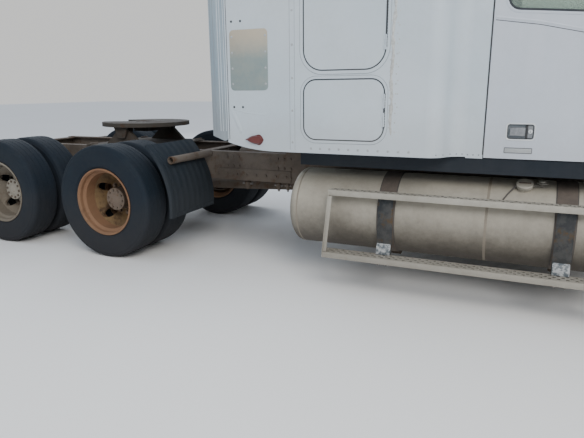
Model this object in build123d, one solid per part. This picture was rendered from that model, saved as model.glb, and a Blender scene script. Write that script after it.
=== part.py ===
from build123d import *
import math
import os

os.makedirs("parts", exist_ok=True)

# Bonneted road tractor with a riveted raised-roof sleeper, tandem drive and side tanks.
# Millimetres; +X forward, +Y left, +Z up; origin on the ground at the middle of the whole.

# Chassis, lengthwise
REAR_OVERHANG = 735.0
TANDEM_SPREAD = 1315.0
DRIVE_TO_FRONT_AXLE = 4900.0
FRONT_OVERHANG = 1200.0
LENGTH = REAR_OVERHANG + TANDEM_SPREAD + DRIVE_TO_FRONT_AXLE + FRONT_OVERHANG
FRONT_X = LENGTH / 2
REAR_X = -LENGTH / 2
REAR_DRIVE_X = REAR_X + REAR_OVERHANG
FORWARD_DRIVE_X = REAR_DRIVE_X + TANDEM_SPREAD
FRONT_AXLE_X = FORWARD_DRIVE_X + DRIVE_TO_FRONT_AXLE

# Clearances
TOUCH = 0.3
PIN_PLAY = 0.3
PANEL_GAP = 6.0

# Tyres and rims, all of one size
TYRE_RADIUS = 500.0
TYRE_WIDTH = 280.0
SHOULDER_DROP = 17.0
RIM_FLANGE_RADIUS = 298.5
RIM_SEAT_RADIUS = 285.0
RIM_WELL_RADIUS = 262.0
RIM_WIDTH = 250.0
RIM_WALL = 10.0
FLANGE_THICKNESS = 10.0
DISC_THICKNESS = 11.0
DISC_OFFSET = 170.0
DISC_BORE = 112.0
DISC_FLAT_RADIUS = 178.0
HAND_HOLES = 5
HAND_HOLE_RADIUS = 41.0
HAND_HOLE_CIRCLE = 205.0
AXLE_Z = TYRE_RADIUS

# Track
DRIVE_WIDTH = 2440.0
FRONT_TYRE_Y = 1030.0
DUAL_MOUNT_Y = DRIVE_WIDTH / 2 - TYRE_WIDTH / 2 - DISC_OFFSET
FRONT_MOUNT_Y = FRONT_TYRE_Y + DISC_OFFSET

# Hubs and brakes
HUB_FLANGE_RADIUS = 165.0
HUB_FLANGE_THICKNESS = 25.0
HUB_NOSE_RADIUS = 106.0
DRIVE_HUB_LENGTH = 140.0
AXLE_FLANGE_RADIUS = 92.0
AXLE_FLANGE_THICKNESS = 14.0
FRONT_HUB_CAP_RADIUS = 78.0
FRONT_HUB_CAP_LENGTH = 55.0
DRUM_RADIUS = 222.0
DRUM_WALL = 14.0
DRUM_SHOULDER = 48.0
DRUM_DEPTH = 190.0
FRONT_DRUM_DEPTH = 140.0
SPINDLE_RADIUS = 45.0
AXLE_TUBE_RADIUS = 68.0
BANJO_RADIUS = 205.0
BANJO_REAR = 110.0
BANJO_FRONT = 120.0
PINION_LENGTH = 190.0
PINION_BASE_RADIUS = 190.0
PINION_TIP_RADIUS = 95.0
BACKPLATE_RADIUS = 196.0
BACKPLATE_THICKNESS = 14.0
CHAMBER_RADIUS = 82.0
CHAMBER_AHEAD = 130.0
CHAMBER_UP = 20.0
CHAMBER_SPAN = (470.0, 590.0)
CHAMBER_BRACKET = (500.0, 540.0)

# Frame
RAIL_BOTTOM = 635.0
RAIL_HEIGHT = 260.0
RAIL_TOP = RAIL_BOTTOM + RAIL_HEIGHT
RAIL_FLANGE = 80.0
RAIL_WALL = 9.0
FRAME_WIDTH = 864.0
RAIL_OUTER_Y = FRAME_WIDTH / 2
RAIL_INNER_Y = RAIL_OUTER_Y - RAIL_FLANGE
RAIL_REAR_X = REAR_X + 40.0
RAIL_FRONT_X = FRONT_X - 160.0
CROSS_THICKNESS = 10.0
CROSS_DEPTH = 90.0

# Front axle and steering
KINGPIN_Y = 840.0
KINGPIN_RADIUS = 22.0
KINGPIN_LENGTH = 250.0
BEAM_WIDTH = 95.0
BEAM_DEPTH = 85.0
BEAM_DROP = 95.0
BEAM_BOSS_RADIUS = 44.0
BEAM_BOSS_HEIGHT = 130.0
EAR_THICKNESS = 45.0
STEER_ARM = 190.0
STEER_ARM_WIDTH = 44.0
STEER_ARM_THICKNESS = 28.0
TIE_ROD_RADIUS = 21.0
TIE_PIN_RADIUS = 12.0

# Springs and air bags
SPRING_WIDTH = 76.0
SPRING_Y = RAIL_OUTER_Y - RAIL_FLANGE / 2
SPRING_HALF_SPAN = 620.0
SPRING_THICKNESS = 44.0
SPRING_CAMBER = 80.0
AIRBAG_RADIUS = 118.0
AIRBAG_SETBACK = 350.0
DRIVE_ARM_THICKNESS = 46.0
HANGER_AHEAD = 470.0

# Cab and sleeper, plan and heights
SLEEPER_BEHIND_AXLE = 1310.0
SLEEPER_REAR_X = FORWARD_DRIVE_X + SLEEPER_BEHIND_AXLE
SLEEPER_STRAIGHT = 1445.0
SLEEPER_STEP = 235.0
CAB_LENGTH = 1275.0
SLEEPER_HALF_WIDTH = 1220.0
CAB_HALF_WIDTH = 1060.0
STEP_START_X = SLEEPER_REAR_X + SLEEPER_STRAIGHT
CAB_REAR_X = STEP_START_X + SLEEPER_STEP
CAB_FRONT_X = CAB_REAR_X + CAB_LENGTH
SLEEPER_BOTTOM = 1013.0
SLEEPER_KICK_RADIUS = 1370.0
SLEEPER_KICK_LENGTH = 385.0
CAB_BOTTOM = 1005.0
BELT_Z = 1890.0
CAB_TOP = 2700.0
ROOF_TOP = 3850.0
WALL = 45.0
PILLAR_SETBACK = 165.0
PILLAR_CORNER = 170.0
SCREEN_BOW = 55.0
SCREEN_RAKE = 225.0
CANT_INSET = 45.0
ROOF_WALL = 30.0
ROOF_EDGE = 260.0
EXTENDER_LENGTH = 130.0
EXTENDER_WALL = 38.0

# Door, measured along the cab from its rear
DOOR_REAR_X = CAB_REAR_X + 110.0
DOOR_FRONT_X = CAB_FRONT_X - 215.0
DOOR_BOTTOM = CAB_BOTTOM + PANEL_GAP
DOOR_TOP = CAB_TOP - 95.0
DOOR_HINGE_GAP = 11.0
DOOR_HINGE_OUT = 14.0
DOOR_HINGE_PIN = 7.0
DOOR_HINGE_BARREL = 13.0
DOOR_HINGE_LEAF = 12.0
DOOR_HINGE_HEIGHT = 120.0
DOOR_HINGES_Z = (1200.0, 1720.0)
HANDLE_X = CAB_REAR_X + 315.0
HANDLE_Z = 1180.0
HANDLE_LENGTH = 154.0
HANDLE_HEIGHT = 92.0
HANDLE_CORNER = 18.0
HANDLE_DEPTH = 18.0
PADDLE_SETBACK = 18.0
PADDLE_LENGTH = 84.0
PADDLE_HEIGHT = 48.0
PADDLE_PROUD = 5.0
WINDOW_REAR_X = DOOR_REAR_X + 80.0
WINDOW_SILL_REAR = 1905.0
WINDOW_SILL_FRONT = 1828.0
WINDOW_CORNER = 70.0
HATCH_HINGE_GAP = 3.0
HATCH_HINGE_PIN = 2.5
HATCH_HINGE_BARREL = 4.6
HATCH_HINGE_LEAF = 4.0
HATCH_HINGE_HEIGHT = 90.0
HATCH_HINGE_MARGIN = 95.0
SCREEN_POST = 42.0
GLASS_THICKNESS = 6.0
GLASS_SET_IN = 18.0
VENT_BAR = 26.0
MIRROR_REACH = 255.0
MIRROR_HEIGHT = 420.0
MIRROR_WIDTH = 190.0
MIRROR_DEPTH = 45.0
MIRROR_CORNER = 30.0
MIRROR_RISE = 70.0
MIRROR_BEHIND_HINGE = 70.0
MIRROR_ARM_RADIUS = 11.0
MIRROR_ARM_GAP = 30.0

# Luggage hatches in the sleeper's sides
HATCH_REAR = 613.0
HATCH_WIDTH = 558.0
LOWER_HATCH_Z = 1111.0
LOWER_HATCH_HEIGHT = 395.0
LOWER_HATCH_CORNER = 85.0
UPPER_HATCH_Z = 1572.0
UPPER_HATCH_HEIGHT = 730.0
UPPER_HATCH_CORNER = 130.0
HATCH_HINGE_OUT = 5.0

# Bonnet
BONNET_GAP = 12.0
BONNET_REAR_X = CAB_FRONT_X + BONNET_GAP
BONNET_SKIN = 30.0
BONNET_FRONT_X = FRONT_X - 70.0
BONNET_BOTTOM = 700.0
FENDER_TOP = 1330.0
FENDER_HALF_WIDTH = 1212.0
ARCH_RADIUS = 568.0
HOOD_REAR_HALF = 1010.0
HOOD_REAR_TOP = 1865.0
HOOD_FRONT_HALF = 700.0
HOOD_FRONT_TOP = 1500.0
HOOD_CORNER = 190.0
BONNET_PIVOT_X = BONNET_FRONT_X
BONNET_PIVOT_Z = BONNET_BOTTOM - 36.0
PIVOT_RADIUS = 12.0
GRILLE_HALF_WIDTH = 540.0
GRILLE_BOTTOM = 765.0
GRILLE_TOP = 1400.0
GRILLE_FRAME = 42.0
GRILLE_BARS = 11
GRILLE_BAR_HEIGHT = 16.0
LAMP_INNER_Y = 765.0
LAMP_OUTER_Y = 1065.0
LAMP_BOTTOM = 880.0
LAMP_TOP = 1050.0

# Bumper
BUMPER_BOTTOM = 330.0
BUMPER_TOP = 630.0
BUMPER_WALL = 8.0
BUMPER_RETURN = 420.0
BUMPER_HALF_WIDTH = 1205.0
BUMPER_CORNER = 260.0

# Fuel tanks and their steps
TANK_RADIUS = 292.0
TANK_Y = 815.0
TANK_Z = 556.0
TANK_REAR_X = FORWARD_DRIVE_X + 1700.0
TANK_LENGTH = 2300.0
TANK_DISH = 62.0
TANK_KNUCKLE = 45.0
STRAP_WIDTH = 115.0
STRAP_THICKNESS = 6.0
STRAP_FROM_REAR = (790.0, 1910.0)
TANK_BRACKET = 36.0
FILLER_FROM_REAR = 1660.0
FILLER_RADIUS = 52.0
FILLER_TILT = 28.0
STEP_REAR_X = TANK_REAR_X + 365.0
STEP_LENGTH = 1900.0
STEP_SHEET = 4.0
STEP_FACE = 40.0
UPPER_STEP_Z = 710.0
UPPER_STEP_INNER = 1080.0
UPPER_STEP_OUTER = 1160.0
LOWER_STEP_Z = 268.0
LOWER_STEP_OUTER = 1240.0
SKIRT_BOTTOM = 905.0
SKIRT_WALL = 18.0
SKIRT_Y = 1052.0

# Quarter fenders and flaps
QUARTER_RADIUS = 690.0
QUARTER_WALL = 6.0
QUARTER_LOW_ANGLE = -8.0
QUARTER_HIGH_ANGLE = 47.0
QUARTER_INNER_Y = 500.0
QUARTER_OUTER_Y = 1155.0
QUARTER_LIP = 22.0
QUARTER_LIP_WALL = 8.0
QUARTER_RIBS = 7
QUARTER_RIB_WIDTH = 34.0
QUARTER_RIB_HEIGHT = 2.0
QUARTER_BEAD_WIDTH = 60.0
QUARTER_BEAD_HEIGHT = 7.0
FENDER_TUBE_RADIUS = 32.0
FENDER_TUBE_ANGLE = 31.0
FENDER_TUBE_END_Y = 1035.0
FLAP_WALL = 9.0
FLAP_BOTTOM = 260.0
FLAP_TOP = 850.0
FLAP_INNER_Y = 615.0
FLAP_OUTER_Y = 1210.0

# Fifth wheel
FIFTH_X = FORWARD_DRIVE_X - 450.0
FIFTH_TOP = 1130.0
FIFTH_RADIUS = 457.0
FIFTH_PLATE = 40.0
FIFTH_PIVOT_Z = 1020.0
FIFTH_PIVOT_RADIUS = 25.0
FIFTH_PIVOT_Y = 360.0
THROAT_HALF = 52.0
KINGPIN_BORE = 25.7
JAW_HEIGHT = 60.0
FIFTH_BASE_PLATE = 14.0
FIFTH_BASE_HALF = 430.0
FIFTH_BASE_OVERHANG = 30.0
PEDESTAL_HALF_FOOT = 230.0
PEDESTAL_HALF_TOP = 60.0
PEDESTAL_WALL = 40.0
LUG_WALL = 22.0
LUG_INNER = 52.0
LUG_OUTER = 30.0
RELEASE_AHEAD = 150.0
RELEASE_RADIUS = 9.0
RELEASE_SPAN = (150.0, 500.0)
RELEASE_GRIP = 60.0

# Powertrain blocks
ENGINE_LENGTH = 1150.0
ENGINE_HALF_WIDTH = 330.0
ENGINE_BOTTOM = 560.0
ENGINE_TOP = 1480.0
GEARBOX_LENGTH = 950.0
GEARBOX_HALF_WIDTH = 210.0
GEARBOX_BOTTOM = 500.0
GEARBOX_TOP = 900.0
SHAFT_RADIUS = 50.0
SHAFT_Z = 620.0

# Exhaust stack behind the sleeper, on the left
STACK_X = SLEEPER_REAR_X - 215.0
STACK_Y = 880.0
STACK_RADIUS = 64.0
STACK_TOP = 3900.0
SILENCER_RADIUS = 122.0
SILENCER_BOTTOM = 1350.0
SILENCER_TOP = 2500.0
STACK_WALL = 4.0
STACK_BORE_DEPTH = 400.0
STAY_WIDTH = 44.0
STAY_HEIGHT = 60.0
STAY_INSET = 150.0
CLAMP_HEIGHT = 40.0
CLAMP_RISE = 8.0
CLAMPS_Z = (SILENCER_BOTTOM - 90.0, SILENCER_TOP + 90.0, STACK_TOP - 500.0)

# Lamps
TEAR_FROM_REAR = 149.0
TEAR_LENGTH = 142.0
TEAR_HEIGHT = 68.0
TEAR_Z = 1093.0
TEAR_DEPTH = 20.0
TAIL_LAMPS = 2
TAIL_LAMP_PITCH = 84.0
TAIL_LAMP_RADIUS = 38.0
BROW_LAMPS = 5
BROW_LAMP_PITCH = 320.0
BROW_LAMP_RADIUS = 32.0

# Air reservoirs
AIR_RADIUS = 105.0
AIR_LENGTH = 640.0
AIR_Y = 235.0
AIR_Z = 765.0
AIR_CORNER = 30.0
AIR_SADDLES = (120.0, 480.0)
AIR_SADDLE_WIDTH = 40.0
AIR_SADDLE_HEIGHT = 50.0

# Cab interior
DASH_HALF = CAB_HALF_WIDTH - WALL - 12
DASH_BOTTOM = 1200.0
DASH_TOP = 1840.0
DASH_PROFILE = (
    # distance behind the cab's front, height above the dashboard's bottom
    (380.0, 0.0), (400.0, 360.0), (340.0, 450.0), (240.0, 590.0),
)
HOOD_HALF = 215.0
HOOD_PROFILE = ((395.0, 472.0), (318.0, 460.0), (300.0, 502.0), (388.0, 490.0))
COLUMN_RADIUS = 32.0
COLUMN_FROM = 45.0
COLUMN_TO = 430.0
WHEEL_X = CAB_FRONT_X - 560
WHEEL_Y = 480.0
WHEEL_Z = 1620.0
WHEEL_LEAN = 45.0
WHEEL_RADIUS = 225.0
WHEEL_GRIP = 15.0
WHEEL_HUB_RADIUS = 42.0
WHEEL_HUB_HEIGHT = 50.0
WHEEL_HUB_DROP = 20.0
WHEEL_SPOKES = 3
SPOKE_WIDTH = 34.0
SPOKE_THICKNESS = 12.0
SEAT_Y = 480.0
SEAT_X = CAB_REAR_X + 60
SEAT_LENGTH = 500.0
SEAT_HALF = 255.0
SEAT_BOTTOM = 1290.0
SEAT_TOP = 1430.0
SEAT_CORNER = 40.0
PEDESTAL_FROM = 60.0
PEDESTAL_TO = 400.0
PEDESTAL_HALF = 170.0
BACK_HALF = 250.0
BACK_TOP = 2120.0
BACK_BEHIND = 20.0
BACK_THICKNESS = 130.0
BACK_TOP_THICKNESS = 100.0
BACK_LEAN = 60.0
BUNK_DEPTH = 860.0
BUNK_HALF = SLEEPER_HALF_WIDTH - WALL - 14
BUNK_TOP = 1440.0
BUNK_BOARD = 20.0
MATTRESS_INSET = 5.0
MATTRESS_THICKNESS = 130.0


def block(x, y, z):
    """Box between three pairs of limits."""
    size = (x[1] - x[0], y[1] - y[0], z[1] - z[0])
    return Pos(x[0], y[0], z[0]) * Box(*size, align=(Align.MIN, Align.MIN, Align.MIN))


def side_prism(points, y):
    """Outline in X and Z, carried across from y[0] to y[1]."""
    wire = Polyline(*[(px, y[0], pz) for px, pz in points], close=True)
    return extrude(make_face(wire), amount=y[1] - y[0], dir=(0, 1, 0))


def plan_prism(points, z):
    """Outline in X and Y, carried up from z[0] to z[1]."""
    wire = Polyline(*[(px, py, z[0]) for px, py in points], close=True)
    return extrude(make_face(wire), amount=z[1] - z[0], dir=(0, 0, 1))


def front_prism(points, x):
    """Outline in Y and Z, carried forward from x[0] to x[1]."""
    wire = Polyline(*[(x[0], py, pz) for py, pz in points], close=True)
    return extrude(make_face(wire), amount=x[1] - x[0], dir=(1, 0, 0))


def rod(start, end, radius):
    """Round bar between two points."""
    a = Vector(*start)
    b = Vector(*end)
    plane = Plane(origin=a, z_dir=b - a)
    return extrude(plane * Circle(radius), amount=(b - a).length)


def ring_about_y(points):
    """Section of radius and Y, turned about the Y axis."""
    wire = Polyline(*[(r, y, 0) for y, r in points], close=True)
    return revolve(make_face(wire), axis=Axis.Y)


def other_side(shape):
    return mirror(shape, about=Plane.XZ)


def both_sides(shape):
    return [shape, other_side(shape)]


def solids_of(*shapes):
    found = []
    for shape in shapes:
        if isinstance(shape, (list, tuple)):
            found.extend(solids_of(*shape))
        else:
            found.extend(shape.solids())
    return found


def write(name, *shapes):
    export_step(Compound(children=solids_of(*shapes)), f"parts/{name}.step")


# Wheels
def tyre(centre_y):
    """Tyre about the Y axis: bead, bulging wall, square shoulder and nearly flat tread."""
    half = TYRE_WIDTH / 2
    bead = RIM_WIDTH / 2 - FLANGE_THICKNESS - TOUCH
    seat = RIM_SEAT_RADIUS + TOUCH
    lip = RIM_FLANGE_RADIUS + 4
    shoulder = TYRE_RADIUS - SHOULDER_DROP
    edge = half - 12
    tread = half - 26
    crown = TYRE_RADIUS - 3

    def at(y, r):
        return (r, centre_y + y, 0)

    bulge = (lip + shoulder) / 2
    outline = [
        Line(at(-bead, seat), at(bead, seat)),
        Line(at(bead, seat), at(bead, lip)),
        ThreePointArc(at(bead, lip), at(half, bulge), at(edge, shoulder)),
        Line(at(edge, shoulder), at(tread, crown)),
        ThreePointArc(at(tread, crown), at(0, TYRE_RADIUS), at(-tread, crown)),
        Line(at(-tread, crown), at(-edge, shoulder)),
        ThreePointArc(at(-edge, shoulder), at(-half, bulge), at(-bead, lip)),
        Line(at(-bead, lip), at(-bead, seat)),
    ]
    return revolve(make_face(Wire(outline)), axis=Axis.Y)


def rim(centre_y, mount_y):
    """Rim with its drop well, and a dished disc from the well to the bolting face."""
    side = 1 if mount_y > centre_y else -1
    half = RIM_WIDTH / 2
    inside = half - FLANGE_THICKNESS
    well = half - 64
    seat_in = RIM_SEAT_RADIUS - RIM_WALL
    well_in = RIM_WELL_RADIUS - RIM_WALL
    section = [
        (half, RIM_FLANGE_RADIUS), (inside, RIM_FLANGE_RADIUS), (inside, RIM_SEAT_RADIUS),
        (well, RIM_WELL_RADIUS), (-well, RIM_WELL_RADIUS),
        (-inside, RIM_SEAT_RADIUS), (-inside, RIM_FLANGE_RADIUS), (-half, RIM_FLANGE_RADIUS),
        (-half, seat_in), (-well - 2, well_in), (well + 2, well_in), (half, seat_in),
    ]
    barrel = ring_about_y([(centre_y + y, r) for y, r in section])
    cone_depth = DISC_OFFSET - well + 6
    root = mount_y - side * cone_depth
    disc = ring_about_y([
        (mount_y, DISC_BORE), (mount_y - side * DISC_THICKNESS, DISC_BORE),
        (mount_y - side * DISC_THICKNESS, DISC_FLAT_RADIUS),
        (root - side * DISC_THICKNESS, well_in + 2), (root + side * 4, well_in + 2),
        (mount_y, DISC_FLAT_RADIUS + 9),
    ])
    wheel = barrel + disc
    for i in range(HAND_HOLES):
        angle = math.radians(90 + 360 / HAND_HOLES * i)
        x = HAND_HOLE_CIRCLE * math.cos(angle)
        z = HAND_HOLE_CIRCLE * math.sin(angle)
        reach = side * (cone_depth + 20)
        wheel -= rod((x, mount_y + side * 20, z), (x, mount_y - reach, z), HAND_HOLE_RADIUS)
    return wheel


def hub_and_drum(flange_y, nose_end, nose_radius, cap_radius, cap_end, drum_depth):
    """Hub turned about Y: nose and cap outboard, flange, and brake drum inboard."""
    back = flange_y - HUB_FLANGE_THICKNESS
    drum_end = back - drum_depth
    drum_inner = DRUM_RADIUS - DRUM_WALL
    bore = SPINDLE_RADIUS + PIN_PLAY
    return ring_about_y([
        (cap_end, 0), (cap_end, cap_radius), (nose_end, cap_radius), (nose_end, nose_radius),
        (flange_y, nose_radius), (flange_y, HUB_FLANGE_RADIUS), (back, HUB_FLANGE_RADIUS),
        (back - DRUM_SHOULDER, DRUM_RADIUS), (drum_end, DRUM_RADIUS), (drum_end, drum_inner),
        (back - DRUM_SHOULDER - DRUM_WALL, drum_inner),
        (back - DRUM_WALL, HUB_FLANGE_RADIUS - DRUM_WALL),
        (back - DRUM_WALL, 96), (drum_end + 60, 86),
        (drum_end + 60, bore), (nose_end - 20, bore), (nose_end - 20, 0),
    ])


def place_axle(shape, x):
    return Pos(x, 0, AXLE_Z) * shape


def dual_wheel():
    outer_y = DUAL_MOUNT_Y + DISC_OFFSET
    inner_y = DUAL_MOUNT_Y - DISC_OFFSET
    tyres = [tyre(outer_y), tyre(inner_y)]
    nose_end = DUAL_MOUNT_Y + DRIVE_HUB_LENGTH
    hub = hub_and_drum(
        DUAL_MOUNT_Y - DISC_THICKNESS, nose_end, HUB_NOSE_RADIUS,
        AXLE_FLANGE_RADIUS, nose_end + AXLE_FLANGE_THICKNESS, DRUM_DEPTH,
    )
    rims = [rim(outer_y, DUAL_MOUNT_Y + TOUCH), rim(inner_y, DUAL_MOUNT_Y)]
    return tyres, rims, [hub]


def front_wheel():
    cap_end = FRONT_MOUNT_Y + FRONT_HUB_CAP_LENGTH
    hub = hub_and_drum(
        FRONT_MOUNT_Y - DISC_THICKNESS, FRONT_MOUNT_Y + 12, HUB_NOSE_RADIUS,
        FRONT_HUB_CAP_RADIUS, cap_end, FRONT_DRUM_DEPTH,
    )
    return [tyre(FRONT_TYRE_Y)], [rim(FRONT_TYRE_Y, FRONT_MOUNT_Y) + hub]


dual_tyres, dual_rims, dual_hub = dual_wheel()
front_tyres, front_metal = front_wheel()
for row, axle_x in (("forward", FORWARD_DRIVE_X), ("rear", REAR_DRIVE_X)):
    rubber = [place_axle(piece, axle_x) for piece in dual_tyres]
    rims = [place_axle(piece, axle_x) for piece in dual_rims]
    hub = [place_axle(piece, axle_x) for piece in dual_hub]
    for kind, pieces in (("tyres", rubber), ("wheels", rims), ("hub", hub)):
        write(f"{kind}_{row}_left", pieces)
        write(f"{kind}_{row}_right", [other_side(piece) for piece in pieces])
rubber = [place_axle(piece, FRONT_AXLE_X) for piece in front_tyres]
metal = [place_axle(piece, FRONT_AXLE_X) for piece in front_metal]
write("tyre_front_left", rubber)
write("wheel_front_left", metal)
write("tyre_front_right", [other_side(piece) for piece in rubber])
write("wheel_front_right", [other_side(piece) for piece in metal])

# Frame rails, channels open inwards
rail_section = [
    (RAIL_OUTER_Y, RAIL_BOTTOM), (RAIL_OUTER_Y, RAIL_TOP), (RAIL_INNER_Y, RAIL_TOP),
    (RAIL_INNER_Y, RAIL_TOP - RAIL_WALL), (RAIL_OUTER_Y - RAIL_WALL, RAIL_TOP - RAIL_WALL),
    (RAIL_OUTER_Y - RAIL_WALL, RAIL_BOTTOM + RAIL_WALL),
    (RAIL_INNER_Y, RAIL_BOTTOM + RAIL_WALL), (RAIL_INNER_Y, RAIL_BOTTOM),
]
rail = front_prism(rail_section, (RAIL_REAR_X, RAIL_FRONT_X))
write("frame_rails", both_sides(rail))


# Crossmembers and the brackets that stand on the frame
def crossmember(x):
    """Upright channel between the webs."""
    web_y = RAIL_OUTER_Y - RAIL_WALL
    low = RAIL_BOTTOM + RAIL_WALL
    high = RAIL_TOP - RAIL_WALL
    web = block((x - CROSS_THICKNESS / 2, x + CROSS_THICKNESS / 2), (-web_y, web_y), (low, high))
    top = block((x, x + CROSS_DEPTH), (-web_y, web_y), (high - CROSS_THICKNESS, high))
    bottom = block((x, x + CROSS_DEPTH), (-web_y, web_y), (low, low + CROSS_THICKNESS))
    window = block(
        (x - CROSS_DEPTH, x + CROSS_DEPTH),
        (-web_y * 0.45, web_y * 0.45),
        (low - 1, high - 4 * CROSS_THICKNESS),
    )
    return web + top + (bottom - window) - window


tandem_mid = (FORWARD_DRIVE_X + REAR_DRIVE_X) / 2
cross_x = [
    RAIL_REAR_X + 10, tandem_mid, FORWARD_DRIVE_X + HANGER_AHEAD,
    SLEEPER_REAR_X + 120, CAB_REAR_X - 200, RAIL_FRONT_X - 260,
]
members = [crossmember(x) for x in cross_x]
mount_places = [
    (SLEEPER_REAR_X + 180, SLEEPER_BOTTOM), (SLEEPER_REAR_X + 1150, SLEEPER_BOTTOM),
    (CAB_REAR_X + 420, CAB_BOTTOM), (CAB_FRONT_X - 160, CAB_BOTTOM),
]
for mount_x, mount_top in mount_places:
    foot = block(
        (mount_x - 70, mount_x + 70), (RAIL_INNER_Y, RAIL_OUTER_Y), (RAIL_TOP, mount_top)
    )
    members.extend(both_sides(foot))

tube_angle = math.radians(FENDER_TUBE_ANGLE)
tube_reach = QUARTER_RADIUS + QUARTER_WALL + QUARTER_RIB_HEIGHT + FENDER_TUBE_RADIUS + TOUCH
tube_x = FORWARD_DRIVE_X + tube_reach * math.cos(tube_angle)
tube_z = AXLE_Z + tube_reach * math.sin(tube_angle)
fender_tube = rod(
    (tube_x, RAIL_OUTER_Y, tube_z), (tube_x, FENDER_TUBE_END_Y, tube_z), FENDER_TUBE_RADIUS
)
fender_tube -= rod(
    (tube_x, RAIL_OUTER_Y + 60, tube_z), (tube_x, FENDER_TUBE_END_Y + 1, tube_z),
    FENDER_TUBE_RADIUS - 6,
)
members.extend(both_sides(fender_tube))

hanger = block(
    (RAIL_REAR_X + 6, RAIL_REAR_X + 56), (RAIL_OUTER_Y, FLAP_OUTER_Y), (FLAP_TOP - 60, FLAP_TOP)
)
members.extend(both_sides(hanger))

# Axles
beam_low = AXLE_Z - BEAM_DROP - BEAM_DEPTH / 2
beam_high = beam_low + BEAM_DEPTH
boss_low = AXLE_Z - BEAM_BOSS_HEIGHT / 2
boss_high = AXLE_Z + BEAM_BOSS_HEIGHT / 2
half_beam = [
    (0, beam_low), (560, beam_low), (KINGPIN_Y - 75, boss_low + 2), (KINGPIN_Y, boss_low + 2),
    (KINGPIN_Y, boss_high - 15),
    (720, boss_high - 30), (520, beam_high), (0, beam_high),
]
beam_half = front_prism(
    half_beam, (FRONT_AXLE_X - BEAM_WIDTH / 2, FRONT_AXLE_X + BEAM_WIDTH / 2)
)
groove = [
    (0, beam_low + 18), (550, beam_low + 18), (740, AXLE_Z - 20), (735, AXLE_Z + 10),
    (530, beam_high - 18), (0, beam_high - 18),
]
for side in (-1, 1):
    web_x = FRONT_AXLE_X + side * 12
    far_x = FRONT_AXLE_X + side * BEAM_WIDTH
    beam_half -= front_prism(groove, (min(web_x, far_x), max(web_x, far_x)))
beam = beam_half + other_side(beam_half)
for side in (-1, 1):
    pin_y = side * KINGPIN_Y
    beam += rod((FRONT_AXLE_X, pin_y, boss_low), (FRONT_AXLE_X, pin_y, boss_high), BEAM_BOSS_RADIUS)
    pin_low = AXLE_Z - KINGPIN_LENGTH / 2
    pin_high = AXLE_Z + KINGPIN_LENGTH / 2
    beam += rod((FRONT_AXLE_X, pin_y, pin_low), (FRONT_AXLE_X, pin_y, pin_high), KINGPIN_RADIUS)


def drive_axle(x):
    """Axle tube with spindles, round banjo case and the pinion nose ahead of it."""
    housing_end = DUAL_MOUNT_Y - DISC_THICKNESS - HUB_FLANGE_THICKNESS - DRUM_DEPTH + 20
    axle = rod((x, -housing_end, AXLE_Z), (x, housing_end, AXLE_Z), AXLE_TUBE_RADIUS)
    spindle_end = DUAL_MOUNT_Y + DRIVE_HUB_LENGTH - 25
    axle += rod((x, -spindle_end, AXLE_Z), (x, spindle_end, AXLE_Z), SPINDLE_RADIUS)
    axle += rod((x - BANJO_REAR, 0, AXLE_Z), (x + BANJO_FRONT, 0, AXLE_Z), BANJO_RADIUS)
    axle += Pos(x + BANJO_FRONT, 0, AXLE_Z) * Rot(0, 90, 0) * Cone(
        PINION_BASE_RADIUS, PINION_TIP_RADIUS, PINION_LENGTH,
        align=(Align.CENTER, Align.CENTER, Align.MIN),
    )
    chamber_x = x + CHAMBER_AHEAD
    chamber_z = AXLE_Z + CHAMBER_UP
    ends = rod((x, housing_end - BACKPLATE_THICKNESS, AXLE_Z), (x, housing_end, AXLE_Z), BACKPLATE_RADIUS)
    ends += rod(
        (chamber_x, CHAMBER_SPAN[0], chamber_z), (chamber_x, CHAMBER_SPAN[1], chamber_z), CHAMBER_RADIUS
    )
    ends += block((x, chamber_x), CHAMBER_BRACKET, (AXLE_Z - 20, AXLE_Z + 40))
    return axle + ends + other_side(ends)


forward_axle = drive_axle(FORWARD_DRIVE_X)
rear_axle = drive_axle(REAR_DRIVE_X)
nose_x = BANJO_FRONT + PINION_LENGTH
gearbox_rear = CAB_FRONT_X - 190 - GEARBOX_LENGTH
front_shaft = rod(
    (FORWARD_DRIVE_X + nose_x, 0, AXLE_Z), (gearbox_rear, 0, SHAFT_Z), SHAFT_RADIUS
)
rear_shaft = rod(
    (REAR_DRIVE_X + nose_x, 0, AXLE_Z), (FORWARD_DRIVE_X - BANJO_REAR, 0, AXLE_Z), SHAFT_RADIUS
)

# Steering knuckles and tie rod
ear_low = boss_low - PIN_PLAY
ear_high = boss_high + PIN_PLAY
spine_y = KINGPIN_Y + BEAM_BOSS_RADIUS + 10
arm_z = ear_low - EAR_THICKNESS + STEER_ARM_THICKNESS / 2
tie_x = FRONT_AXLE_X - STEER_ARM
knuckle = block(
    (FRONT_AXLE_X - 50, FRONT_AXLE_X + 50), (KINGPIN_Y, spine_y), (ear_low - EAR_THICKNESS, ear_low)
)
knuckle += block(
    (FRONT_AXLE_X - 50, FRONT_AXLE_X + 50), (KINGPIN_Y, spine_y),
    (ear_high, ear_high + EAR_THICKNESS),
)
for low in (ear_low - EAR_THICKNESS, ear_high):
    knuckle += rod(
        (FRONT_AXLE_X, KINGPIN_Y, low), (FRONT_AXLE_X, KINGPIN_Y, low + EAR_THICKNESS), 50
    )
knuckle += block(
    (FRONT_AXLE_X - 50, FRONT_AXLE_X + 50), (spine_y, spine_y + 40),
    (ear_low - EAR_THICKNESS, ear_high + EAR_THICKNESS),
)
plate_y = FRONT_MOUNT_Y - DISC_THICKNESS - HUB_FLANGE_THICKNESS - FRONT_DRUM_DEPTH
knuckle += rod((FRONT_AXLE_X, spine_y + 20, AXLE_Z), (FRONT_AXLE_X, plate_y + 20, AXLE_Z), 70)
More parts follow.
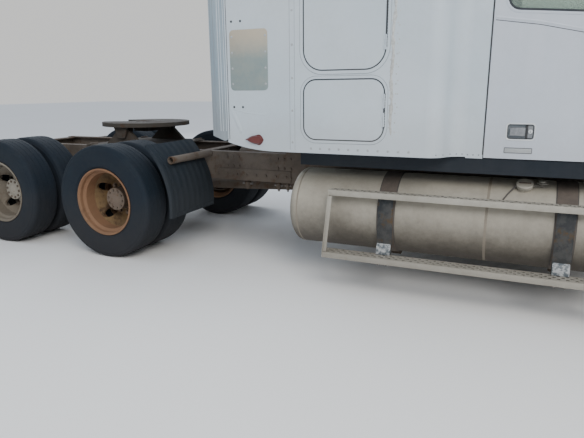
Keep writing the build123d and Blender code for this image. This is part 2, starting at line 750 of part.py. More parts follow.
knuckle += rod((FRONT_AXLE_X, plate_y + 6, AXLE_Z), (FRONT_AXLE_X, plate_y + 20, AXLE_Z), BACKPLATE_RADIUS)
knuckle += rod(
    (FRONT_AXLE_X, spine_y + 20, AXLE_Z), (FRONT_AXLE_X, FRONT_MOUNT_Y - 14, AXLE_Z), SPINDLE_RADIUS
)
knuckle += block(
    (tie_x, FRONT_AXLE_X), (KINGPIN_Y - STEER_ARM_WIDTH / 2, KINGPIN_Y + STEER_ARM_WIDTH / 2),
    (arm_z - STEER_ARM_THICKNESS / 2, arm_z + STEER_ARM_THICKNESS / 2),
)
eye_low = arm_z - STEER_ARM_THICKNESS / 2
eye_high = arm_z + STEER_ARM_THICKNESS / 2
knuckle += rod((tie_x, KINGPIN_Y, eye_low), (tie_x, KINGPIN_Y, eye_high), 30)
knuckle -= rod((tie_x, KINGPIN_Y, eye_low - 1), (tie_x, KINGPIN_Y, eye_high + 1),
               TIE_PIN_RADIUS + PIN_PLAY)
knuckle -= rod(
    (FRONT_AXLE_X, KINGPIN_Y, ear_low - EAR_THICKNESS - 1),
    (FRONT_AXLE_X, KINGPIN_Y, ear_high + EAR_THICKNESS + 1), KINGPIN_RADIUS + PIN_PLAY,
)
write("knuckle_left", knuckle)
write("knuckle_right", other_side(knuckle))

rod_z = eye_low - PIN_PLAY - 26
tie_rod = rod((tie_x, -KINGPIN_Y, rod_z), (tie_x, KINGPIN_Y, rod_z), TIE_ROD_RADIUS)
for side in (-1, 1):
    end_y = side * KINGPIN_Y
    tie_rod += rod((tie_x, end_y, rod_z - 26), (tie_x, end_y, rod_z + 26), 30)
    tie_rod += rod((tie_x, end_y, rod_z), (tie_x, end_y, eye_high), TIE_PIN_RADIUS)
write("tie_rod", tie_rod)

# Suspension: leaf packs in front, trailing arms with air bags behind
def leaf_pack(x, z_mid):
    """Bowed pack, thick in the middle, with an eye at each end."""
    ends = z_mid + SPRING_CAMBER
    low = ThreePointArc(
        (x - SPRING_HALF_SPAN, 0, ends - 8), (x, 0, z_mid - SPRING_THICKNESS),
        (x + SPRING_HALF_SPAN, 0, ends - 8),
    )
    high = ThreePointArc(
        (x - SPRING_HALF_SPAN, 0, ends + 8), (x, 0, z_mid), (x + SPRING_HALF_SPAN, 0, ends + 8)
    )
    caps = [Line(low @ 0, high @ 0), Line(low @ 1, high @ 1)]
    pack = extrude(make_face(Wire([low, high] + caps)), amount=SPRING_WIDTH, dir=(0, 1, 0))
    for end in (-1, 1):
        eye_x = x + end * SPRING_HALF_SPAN
        pack += rod((eye_x, 0, ends), (eye_x, SPRING_WIDTH, ends), 24)
        pack += block(
            (eye_x - 45, eye_x + 45), (0, SPRING_WIDTH), (ends + 10, RAIL_BOTTOM)
        )
    return Pos(0, SPRING_Y - SPRING_WIDTH / 2, 0) * pack


front_pack = leaf_pack(FRONT_AXLE_X, RAIL_BOTTOM - SPRING_CAMBER - 50)
spring_seat_low = beam_high
spring_seat_high = RAIL_BOTTOM - SPRING_CAMBER - 50 - SPRING_THICKNESS + 4
front_pack += block(
    (FRONT_AXLE_X - 60, FRONT_AXLE_X + 60),
    (SPRING_Y - SPRING_WIDTH / 2, SPRING_Y + SPRING_WIDTH / 2), (spring_seat_low, spring_seat_high),
)


def trailing_arm(x):
    """Arm from a hanger ahead of the axle, over the tube, down to the air bag behind."""
    over = AXLE_Z + AXLE_TUBE_RADIUS + TOUCH
    tail = AXLE_Z - 60
    ahead = x + HANGER_AHEAD
    behind = x - AIRBAG_SETBACK
    outline = [
        (ahead, over - 30), (ahead, over + DRIVE_ARM_THICKNESS - 30),
        (x + 120, over + DRIVE_ARM_THICKNESS), (x - 110, over + DRIVE_ARM_THICKNESS),
        (x - 200, tail + DRIVE_ARM_THICKNESS), (behind - 110, tail + DRIVE_ARM_THICKNESS),
        (behind - 110, tail), (x - 215, tail), (x - 125, over), (x + 120, over),
    ]
    low_y = SPRING_Y - SPRING_WIDTH / 2
    arm = side_prism(outline, (low_y, low_y + SPRING_WIDTH))
    arm += block(
        (ahead - 60, ahead + 30), (low_y, low_y + SPRING_WIDTH), (over - 50, RAIL_BOTTOM)
    )
    bag_low = tail + DRIVE_ARM_THICKNESS
    bag_mid = (bag_low + RAIL_BOTTOM) / 2
    bag = rod((behind, SPRING_Y, bag_low), (behind, SPRING_Y, bag_mid), AIRBAG_RADIUS)
    bag += rod((behind, SPRING_Y, bag_mid), (behind, SPRING_Y, RAIL_BOTTOM - 10), AIRBAG_RADIUS - 8)
    bag += rod((behind, SPRING_Y, RAIL_BOTTOM - 10), (behind, SPRING_Y, RAIL_BOTTOM), 80)
    return [arm, bag]


suspension = both_sides(front_pack)
for axle_x in (FORWARD_DRIVE_X, REAR_DRIVE_X):
    for piece in trailing_arm(axle_x):
        suspension.extend(both_sides(piece))
write("suspension", suspension)

# Engine and gearbox, plain blocks at their real place
engine = block(
    (CAB_FRONT_X + 60, CAB_FRONT_X + 60 + ENGINE_LENGTH), (-ENGINE_HALF_WIDTH, ENGINE_HALF_WIDTH),
    (ENGINE_BOTTOM, ENGINE_TOP),
)
gearbox = block(
    (gearbox_rear, CAB_FRONT_X + 60), (-GEARBOX_HALF_WIDTH, GEARBOX_HALF_WIDTH),
    (GEARBOX_BOTTOM, GEARBOX_TOP),
)
front_shaft -= gearbox
write("axles", beam, forward_axle, rear_axle, front_shaft, rear_shaft)
radiator = block(
    (RAIL_FRONT_X - 330, RAIL_FRONT_X - 240), (-RAIL_OUTER_Y, RAIL_OUTER_Y), (RAIL_TOP, GRILLE_TOP)
)
write("engine_block", engine + gearbox, radiator)


def hinge(edge_x, gap, face_y, out, z_mid, height, pin, barrel, leaf):
    """Hinge on an outer face: returns the fixed half with its pin, and the moving half."""
    axis_x = edge_x + gap
    axis_y = face_y + out
    third = height / 3
    low = z_mid - height / 2
    span = 4 * leaf

    def barrel_at(z0, z1):
        return rod((axis_x, axis_y, z0), (axis_x, axis_y, z1), barrel)

    fixed = barrel_at(low + third + PIN_PLAY, low + 2 * third - PIN_PLAY)
    fixed += block(
        (edge_x + PANEL_GAP, axis_x + span), (face_y, face_y + leaf),
        (low + third + PIN_PLAY, low + 2 * third - PIN_PLAY),
    )
    fixed += rod((axis_x, axis_y, low), (axis_x, axis_y, low + height), pin)
    moving = None
    for z0 in (low, low + 2 * third):
        half = barrel_at(z0, z0 + third)
        half += block((axis_x - span, edge_x), (face_y, face_y + leaf), (z0, z0 + third))
        moving = half if moving is None else moving + half
    moving -= rod((axis_x, axis_y, low - 1), (axis_x, axis_y, low + height + 1), pin + PIN_PLAY)
    return fixed, moving


# Body outline in plan, from the middle of the front round the left side to the rear
def step_curve(x0, y0, x1, y1):
    """Two tangent arcs that step inwards, as points for three-point arcs."""
    dx = (x1 - x0) / 2
    dy = (y0 - y1) / 2
    radius = (dx * dx + dy * dy) / (2 * dy)
    half = math.asin(dx / radius) / 2
    mid = ((x0 + x1) / 2, (y0 + y1) / 2)
    first = (x0 + radius * math.sin(half), y0 - radius + radius * math.cos(half))
    second = (x1 - radius * math.sin(half), y1 + radius - radius * math.cos(half))
    return first, mid, second


def body_plan(inset, z, front=True):
    """Face of the sleeper and cab in plan at height z, drawn in by inset all round."""
    rear = SLEEPER_REAR_X + inset
    wide = SLEEPER_HALF_WIDTH - inset
    narrow = CAB_HALF_WIDTH - inset
    first, mid, second = step_curve(STEP_START_X, wide, CAB_REAR_X, narrow)
    end = CAB_FRONT_X - PILLAR_SETBACK - inset
    edges = []
    for side in (1, -1):
        edges.append(Line((rear, 0, z), (rear, side * wide, z)))
        edges.append(Line((rear, side * wide, z), (STEP_START_X, side * wide, z)))
        edges.append(ThreePointArc((STEP_START_X, side * wide, z), (first[0], side * first[1], z),
                                   (mid[0], side * mid[1], z)))
        edges.append(ThreePointArc((mid[0], side * mid[1], z), (second[0], side * second[1], z),
                                   (CAB_REAR_X, side * narrow, z)))
        if front:
            edges.append(Line((CAB_REAR_X, side * narrow, z), (end, side * narrow, z)))
            corner = (CAB_FRONT_X - SCREEN_BOW - inset, side * (narrow - PILLAR_CORNER), z)
            edges.append(Line((end, side * narrow, z), corner))
            edges.append(Line(corner, (CAB_FRONT_X - inset, 0, z)))
        else:
            edges.append(Line((CAB_REAR_X, side * narrow, z), (CAB_REAR_X, 0, z)))
    return make_face(Wire(edges))


def sleeper_side(inset):
    """Sleeper in side view: the lower edge kicks up towards the rear."""
    low = SLEEPER_BOTTOM + inset
    kick_x = SLEEPER_REAR_X + SLEEPER_KICK_LENGTH
    far = SLEEPER_REAR_X - EXTENDER_LENGTH - 50
    radius = SLEEPER_KICK_RADIUS - inset

    def rise(x):
        run = kick_x - x
        return low + radius - math.sqrt(radius * radius - run * run)

    mid_x = (kick_x + far) / 2
    lower = [
        Line((CAB_REAR_X + 200, 0, low), (kick_x, 0, low)),
        ThreePointArc((kick_x, 0, low), (mid_x, 0, rise(mid_x)), (far, 0, rise(far))),
        Line((far, 0, rise(far)), (far, 0, CAB_TOP + 200)),
        Line((far, 0, CAB_TOP + 200), (CAB_REAR_X + 200, 0, CAB_TOP + 200)),
        Line((CAB_REAR_X + 200, 0, CAB_TOP + 200), (CAB_REAR_X + 200, 0, low)),
    ]
    reach = SLEEPER_HALF_WIDTH + 100
    face = make_face(Wire(lower))
    return Pos(0, -reach, 0) * extrude(face, amount=2 * reach, dir=(0, 1, 0))


def sleeper_form(inset):
    plan = extrude(body_plan(inset, 0, front=False), amount=CAB_TOP, dir=(0, 0, 1))
    return plan & sleeper_side(inset)


def hatch_outline(z0, height, corner, grow):
    """Rounded panel outline in the side plane, as a face at y = 0."""
    centre_x = SLEEPER_REAR_X + HATCH_REAR + HATCH_WIDTH / 2
    plane = Plane(origin=(centre_x, 0, z0 + height / 2), x_dir=(1, 0, 0), z_dir=(0, -1, 0))
    return plane * RectangleRounded(HATCH_WIDTH + 2 * grow, height + 2 * grow, corner + grow)


def hatch(z0, height, corner, grow, y):
    face = hatch_outline(z0, height, corner, grow)
    return Pos(0, y[0], 0) * extrude(face, amount=y[1] - y[0], dir=(0, 1, 0))


hatch_table = (
    # name, lower edge, height, corner radius
    ("hatch_lower", LOWER_HATCH_Z, LOWER_HATCH_HEIGHT, LOWER_HATCH_CORNER),
    ("hatch_upper", UPPER_HATCH_Z, UPPER_HATCH_HEIGHT, UPPER_HATCH_CORNER),
)
hollow = sleeper_form(WALL)
sleeper = sleeper_form(0) - hollow
passage = block(
    (CAB_REAR_X - WALL - 1, CAB_REAR_X + 1),
    (-(CAB_HALF_WIDTH - WALL), CAB_HALF_WIDTH - WALL), (SLEEPER_BOTTOM + WALL, CAB_TOP + 1),
)
roof_well = extrude(body_plan(WALL, CAB_TOP - 1, front=False), amount=2, dir=(0, 0, 1))
sleeper = sleeper - passage - roof_well
skin = (SLEEPER_HALF_WIDTH - WALL, SLEEPER_HALF_WIDTH)
cut_skin = (SLEEPER_HALF_WIDTH - WALL - 5, SLEEPER_HALF_WIDTH + 5)
for name, z0, height, corner in hatch_table:
    cut = hatch(z0, height, corner, PANEL_GAP, cut_skin)
    sleeper = sleeper - cut - other_side(cut)
    panel = hatch(z0, height, corner, 0, skin)
    hatch_edge = SLEEPER_REAR_X + HATCH_REAR + HATCH_WIDTH
    for hinge_z in (z0 + HATCH_HINGE_MARGIN + corner / 2, z0 + height - HATCH_HINGE_MARGIN - corner / 2):
        fixed, moving = hinge(
            hatch_edge, HATCH_HINGE_GAP, SLEEPER_HALF_WIDTH, HATCH_HINGE_OUT, hinge_z,
            HATCH_HINGE_HEIGHT, HATCH_HINGE_PIN, HATCH_HINGE_BARREL, HATCH_HINGE_LEAF,
        )
        sleeper = sleeper + fixed + other_side(fixed)
        panel = panel + moving
    write(f"{name}_left", panel)
    write(f"{name}_right", other_side(panel))
write("sleeper_shell", sleeper)

# Side extenders carry the sleeper's sides on to the rear
extender_rear = SLEEPER_REAR_X - EXTENDER_LENGTH
extender = block(
    (extender_rear, SLEEPER_REAR_X - TOUCH), (SLEEPER_HALF_WIDTH - EXTENDER_WALL, SLEEPER_HALF_WIDTH),
    (SLEEPER_BOTTOM, ROOF_TOP - 420),
) & sleeper_side(0)
upper_extender = block(
    (extender_rear, SLEEPER_REAR_X - TOUCH), (SLEEPER_HALF_WIDTH - EXTENDER_WALL, SLEEPER_HALF_WIDTH),
    (CAB_TOP, ROOF_TOP - 420),
)
extender = extender + upper_extender
outer_foot = extender.edges().filter_by(Axis.Y).sort_by(Axis.Z)[0]
extender = fillet(outer_foot, 28)
write("side_extenders", both_sides(extender))


# Cab: prism up to the belt, then a greenhouse that leans in
def cab_ring(inset, z):
    """Corner points of the cab in plan at height z."""
    lean = max(0.0, (z - BELT_Z) / (CAB_TOP - BELT_Z))
    half = CAB_HALF_WIDTH - inset - CANT_INSET * lean
    front = CAB_FRONT_X - inset - SCREEN_RAKE * lean
    rear = CAB_REAR_X
    left = [
        (rear, half, z), (front - PILLAR_SETBACK, half, z),
        (front - SCREEN_BOW, half - PILLAR_CORNER, z), (front, 0, z),
    ]
    right = [(x, -y, z) for x, y, _ in reversed(left[:-1])]
    return left + right


def cab_form(inset, low, high):
    """Cab solid between two heights, drawn in by inset on its sides and front."""
    levels = [low, BELT_Z, high] if low < BELT_Z else [low, high]
    stack = None
    for z0, z1 in zip(levels, levels[1:]):
        faces = [make_face(Polyline(*cab_ring(inset, z), close=True)) for z in (z0, z1)]
        storey = loft(faces, ruled=True)
        stack = storey if stack is None else stack + storey
    return stack


def pillar_x(z, offset):
    """Line of the door's front edge: upright to the belt, then along the raked pillar."""
    lean = max(0.0, (z - BELT_Z) / (CAB_TOP - BELT_Z))
    return DOOR_FRONT_X - SCREEN_RAKE * lean + offset


def door_outline(grow, y):
    """Door in side view, grown by a gap where it is cut out of the cab."""
    top = DOOR_TOP + grow
    return side_prism([
        (DOOR_REAR_X - grow, DOOR_BOTTOM - grow), (DOOR_FRONT_X + grow, DOOR_BOTTOM - grow),
        (DOOR_FRONT_X + grow, BELT_Z), (pillar_x(top, grow), top), (DOOR_REAR_X - grow, top),
    ], y)


def window_outline(y):
    """Door window with a rounded rear corner and a lower edge that drops forward."""
    top = DOOR_TOP - 85
    points = [
        (WINDOW_REAR_X, WINDOW_SILL_REAR), (DOOR_FRONT_X - 75, WINDOW_SILL_FRONT),
        (pillar_x(BELT_Z + 20, -70), BELT_Z + 20), (pillar_x(top, -80), top), (WINDOW_REAR_X, top),
    ]
    wire = Polyline(*[(px, y[0], pz) for px, pz in points], close=True)
    face = make_face(wire)
    rear = face.vertices().sort_by(Axis.X)[:2]
    face = fillet(rear, WINDOW_CORNER)
    return extrude(face, amount=y[1] - y[0], dir=(0, 1, 0))


def screen_outline(x):
    """Left half of the windscreen in front view."""
    low = BELT_Z + 60
    high = CAB_TOP - 95
    outer = CAB_HALF_WIDTH - PILLAR_CORNER
    return front_prism(
        [(SCREEN_POST / 2, low), (outer - 28, low), (outer - 55, high), (SCREEN_POST / 2, high)], x
    )


side_y = (CAB_HALF_WIDTH - 250, CAB_HALF_WIDTH + 50)
screen_x = (CAB_FRONT_X - SCREEN_RAKE - 250, CAB_FRONT_X + 50)
cab_inner = cab_form(WALL, CAB_BOTTOM + WALL, CAB_TOP - WALL)
cab_rear_well = block(
    (CAB_REAR_X - 1, CAB_REAR_X + 1), (-(CAB_HALF_WIDTH - WALL - CANT_INSET),
    CAB_HALF_WIDTH - WALL - CANT_INSET), (CAB_BOTTOM + WALL, CAB_TOP - WALL),
)
cab_outer = cab_form(0, CAB_BOTTOM, CAB_TOP)
cab_skin = cab_outer - cab_form(WALL, CAB_BOTTOM - 1, CAB_TOP + 1)
cab = cab_outer - cab_inner - cab_rear_well
door_cut = door_outline(PANEL_GAP, side_y)
cab = cab - door_cut - other_side(door_cut)
screen_cut = screen_outline(screen_x)
cab = cab - screen_cut - other_side(screen_cut)

glass_layer = cab_form(GLASS_SET_IN, CAB_BOTTOM, CAB_TOP) - cab_form(
    GLASS_SET_IN + GLASS_THICKNESS, CAB_BOTTOM - 1, CAB_TOP + 1
)
pane = glass_layer & screen_cut
write("windscreen", both_sides(pane))

door = cab_skin & door_outline(0, side_y)
window = window_outline(side_y)
bar_x = (WINDOW_REAR_X + DOOR_FRONT_X) / 2 + 130
vent_bar = side_prism([
    (bar_x + 60, BELT_Z - 120), (bar_x + 60 + VENT_BAR, BELT_Z - 120),
    (bar_x - 40 + VENT_BAR, DOOR_TOP), (bar_x - 40, DOOR_TOP),
], side_y)
bar_layer = cab_form(8, CAB_BOTTOM, CAB_TOP) - cab_form(34, CAB_BOTTOM - 1, CAB_TOP + 1)
door_frame = door - window
door_bar = bar_layer & vent_bar & window
door_glass = (glass_layer & window) - vent_bar
door_leaf = door_frame + door_bar
for hinge_z in DOOR_HINGES_Z:
    fixed, moving = hinge(
        DOOR_FRONT_X, DOOR_HINGE_GAP, CAB_HALF_WIDTH, DOOR_HINGE_OUT, hinge_z,
        DOOR_HINGE_HEIGHT, DOOR_HINGE_PIN, DOOR_HINGE_BARREL, DOOR_HINGE_LEAF,
    )
    cab = cab + fixed + other_side(fixed)
    door_leaf = door_leaf + moving
write("cab_shell", cab)
handle_plane = Plane(origin=(HANDLE_X, 0, HANDLE_Z), x_dir=(1, 0, 0), z_dir=(0, -1, 0))
cup_face = handle_plane * RectangleRounded(HANDLE_LENGTH, HANDLE_HEIGHT, HANDLE_CORNER)
cup = Pos(0, CAB_HALF_WIDTH - HANDLE_DEPTH, 0) * extrude(cup_face, amount=HANDLE_DEPTH + 1, dir=(0, 1, 0))
paddle_x = HANDLE_X - HANDLE_LENGTH / 2 + PADDLE_SETBACK
paddle = block(
    (paddle_x, paddle_x + PADDLE_LENGTH),
    (CAB_HALF_WIDTH - HANDLE_DEPTH - 1, CAB_HALF_WIDTH + PADDLE_PROUD),
    (HANDLE_Z - PADDLE_HEIGHT / 2, HANDLE_Z + PADDLE_HEIGHT / 2),
)
paddle = fillet(paddle.faces().sort_by(Axis.Y)[-1].edges(), PADDLE_PROUD)
door_leaf = door_leaf - cup + paddle
for side_name, turn in (("left", lambda s: s), ("right", other_side)):
    write(f"door_{side_name}", turn(door_leaf))
    write(f"door_glass_{side_name}", turn(door_glass))

# Mirror on two arms from the door's front edge
hinge_x = DOOR_FRONT_X + DOOR_HINGE_GAP
mirror_y = CAB_HALF_WIDTH + MIRROR_REACH
mirror_x = hinge_x - MIRROR_BEHIND_HINGE
mirror_low = BELT_Z + MIRROR_RISE
head = Pos(mirror_x, mirror_y, mirror_low + MIRROR_HEIGHT / 2) * Box(
    MIRROR_DEPTH, MIRROR_WIDTH, MIRROR_HEIGHT
)
head = fillet(head.edges().filter_by(Axis.X), MIRROR_CORNER)
arms = []
mirror_high = mirror_low + MIRROR_HEIGHT
for arm_height in (mirror_low - MIRROR_ARM_GAP, mirror_high + MIRROR_ARM_GAP):
    arms.append(rod(
        (mirror_x, CAB_HALF_WIDTH - CANT_INSET, arm_height), (mirror_x, mirror_y, arm_height),
        MIRROR_ARM_RADIUS,
    ))
post_reach = MIRROR_ARM_GAP + MIRROR_ARM_RADIUS
post = rod(
    (mirror_x, mirror_y, mirror_low - post_reach), (mirror_x, mirror_y, mirror_high + post_reach),
    MIRROR_ARM_RADIUS,
)
mirror_unit = head + arms[0] + arms[1] + post - cab_outer
write("mirror_left", mirror_unit)
write("mirror_right", other_side(mirror_unit))


# Raised roof over the sleeper and the cab
def roof_form(inset):
    """Roof cap as the meeting of its plan, its front view and its side view."""
    plan = extrude(body_plan(inset, CAB_TOP - inset), amount=ROOF_TOP - CAB_TOP, dir=(0, 0, 1))
    half = SLEEPER_HALF_WIDTH - inset
    high = ROOF_TOP - inset
    low = CAB_TOP - 100
    shoulder = high - ROOF_EDGE
    lean = 60
    front_edges = [
        Line((0, -half, low), (0, -half + lean, shoulder)),
        ThreePointArc(
            (0, -half + lean, shoulder),
            (0, -half + lean + 0.33 * ROOF_EDGE, shoulder + 0.72 * ROOF_EDGE),
            (0, -half + lean + ROOF_EDGE + 40, high - 14),
        ),
        ThreePointArc(
            (0, -half + lean + ROOF_EDGE + 40, high - 14), (0, 0, high),
            (0, half - lean - ROOF_EDGE - 40, high - 14),
        ),
        ThreePointArc(
            (0, half - lean - ROOF_EDGE - 40, high - 14),
            (0, half - lean - 0.33 * ROOF_EDGE, shoulder + 0.72 * ROOF_EDGE),
            (0, half - lean, shoulder),
        ),
        Line((0, half - lean, shoulder), (0, half, low)),
        Line((0, half, low), (0, -half, low)),
    ]
    span = CAB_FRONT_X - SLEEPER_REAR_X + 400
    front = Pos(SLEEPER_REAR_X - 200, 0, 0) * extrude(
        make_face(Wire(front_edges)), amount=span, dir=(1, 0, 0)
    )
    rear = SLEEPER_REAR_X + inset
    brow = CAB_FRONT_X - SCREEN_RAKE - inset
    crest = STEP_START_X - 300
    side_edges = [
        Line((rear, 0, low), (rear, 0, high - 120)),
        ThreePointArc((rear, 0, high - 120), (rear + 120, 0, high - 25), (rear + 420, 0, high)),
        Line((rear + 420, 0, high), (crest, 0, high)),
        ThreePointArc((crest, 0, high), (crest + 620, 0, high - 190), (crest + 1120, 0, high - 620)),
        Line((crest + 1120, 0, high - 620), (brow - 25, 0, CAB_TOP + 70 - inset)),
        Line((brow - 25, 0, CAB_TOP + 70 - inset), (brow, 0, low)),
        Line((brow, 0, low), (rear, 0, low)),
    ]
    reach = SLEEPER_HALF_WIDTH + 50
    side = Pos(0, -reach, 0) * extrude(
        make_face(Wire(side_edges)), amount=2 * reach, dir=(0, 1, 0)
    )
    return plan & front & side


roof_outer = roof_form(0)
roof_inner = roof_form(ROOF_WALL)
roof = roof_outer - roof_inner


# Sun visor under the brow, standing off the windscreen header
visor_z = (CAB_TOP - 42, CAB_TOP - 34)
visor = cab_form(-150, *visor_z) - cab_outer
visor_reach = CAB_HALF_WIDTH - PILLAR_CORNER
visor = visor & block(
    (CAB_FRONT_X - SCREEN_RAKE - 60, CAB_FRONT_X + 200), (-visor_reach, visor_reach), visor_z
)
write("roof_fairing", roof, visor)


# Bonnet: hood and fenders in one skin that tips forward
def hood_section(x, half, low, high, corner):
    bend = corner * (1 - math.cos(math.radians(45)))
    edges = [
        Line((x, half, high - corner), (x, half, low)),
        Line((x, half, low), (x, -half, low)),
        Line((x, -half, low), (x, -half, high - corner)),
        ThreePointArc((x, -half, high - corner), (x, -half + bend, high - bend),
                      (x, -half + corner, high)),
        Line((x, -half + corner, high), (x, half - corner, high)),
        ThreePointArc((x, half - corner, high), (x, half - bend, high - bend),
                      (x, half, high - corner)),
    ]
    return make_face(Wire(edges))


def hood_form(inset):
    """Ruled hood between four sections; the inner one runs out through the rear and below."""
    low = BONNET_BOTTOM - inset
    back = BONNET_REAR_X - inset
    nose = BONNET_FRONT_X - 45 - inset
    stations = (
        # x, half width, top
        (back, HOOD_REAR_HALF, HOOD_REAR_TOP),
        (FRONT_AXLE_X + 100, 0.55 * HOOD_REAR_HALF + 0.45 * HOOD_FRONT_HALF + 60,
         0.7 * HOOD_REAR_TOP + 0.3 * HOOD_FRONT_TOP + 20),
        (nose - 190, HOOD_FRONT_HALF + 60, HOOD_FRONT_TOP + 85),
        (nose, HOOD_FRONT_HALF, HOOD_FRONT_TOP),
    )
    faces = [
        hood_section(x, half - inset, low, high - inset, HOOD_CORNER - inset)
        for x, half, high in stations
    ]
    return loft(faces, ruled=True)


def fender_form(inset):
    """Both fenders as the meeting of a side view and a plan."""
    low = BONNET_BOTTOM - inset
    back = BONNET_REAR_X - inset
    high = FENDER_TOP - inset
    nose = BONNET_FRONT_X - 50 - inset
    tail = back + 2 * inset
    side_edges = [
        Line((back, 0, low), (back, 0, high - 210)),
        ThreePointArc((back, 0, high - 210), (tail + 95, 0, high - 62), (tail + 330, 0, high)),
        Line((tail + 330, 0, high), (nose - 480, 0, high)),
        ThreePointArc((nose - 480, 0, high), (nose - 200, 0, high - 60), (nose - 20, 0, high - 235)),
        Line((nose - 20, 0, high - 235), (nose, 0, low)),
        Line((nose, 0, low), (back, 0, low)),
    ]
    reach = FENDER_HALF_WIDTH + 50
    side = Pos(0, -reach, 0) * extrude(
        make_face(Wire(side_edges)), amount=2 * reach, dir=(0, 1, 0)
    )
    wide = FENDER_HALF_WIDTH - inset
    left = [
        (back, wide - 80), (BONNET_REAR_X + 160, wide), (nose - 360, wide),
        (nose - 130, wide - 75), (nose - 5, HOOD_FRONT_HALF + 130 - inset), (nose + 5, 0),
    ]
    right = [(x, -y) for x, y in reversed(left[:-1])]
    return side & plan_prism(left + right, (low, high + 50))


bonnet_outer = hood_form(0) + fender_form(0)
bonnet_inner = hood_form(BONNET_SKIN) + fender_form(BONNET_SKIN)
bonnet_skin = bonnet_outer - bonnet_inner
arch_reach = FENDER_HALF_WIDTH + 60
arch = rod(
    (FRONT_AXLE_X, -arch_reach, AXLE_Z), (FRONT_AXLE_X, arch_reach, AXLE_Z), ARCH_RADIUS
)
front_zone = (BONNET_FRONT_X - 260, BONNET_FRONT_X + 40)
grille_cut = block(
    front_zone, (-GRILLE_HALF_WIDTH, GRILLE_HALF_WIDTH), (GRILLE_BOTTOM, GRILLE_TOP)
)
lamp_mid = (LAMP_INNER_Y + LAMP_OUTER_Y) / 2
lamp_cuts = []
for inner_y, outer_y in ((LAMP_INNER_Y, lamp_mid - 8), (lamp_mid + 8, LAMP_OUTER_Y)):
    lamp_cuts.extend(both_sides(block(front_zone, (inner_y, outer_y), (LAMP_BOTTOM, LAMP_TOP))))
bonnet = bonnet_skin - arch - grille_cut
for cut in lamp_cuts:
    bonnet = bonnet - cut

lug_outline = [
    (BONNET_PIVOT_X - 26, BONNET_PIVOT_Z - 14), (BONNET_PIVOT_X + 22, BONNET_PIVOT_Z - 14),
    (BONNET_PIVOT_X + 22, BONNET_PIVOT_Z + 20), (BONNET_PIVOT_X - 55, BONNET_BOTTOM + 60),
    (BONNET_PIVOT_X - 72, BONNET_BOTTOM + 60), (BONNET_PIVOT_X - 72, BONNET_BOTTOM),
    (BONNET_PIVOT_X - 45, BONNET_BOTTOM),
]
pivot_y = (RAIL_INNER_Y + RAIL_OUTER_Y) / 2
for near, far in ((pivot_y - 30, pivot_y - 14), (pivot_y + 14, pivot_y + 30)):
    lug = side_prism(lug_outline, (near, far))
    lug -= rod(
        (BONNET_PIVOT_X, near - 1, BONNET_PIVOT_Z), (BONNET_PIVOT_X, far + 1, BONNET_PIVOT_Z),
        PIVOT_RADIUS + PIN_PLAY,
    )
    bonnet = bonnet + lug + other_side(lug)
write("bonnet", bonnet)
bonnet_layer = bonnet_outer - (hood_form(BONNET_SKIN - 4) + fender_form(BONNET_SKIN - 4))
write("headlamps", [bonnet_layer & cut for cut in lamp_cuts])

grille_bars = grille_cut - block(
    (front_zone[0] - 1, front_zone[1] + 1),
    (-GRILLE_HALF_WIDTH + GRILLE_FRAME, GRILLE_HALF_WIDTH - GRILLE_FRAME),
    (GRILLE_BOTTOM + GRILLE_FRAME, GRILLE_TOP - GRILLE_FRAME),
)
bar_pitch = (GRILLE_TOP - GRILLE_BOTTOM - 2 * GRILLE_FRAME) / (GRILLE_BARS + 1)
for i in range(GRILLE_BARS):
    bar_z = GRILLE_BOTTOM + GRILLE_FRAME + bar_pitch * (i + 1)
    grille_bars += block(
        front_zone, (-GRILLE_HALF_WIDTH + GRILLE_FRAME - 1, GRILLE_HALF_WIDTH - GRILLE_FRAME + 1),
        (bar_z - GRILLE_BAR_HEIGHT / 2, bar_z + GRILLE_BAR_HEIGHT / 2),
    )
write("grille", bonnet_layer & grille_bars)


# Bumper, with its brackets under the rails and the bonnet's pivots above them
def bumper_plan(inset, rear):
    half = BUMPER_HALF_WIDTH - inset
    front = FRONT_X - inset
    bend = BUMPER_CORNER - inset
    cut = bend * (1 - math.cos(math.radians(45)))
    edges = [Line((rear, half, 0), (rear, -half, 0)), Line((front, half - bend, 0), (front, bend - half, 0))]
    for side in (1, -1):
        edges.append(Line((rear, side * half, 0), (front - bend, side * half, 0)))
        edges.append(ThreePointArc(
            (front - bend, side * half, 0), (front - cut, side * (half - cut), 0),
            (front, side * (half - bend), 0),
        ))
    return make_face(Wire(edges))


bumper_rear = FRONT_X - BUMPER_RETURN
bumper_height = BUMPER_TOP - BUMPER_BOTTOM
bumper = extrude(bumper_plan(0, bumper_rear), amount=bumper_height, dir=(0, 0, 1))
bumper -= extrude(bumper_plan(BUMPER_WALL, bumper_rear - 1), amount=bumper_height, dir=(0, 0, 1))
bumper = Pos(0, 0, BUMPER_BOTTOM) * bumper
write("bumper", bumper)
bracket_y = (RAIL_INNER_Y, RAIL_OUTER_Y)
bumper_brackets = block(
    (RAIL_FRONT_X - 150, FRONT_X - BUMPER_WALL), bracket_y, (RAIL_BOTTOM - 140, BUMPER_TOP)
) + block((RAIL_FRONT_X - 150, RAIL_FRONT_X), bracket_y, (BUMPER_TOP, RAIL_BOTTOM))
pivot_bracket = block(
    (RAIL_FRONT_X - 100, BONNET_PIVOT_X + 20), (pivot_y - 7, pivot_y + 7),
    (RAIL_BOTTOM + RAIL_WALL, BONNET_PIVOT_Z + 20),
)
pivot_bracket += rod(
    (BONNET_PIVOT_X, pivot_y - 31, BONNET_PIVOT_Z), (BONNET_PIVOT_X, pivot_y + 31, BONNET_PIVOT_Z),
    PIVOT_RADIUS,
)
write("crossmembers", members, both_sides(bumper_brackets), both_sides(pivot_bracket))

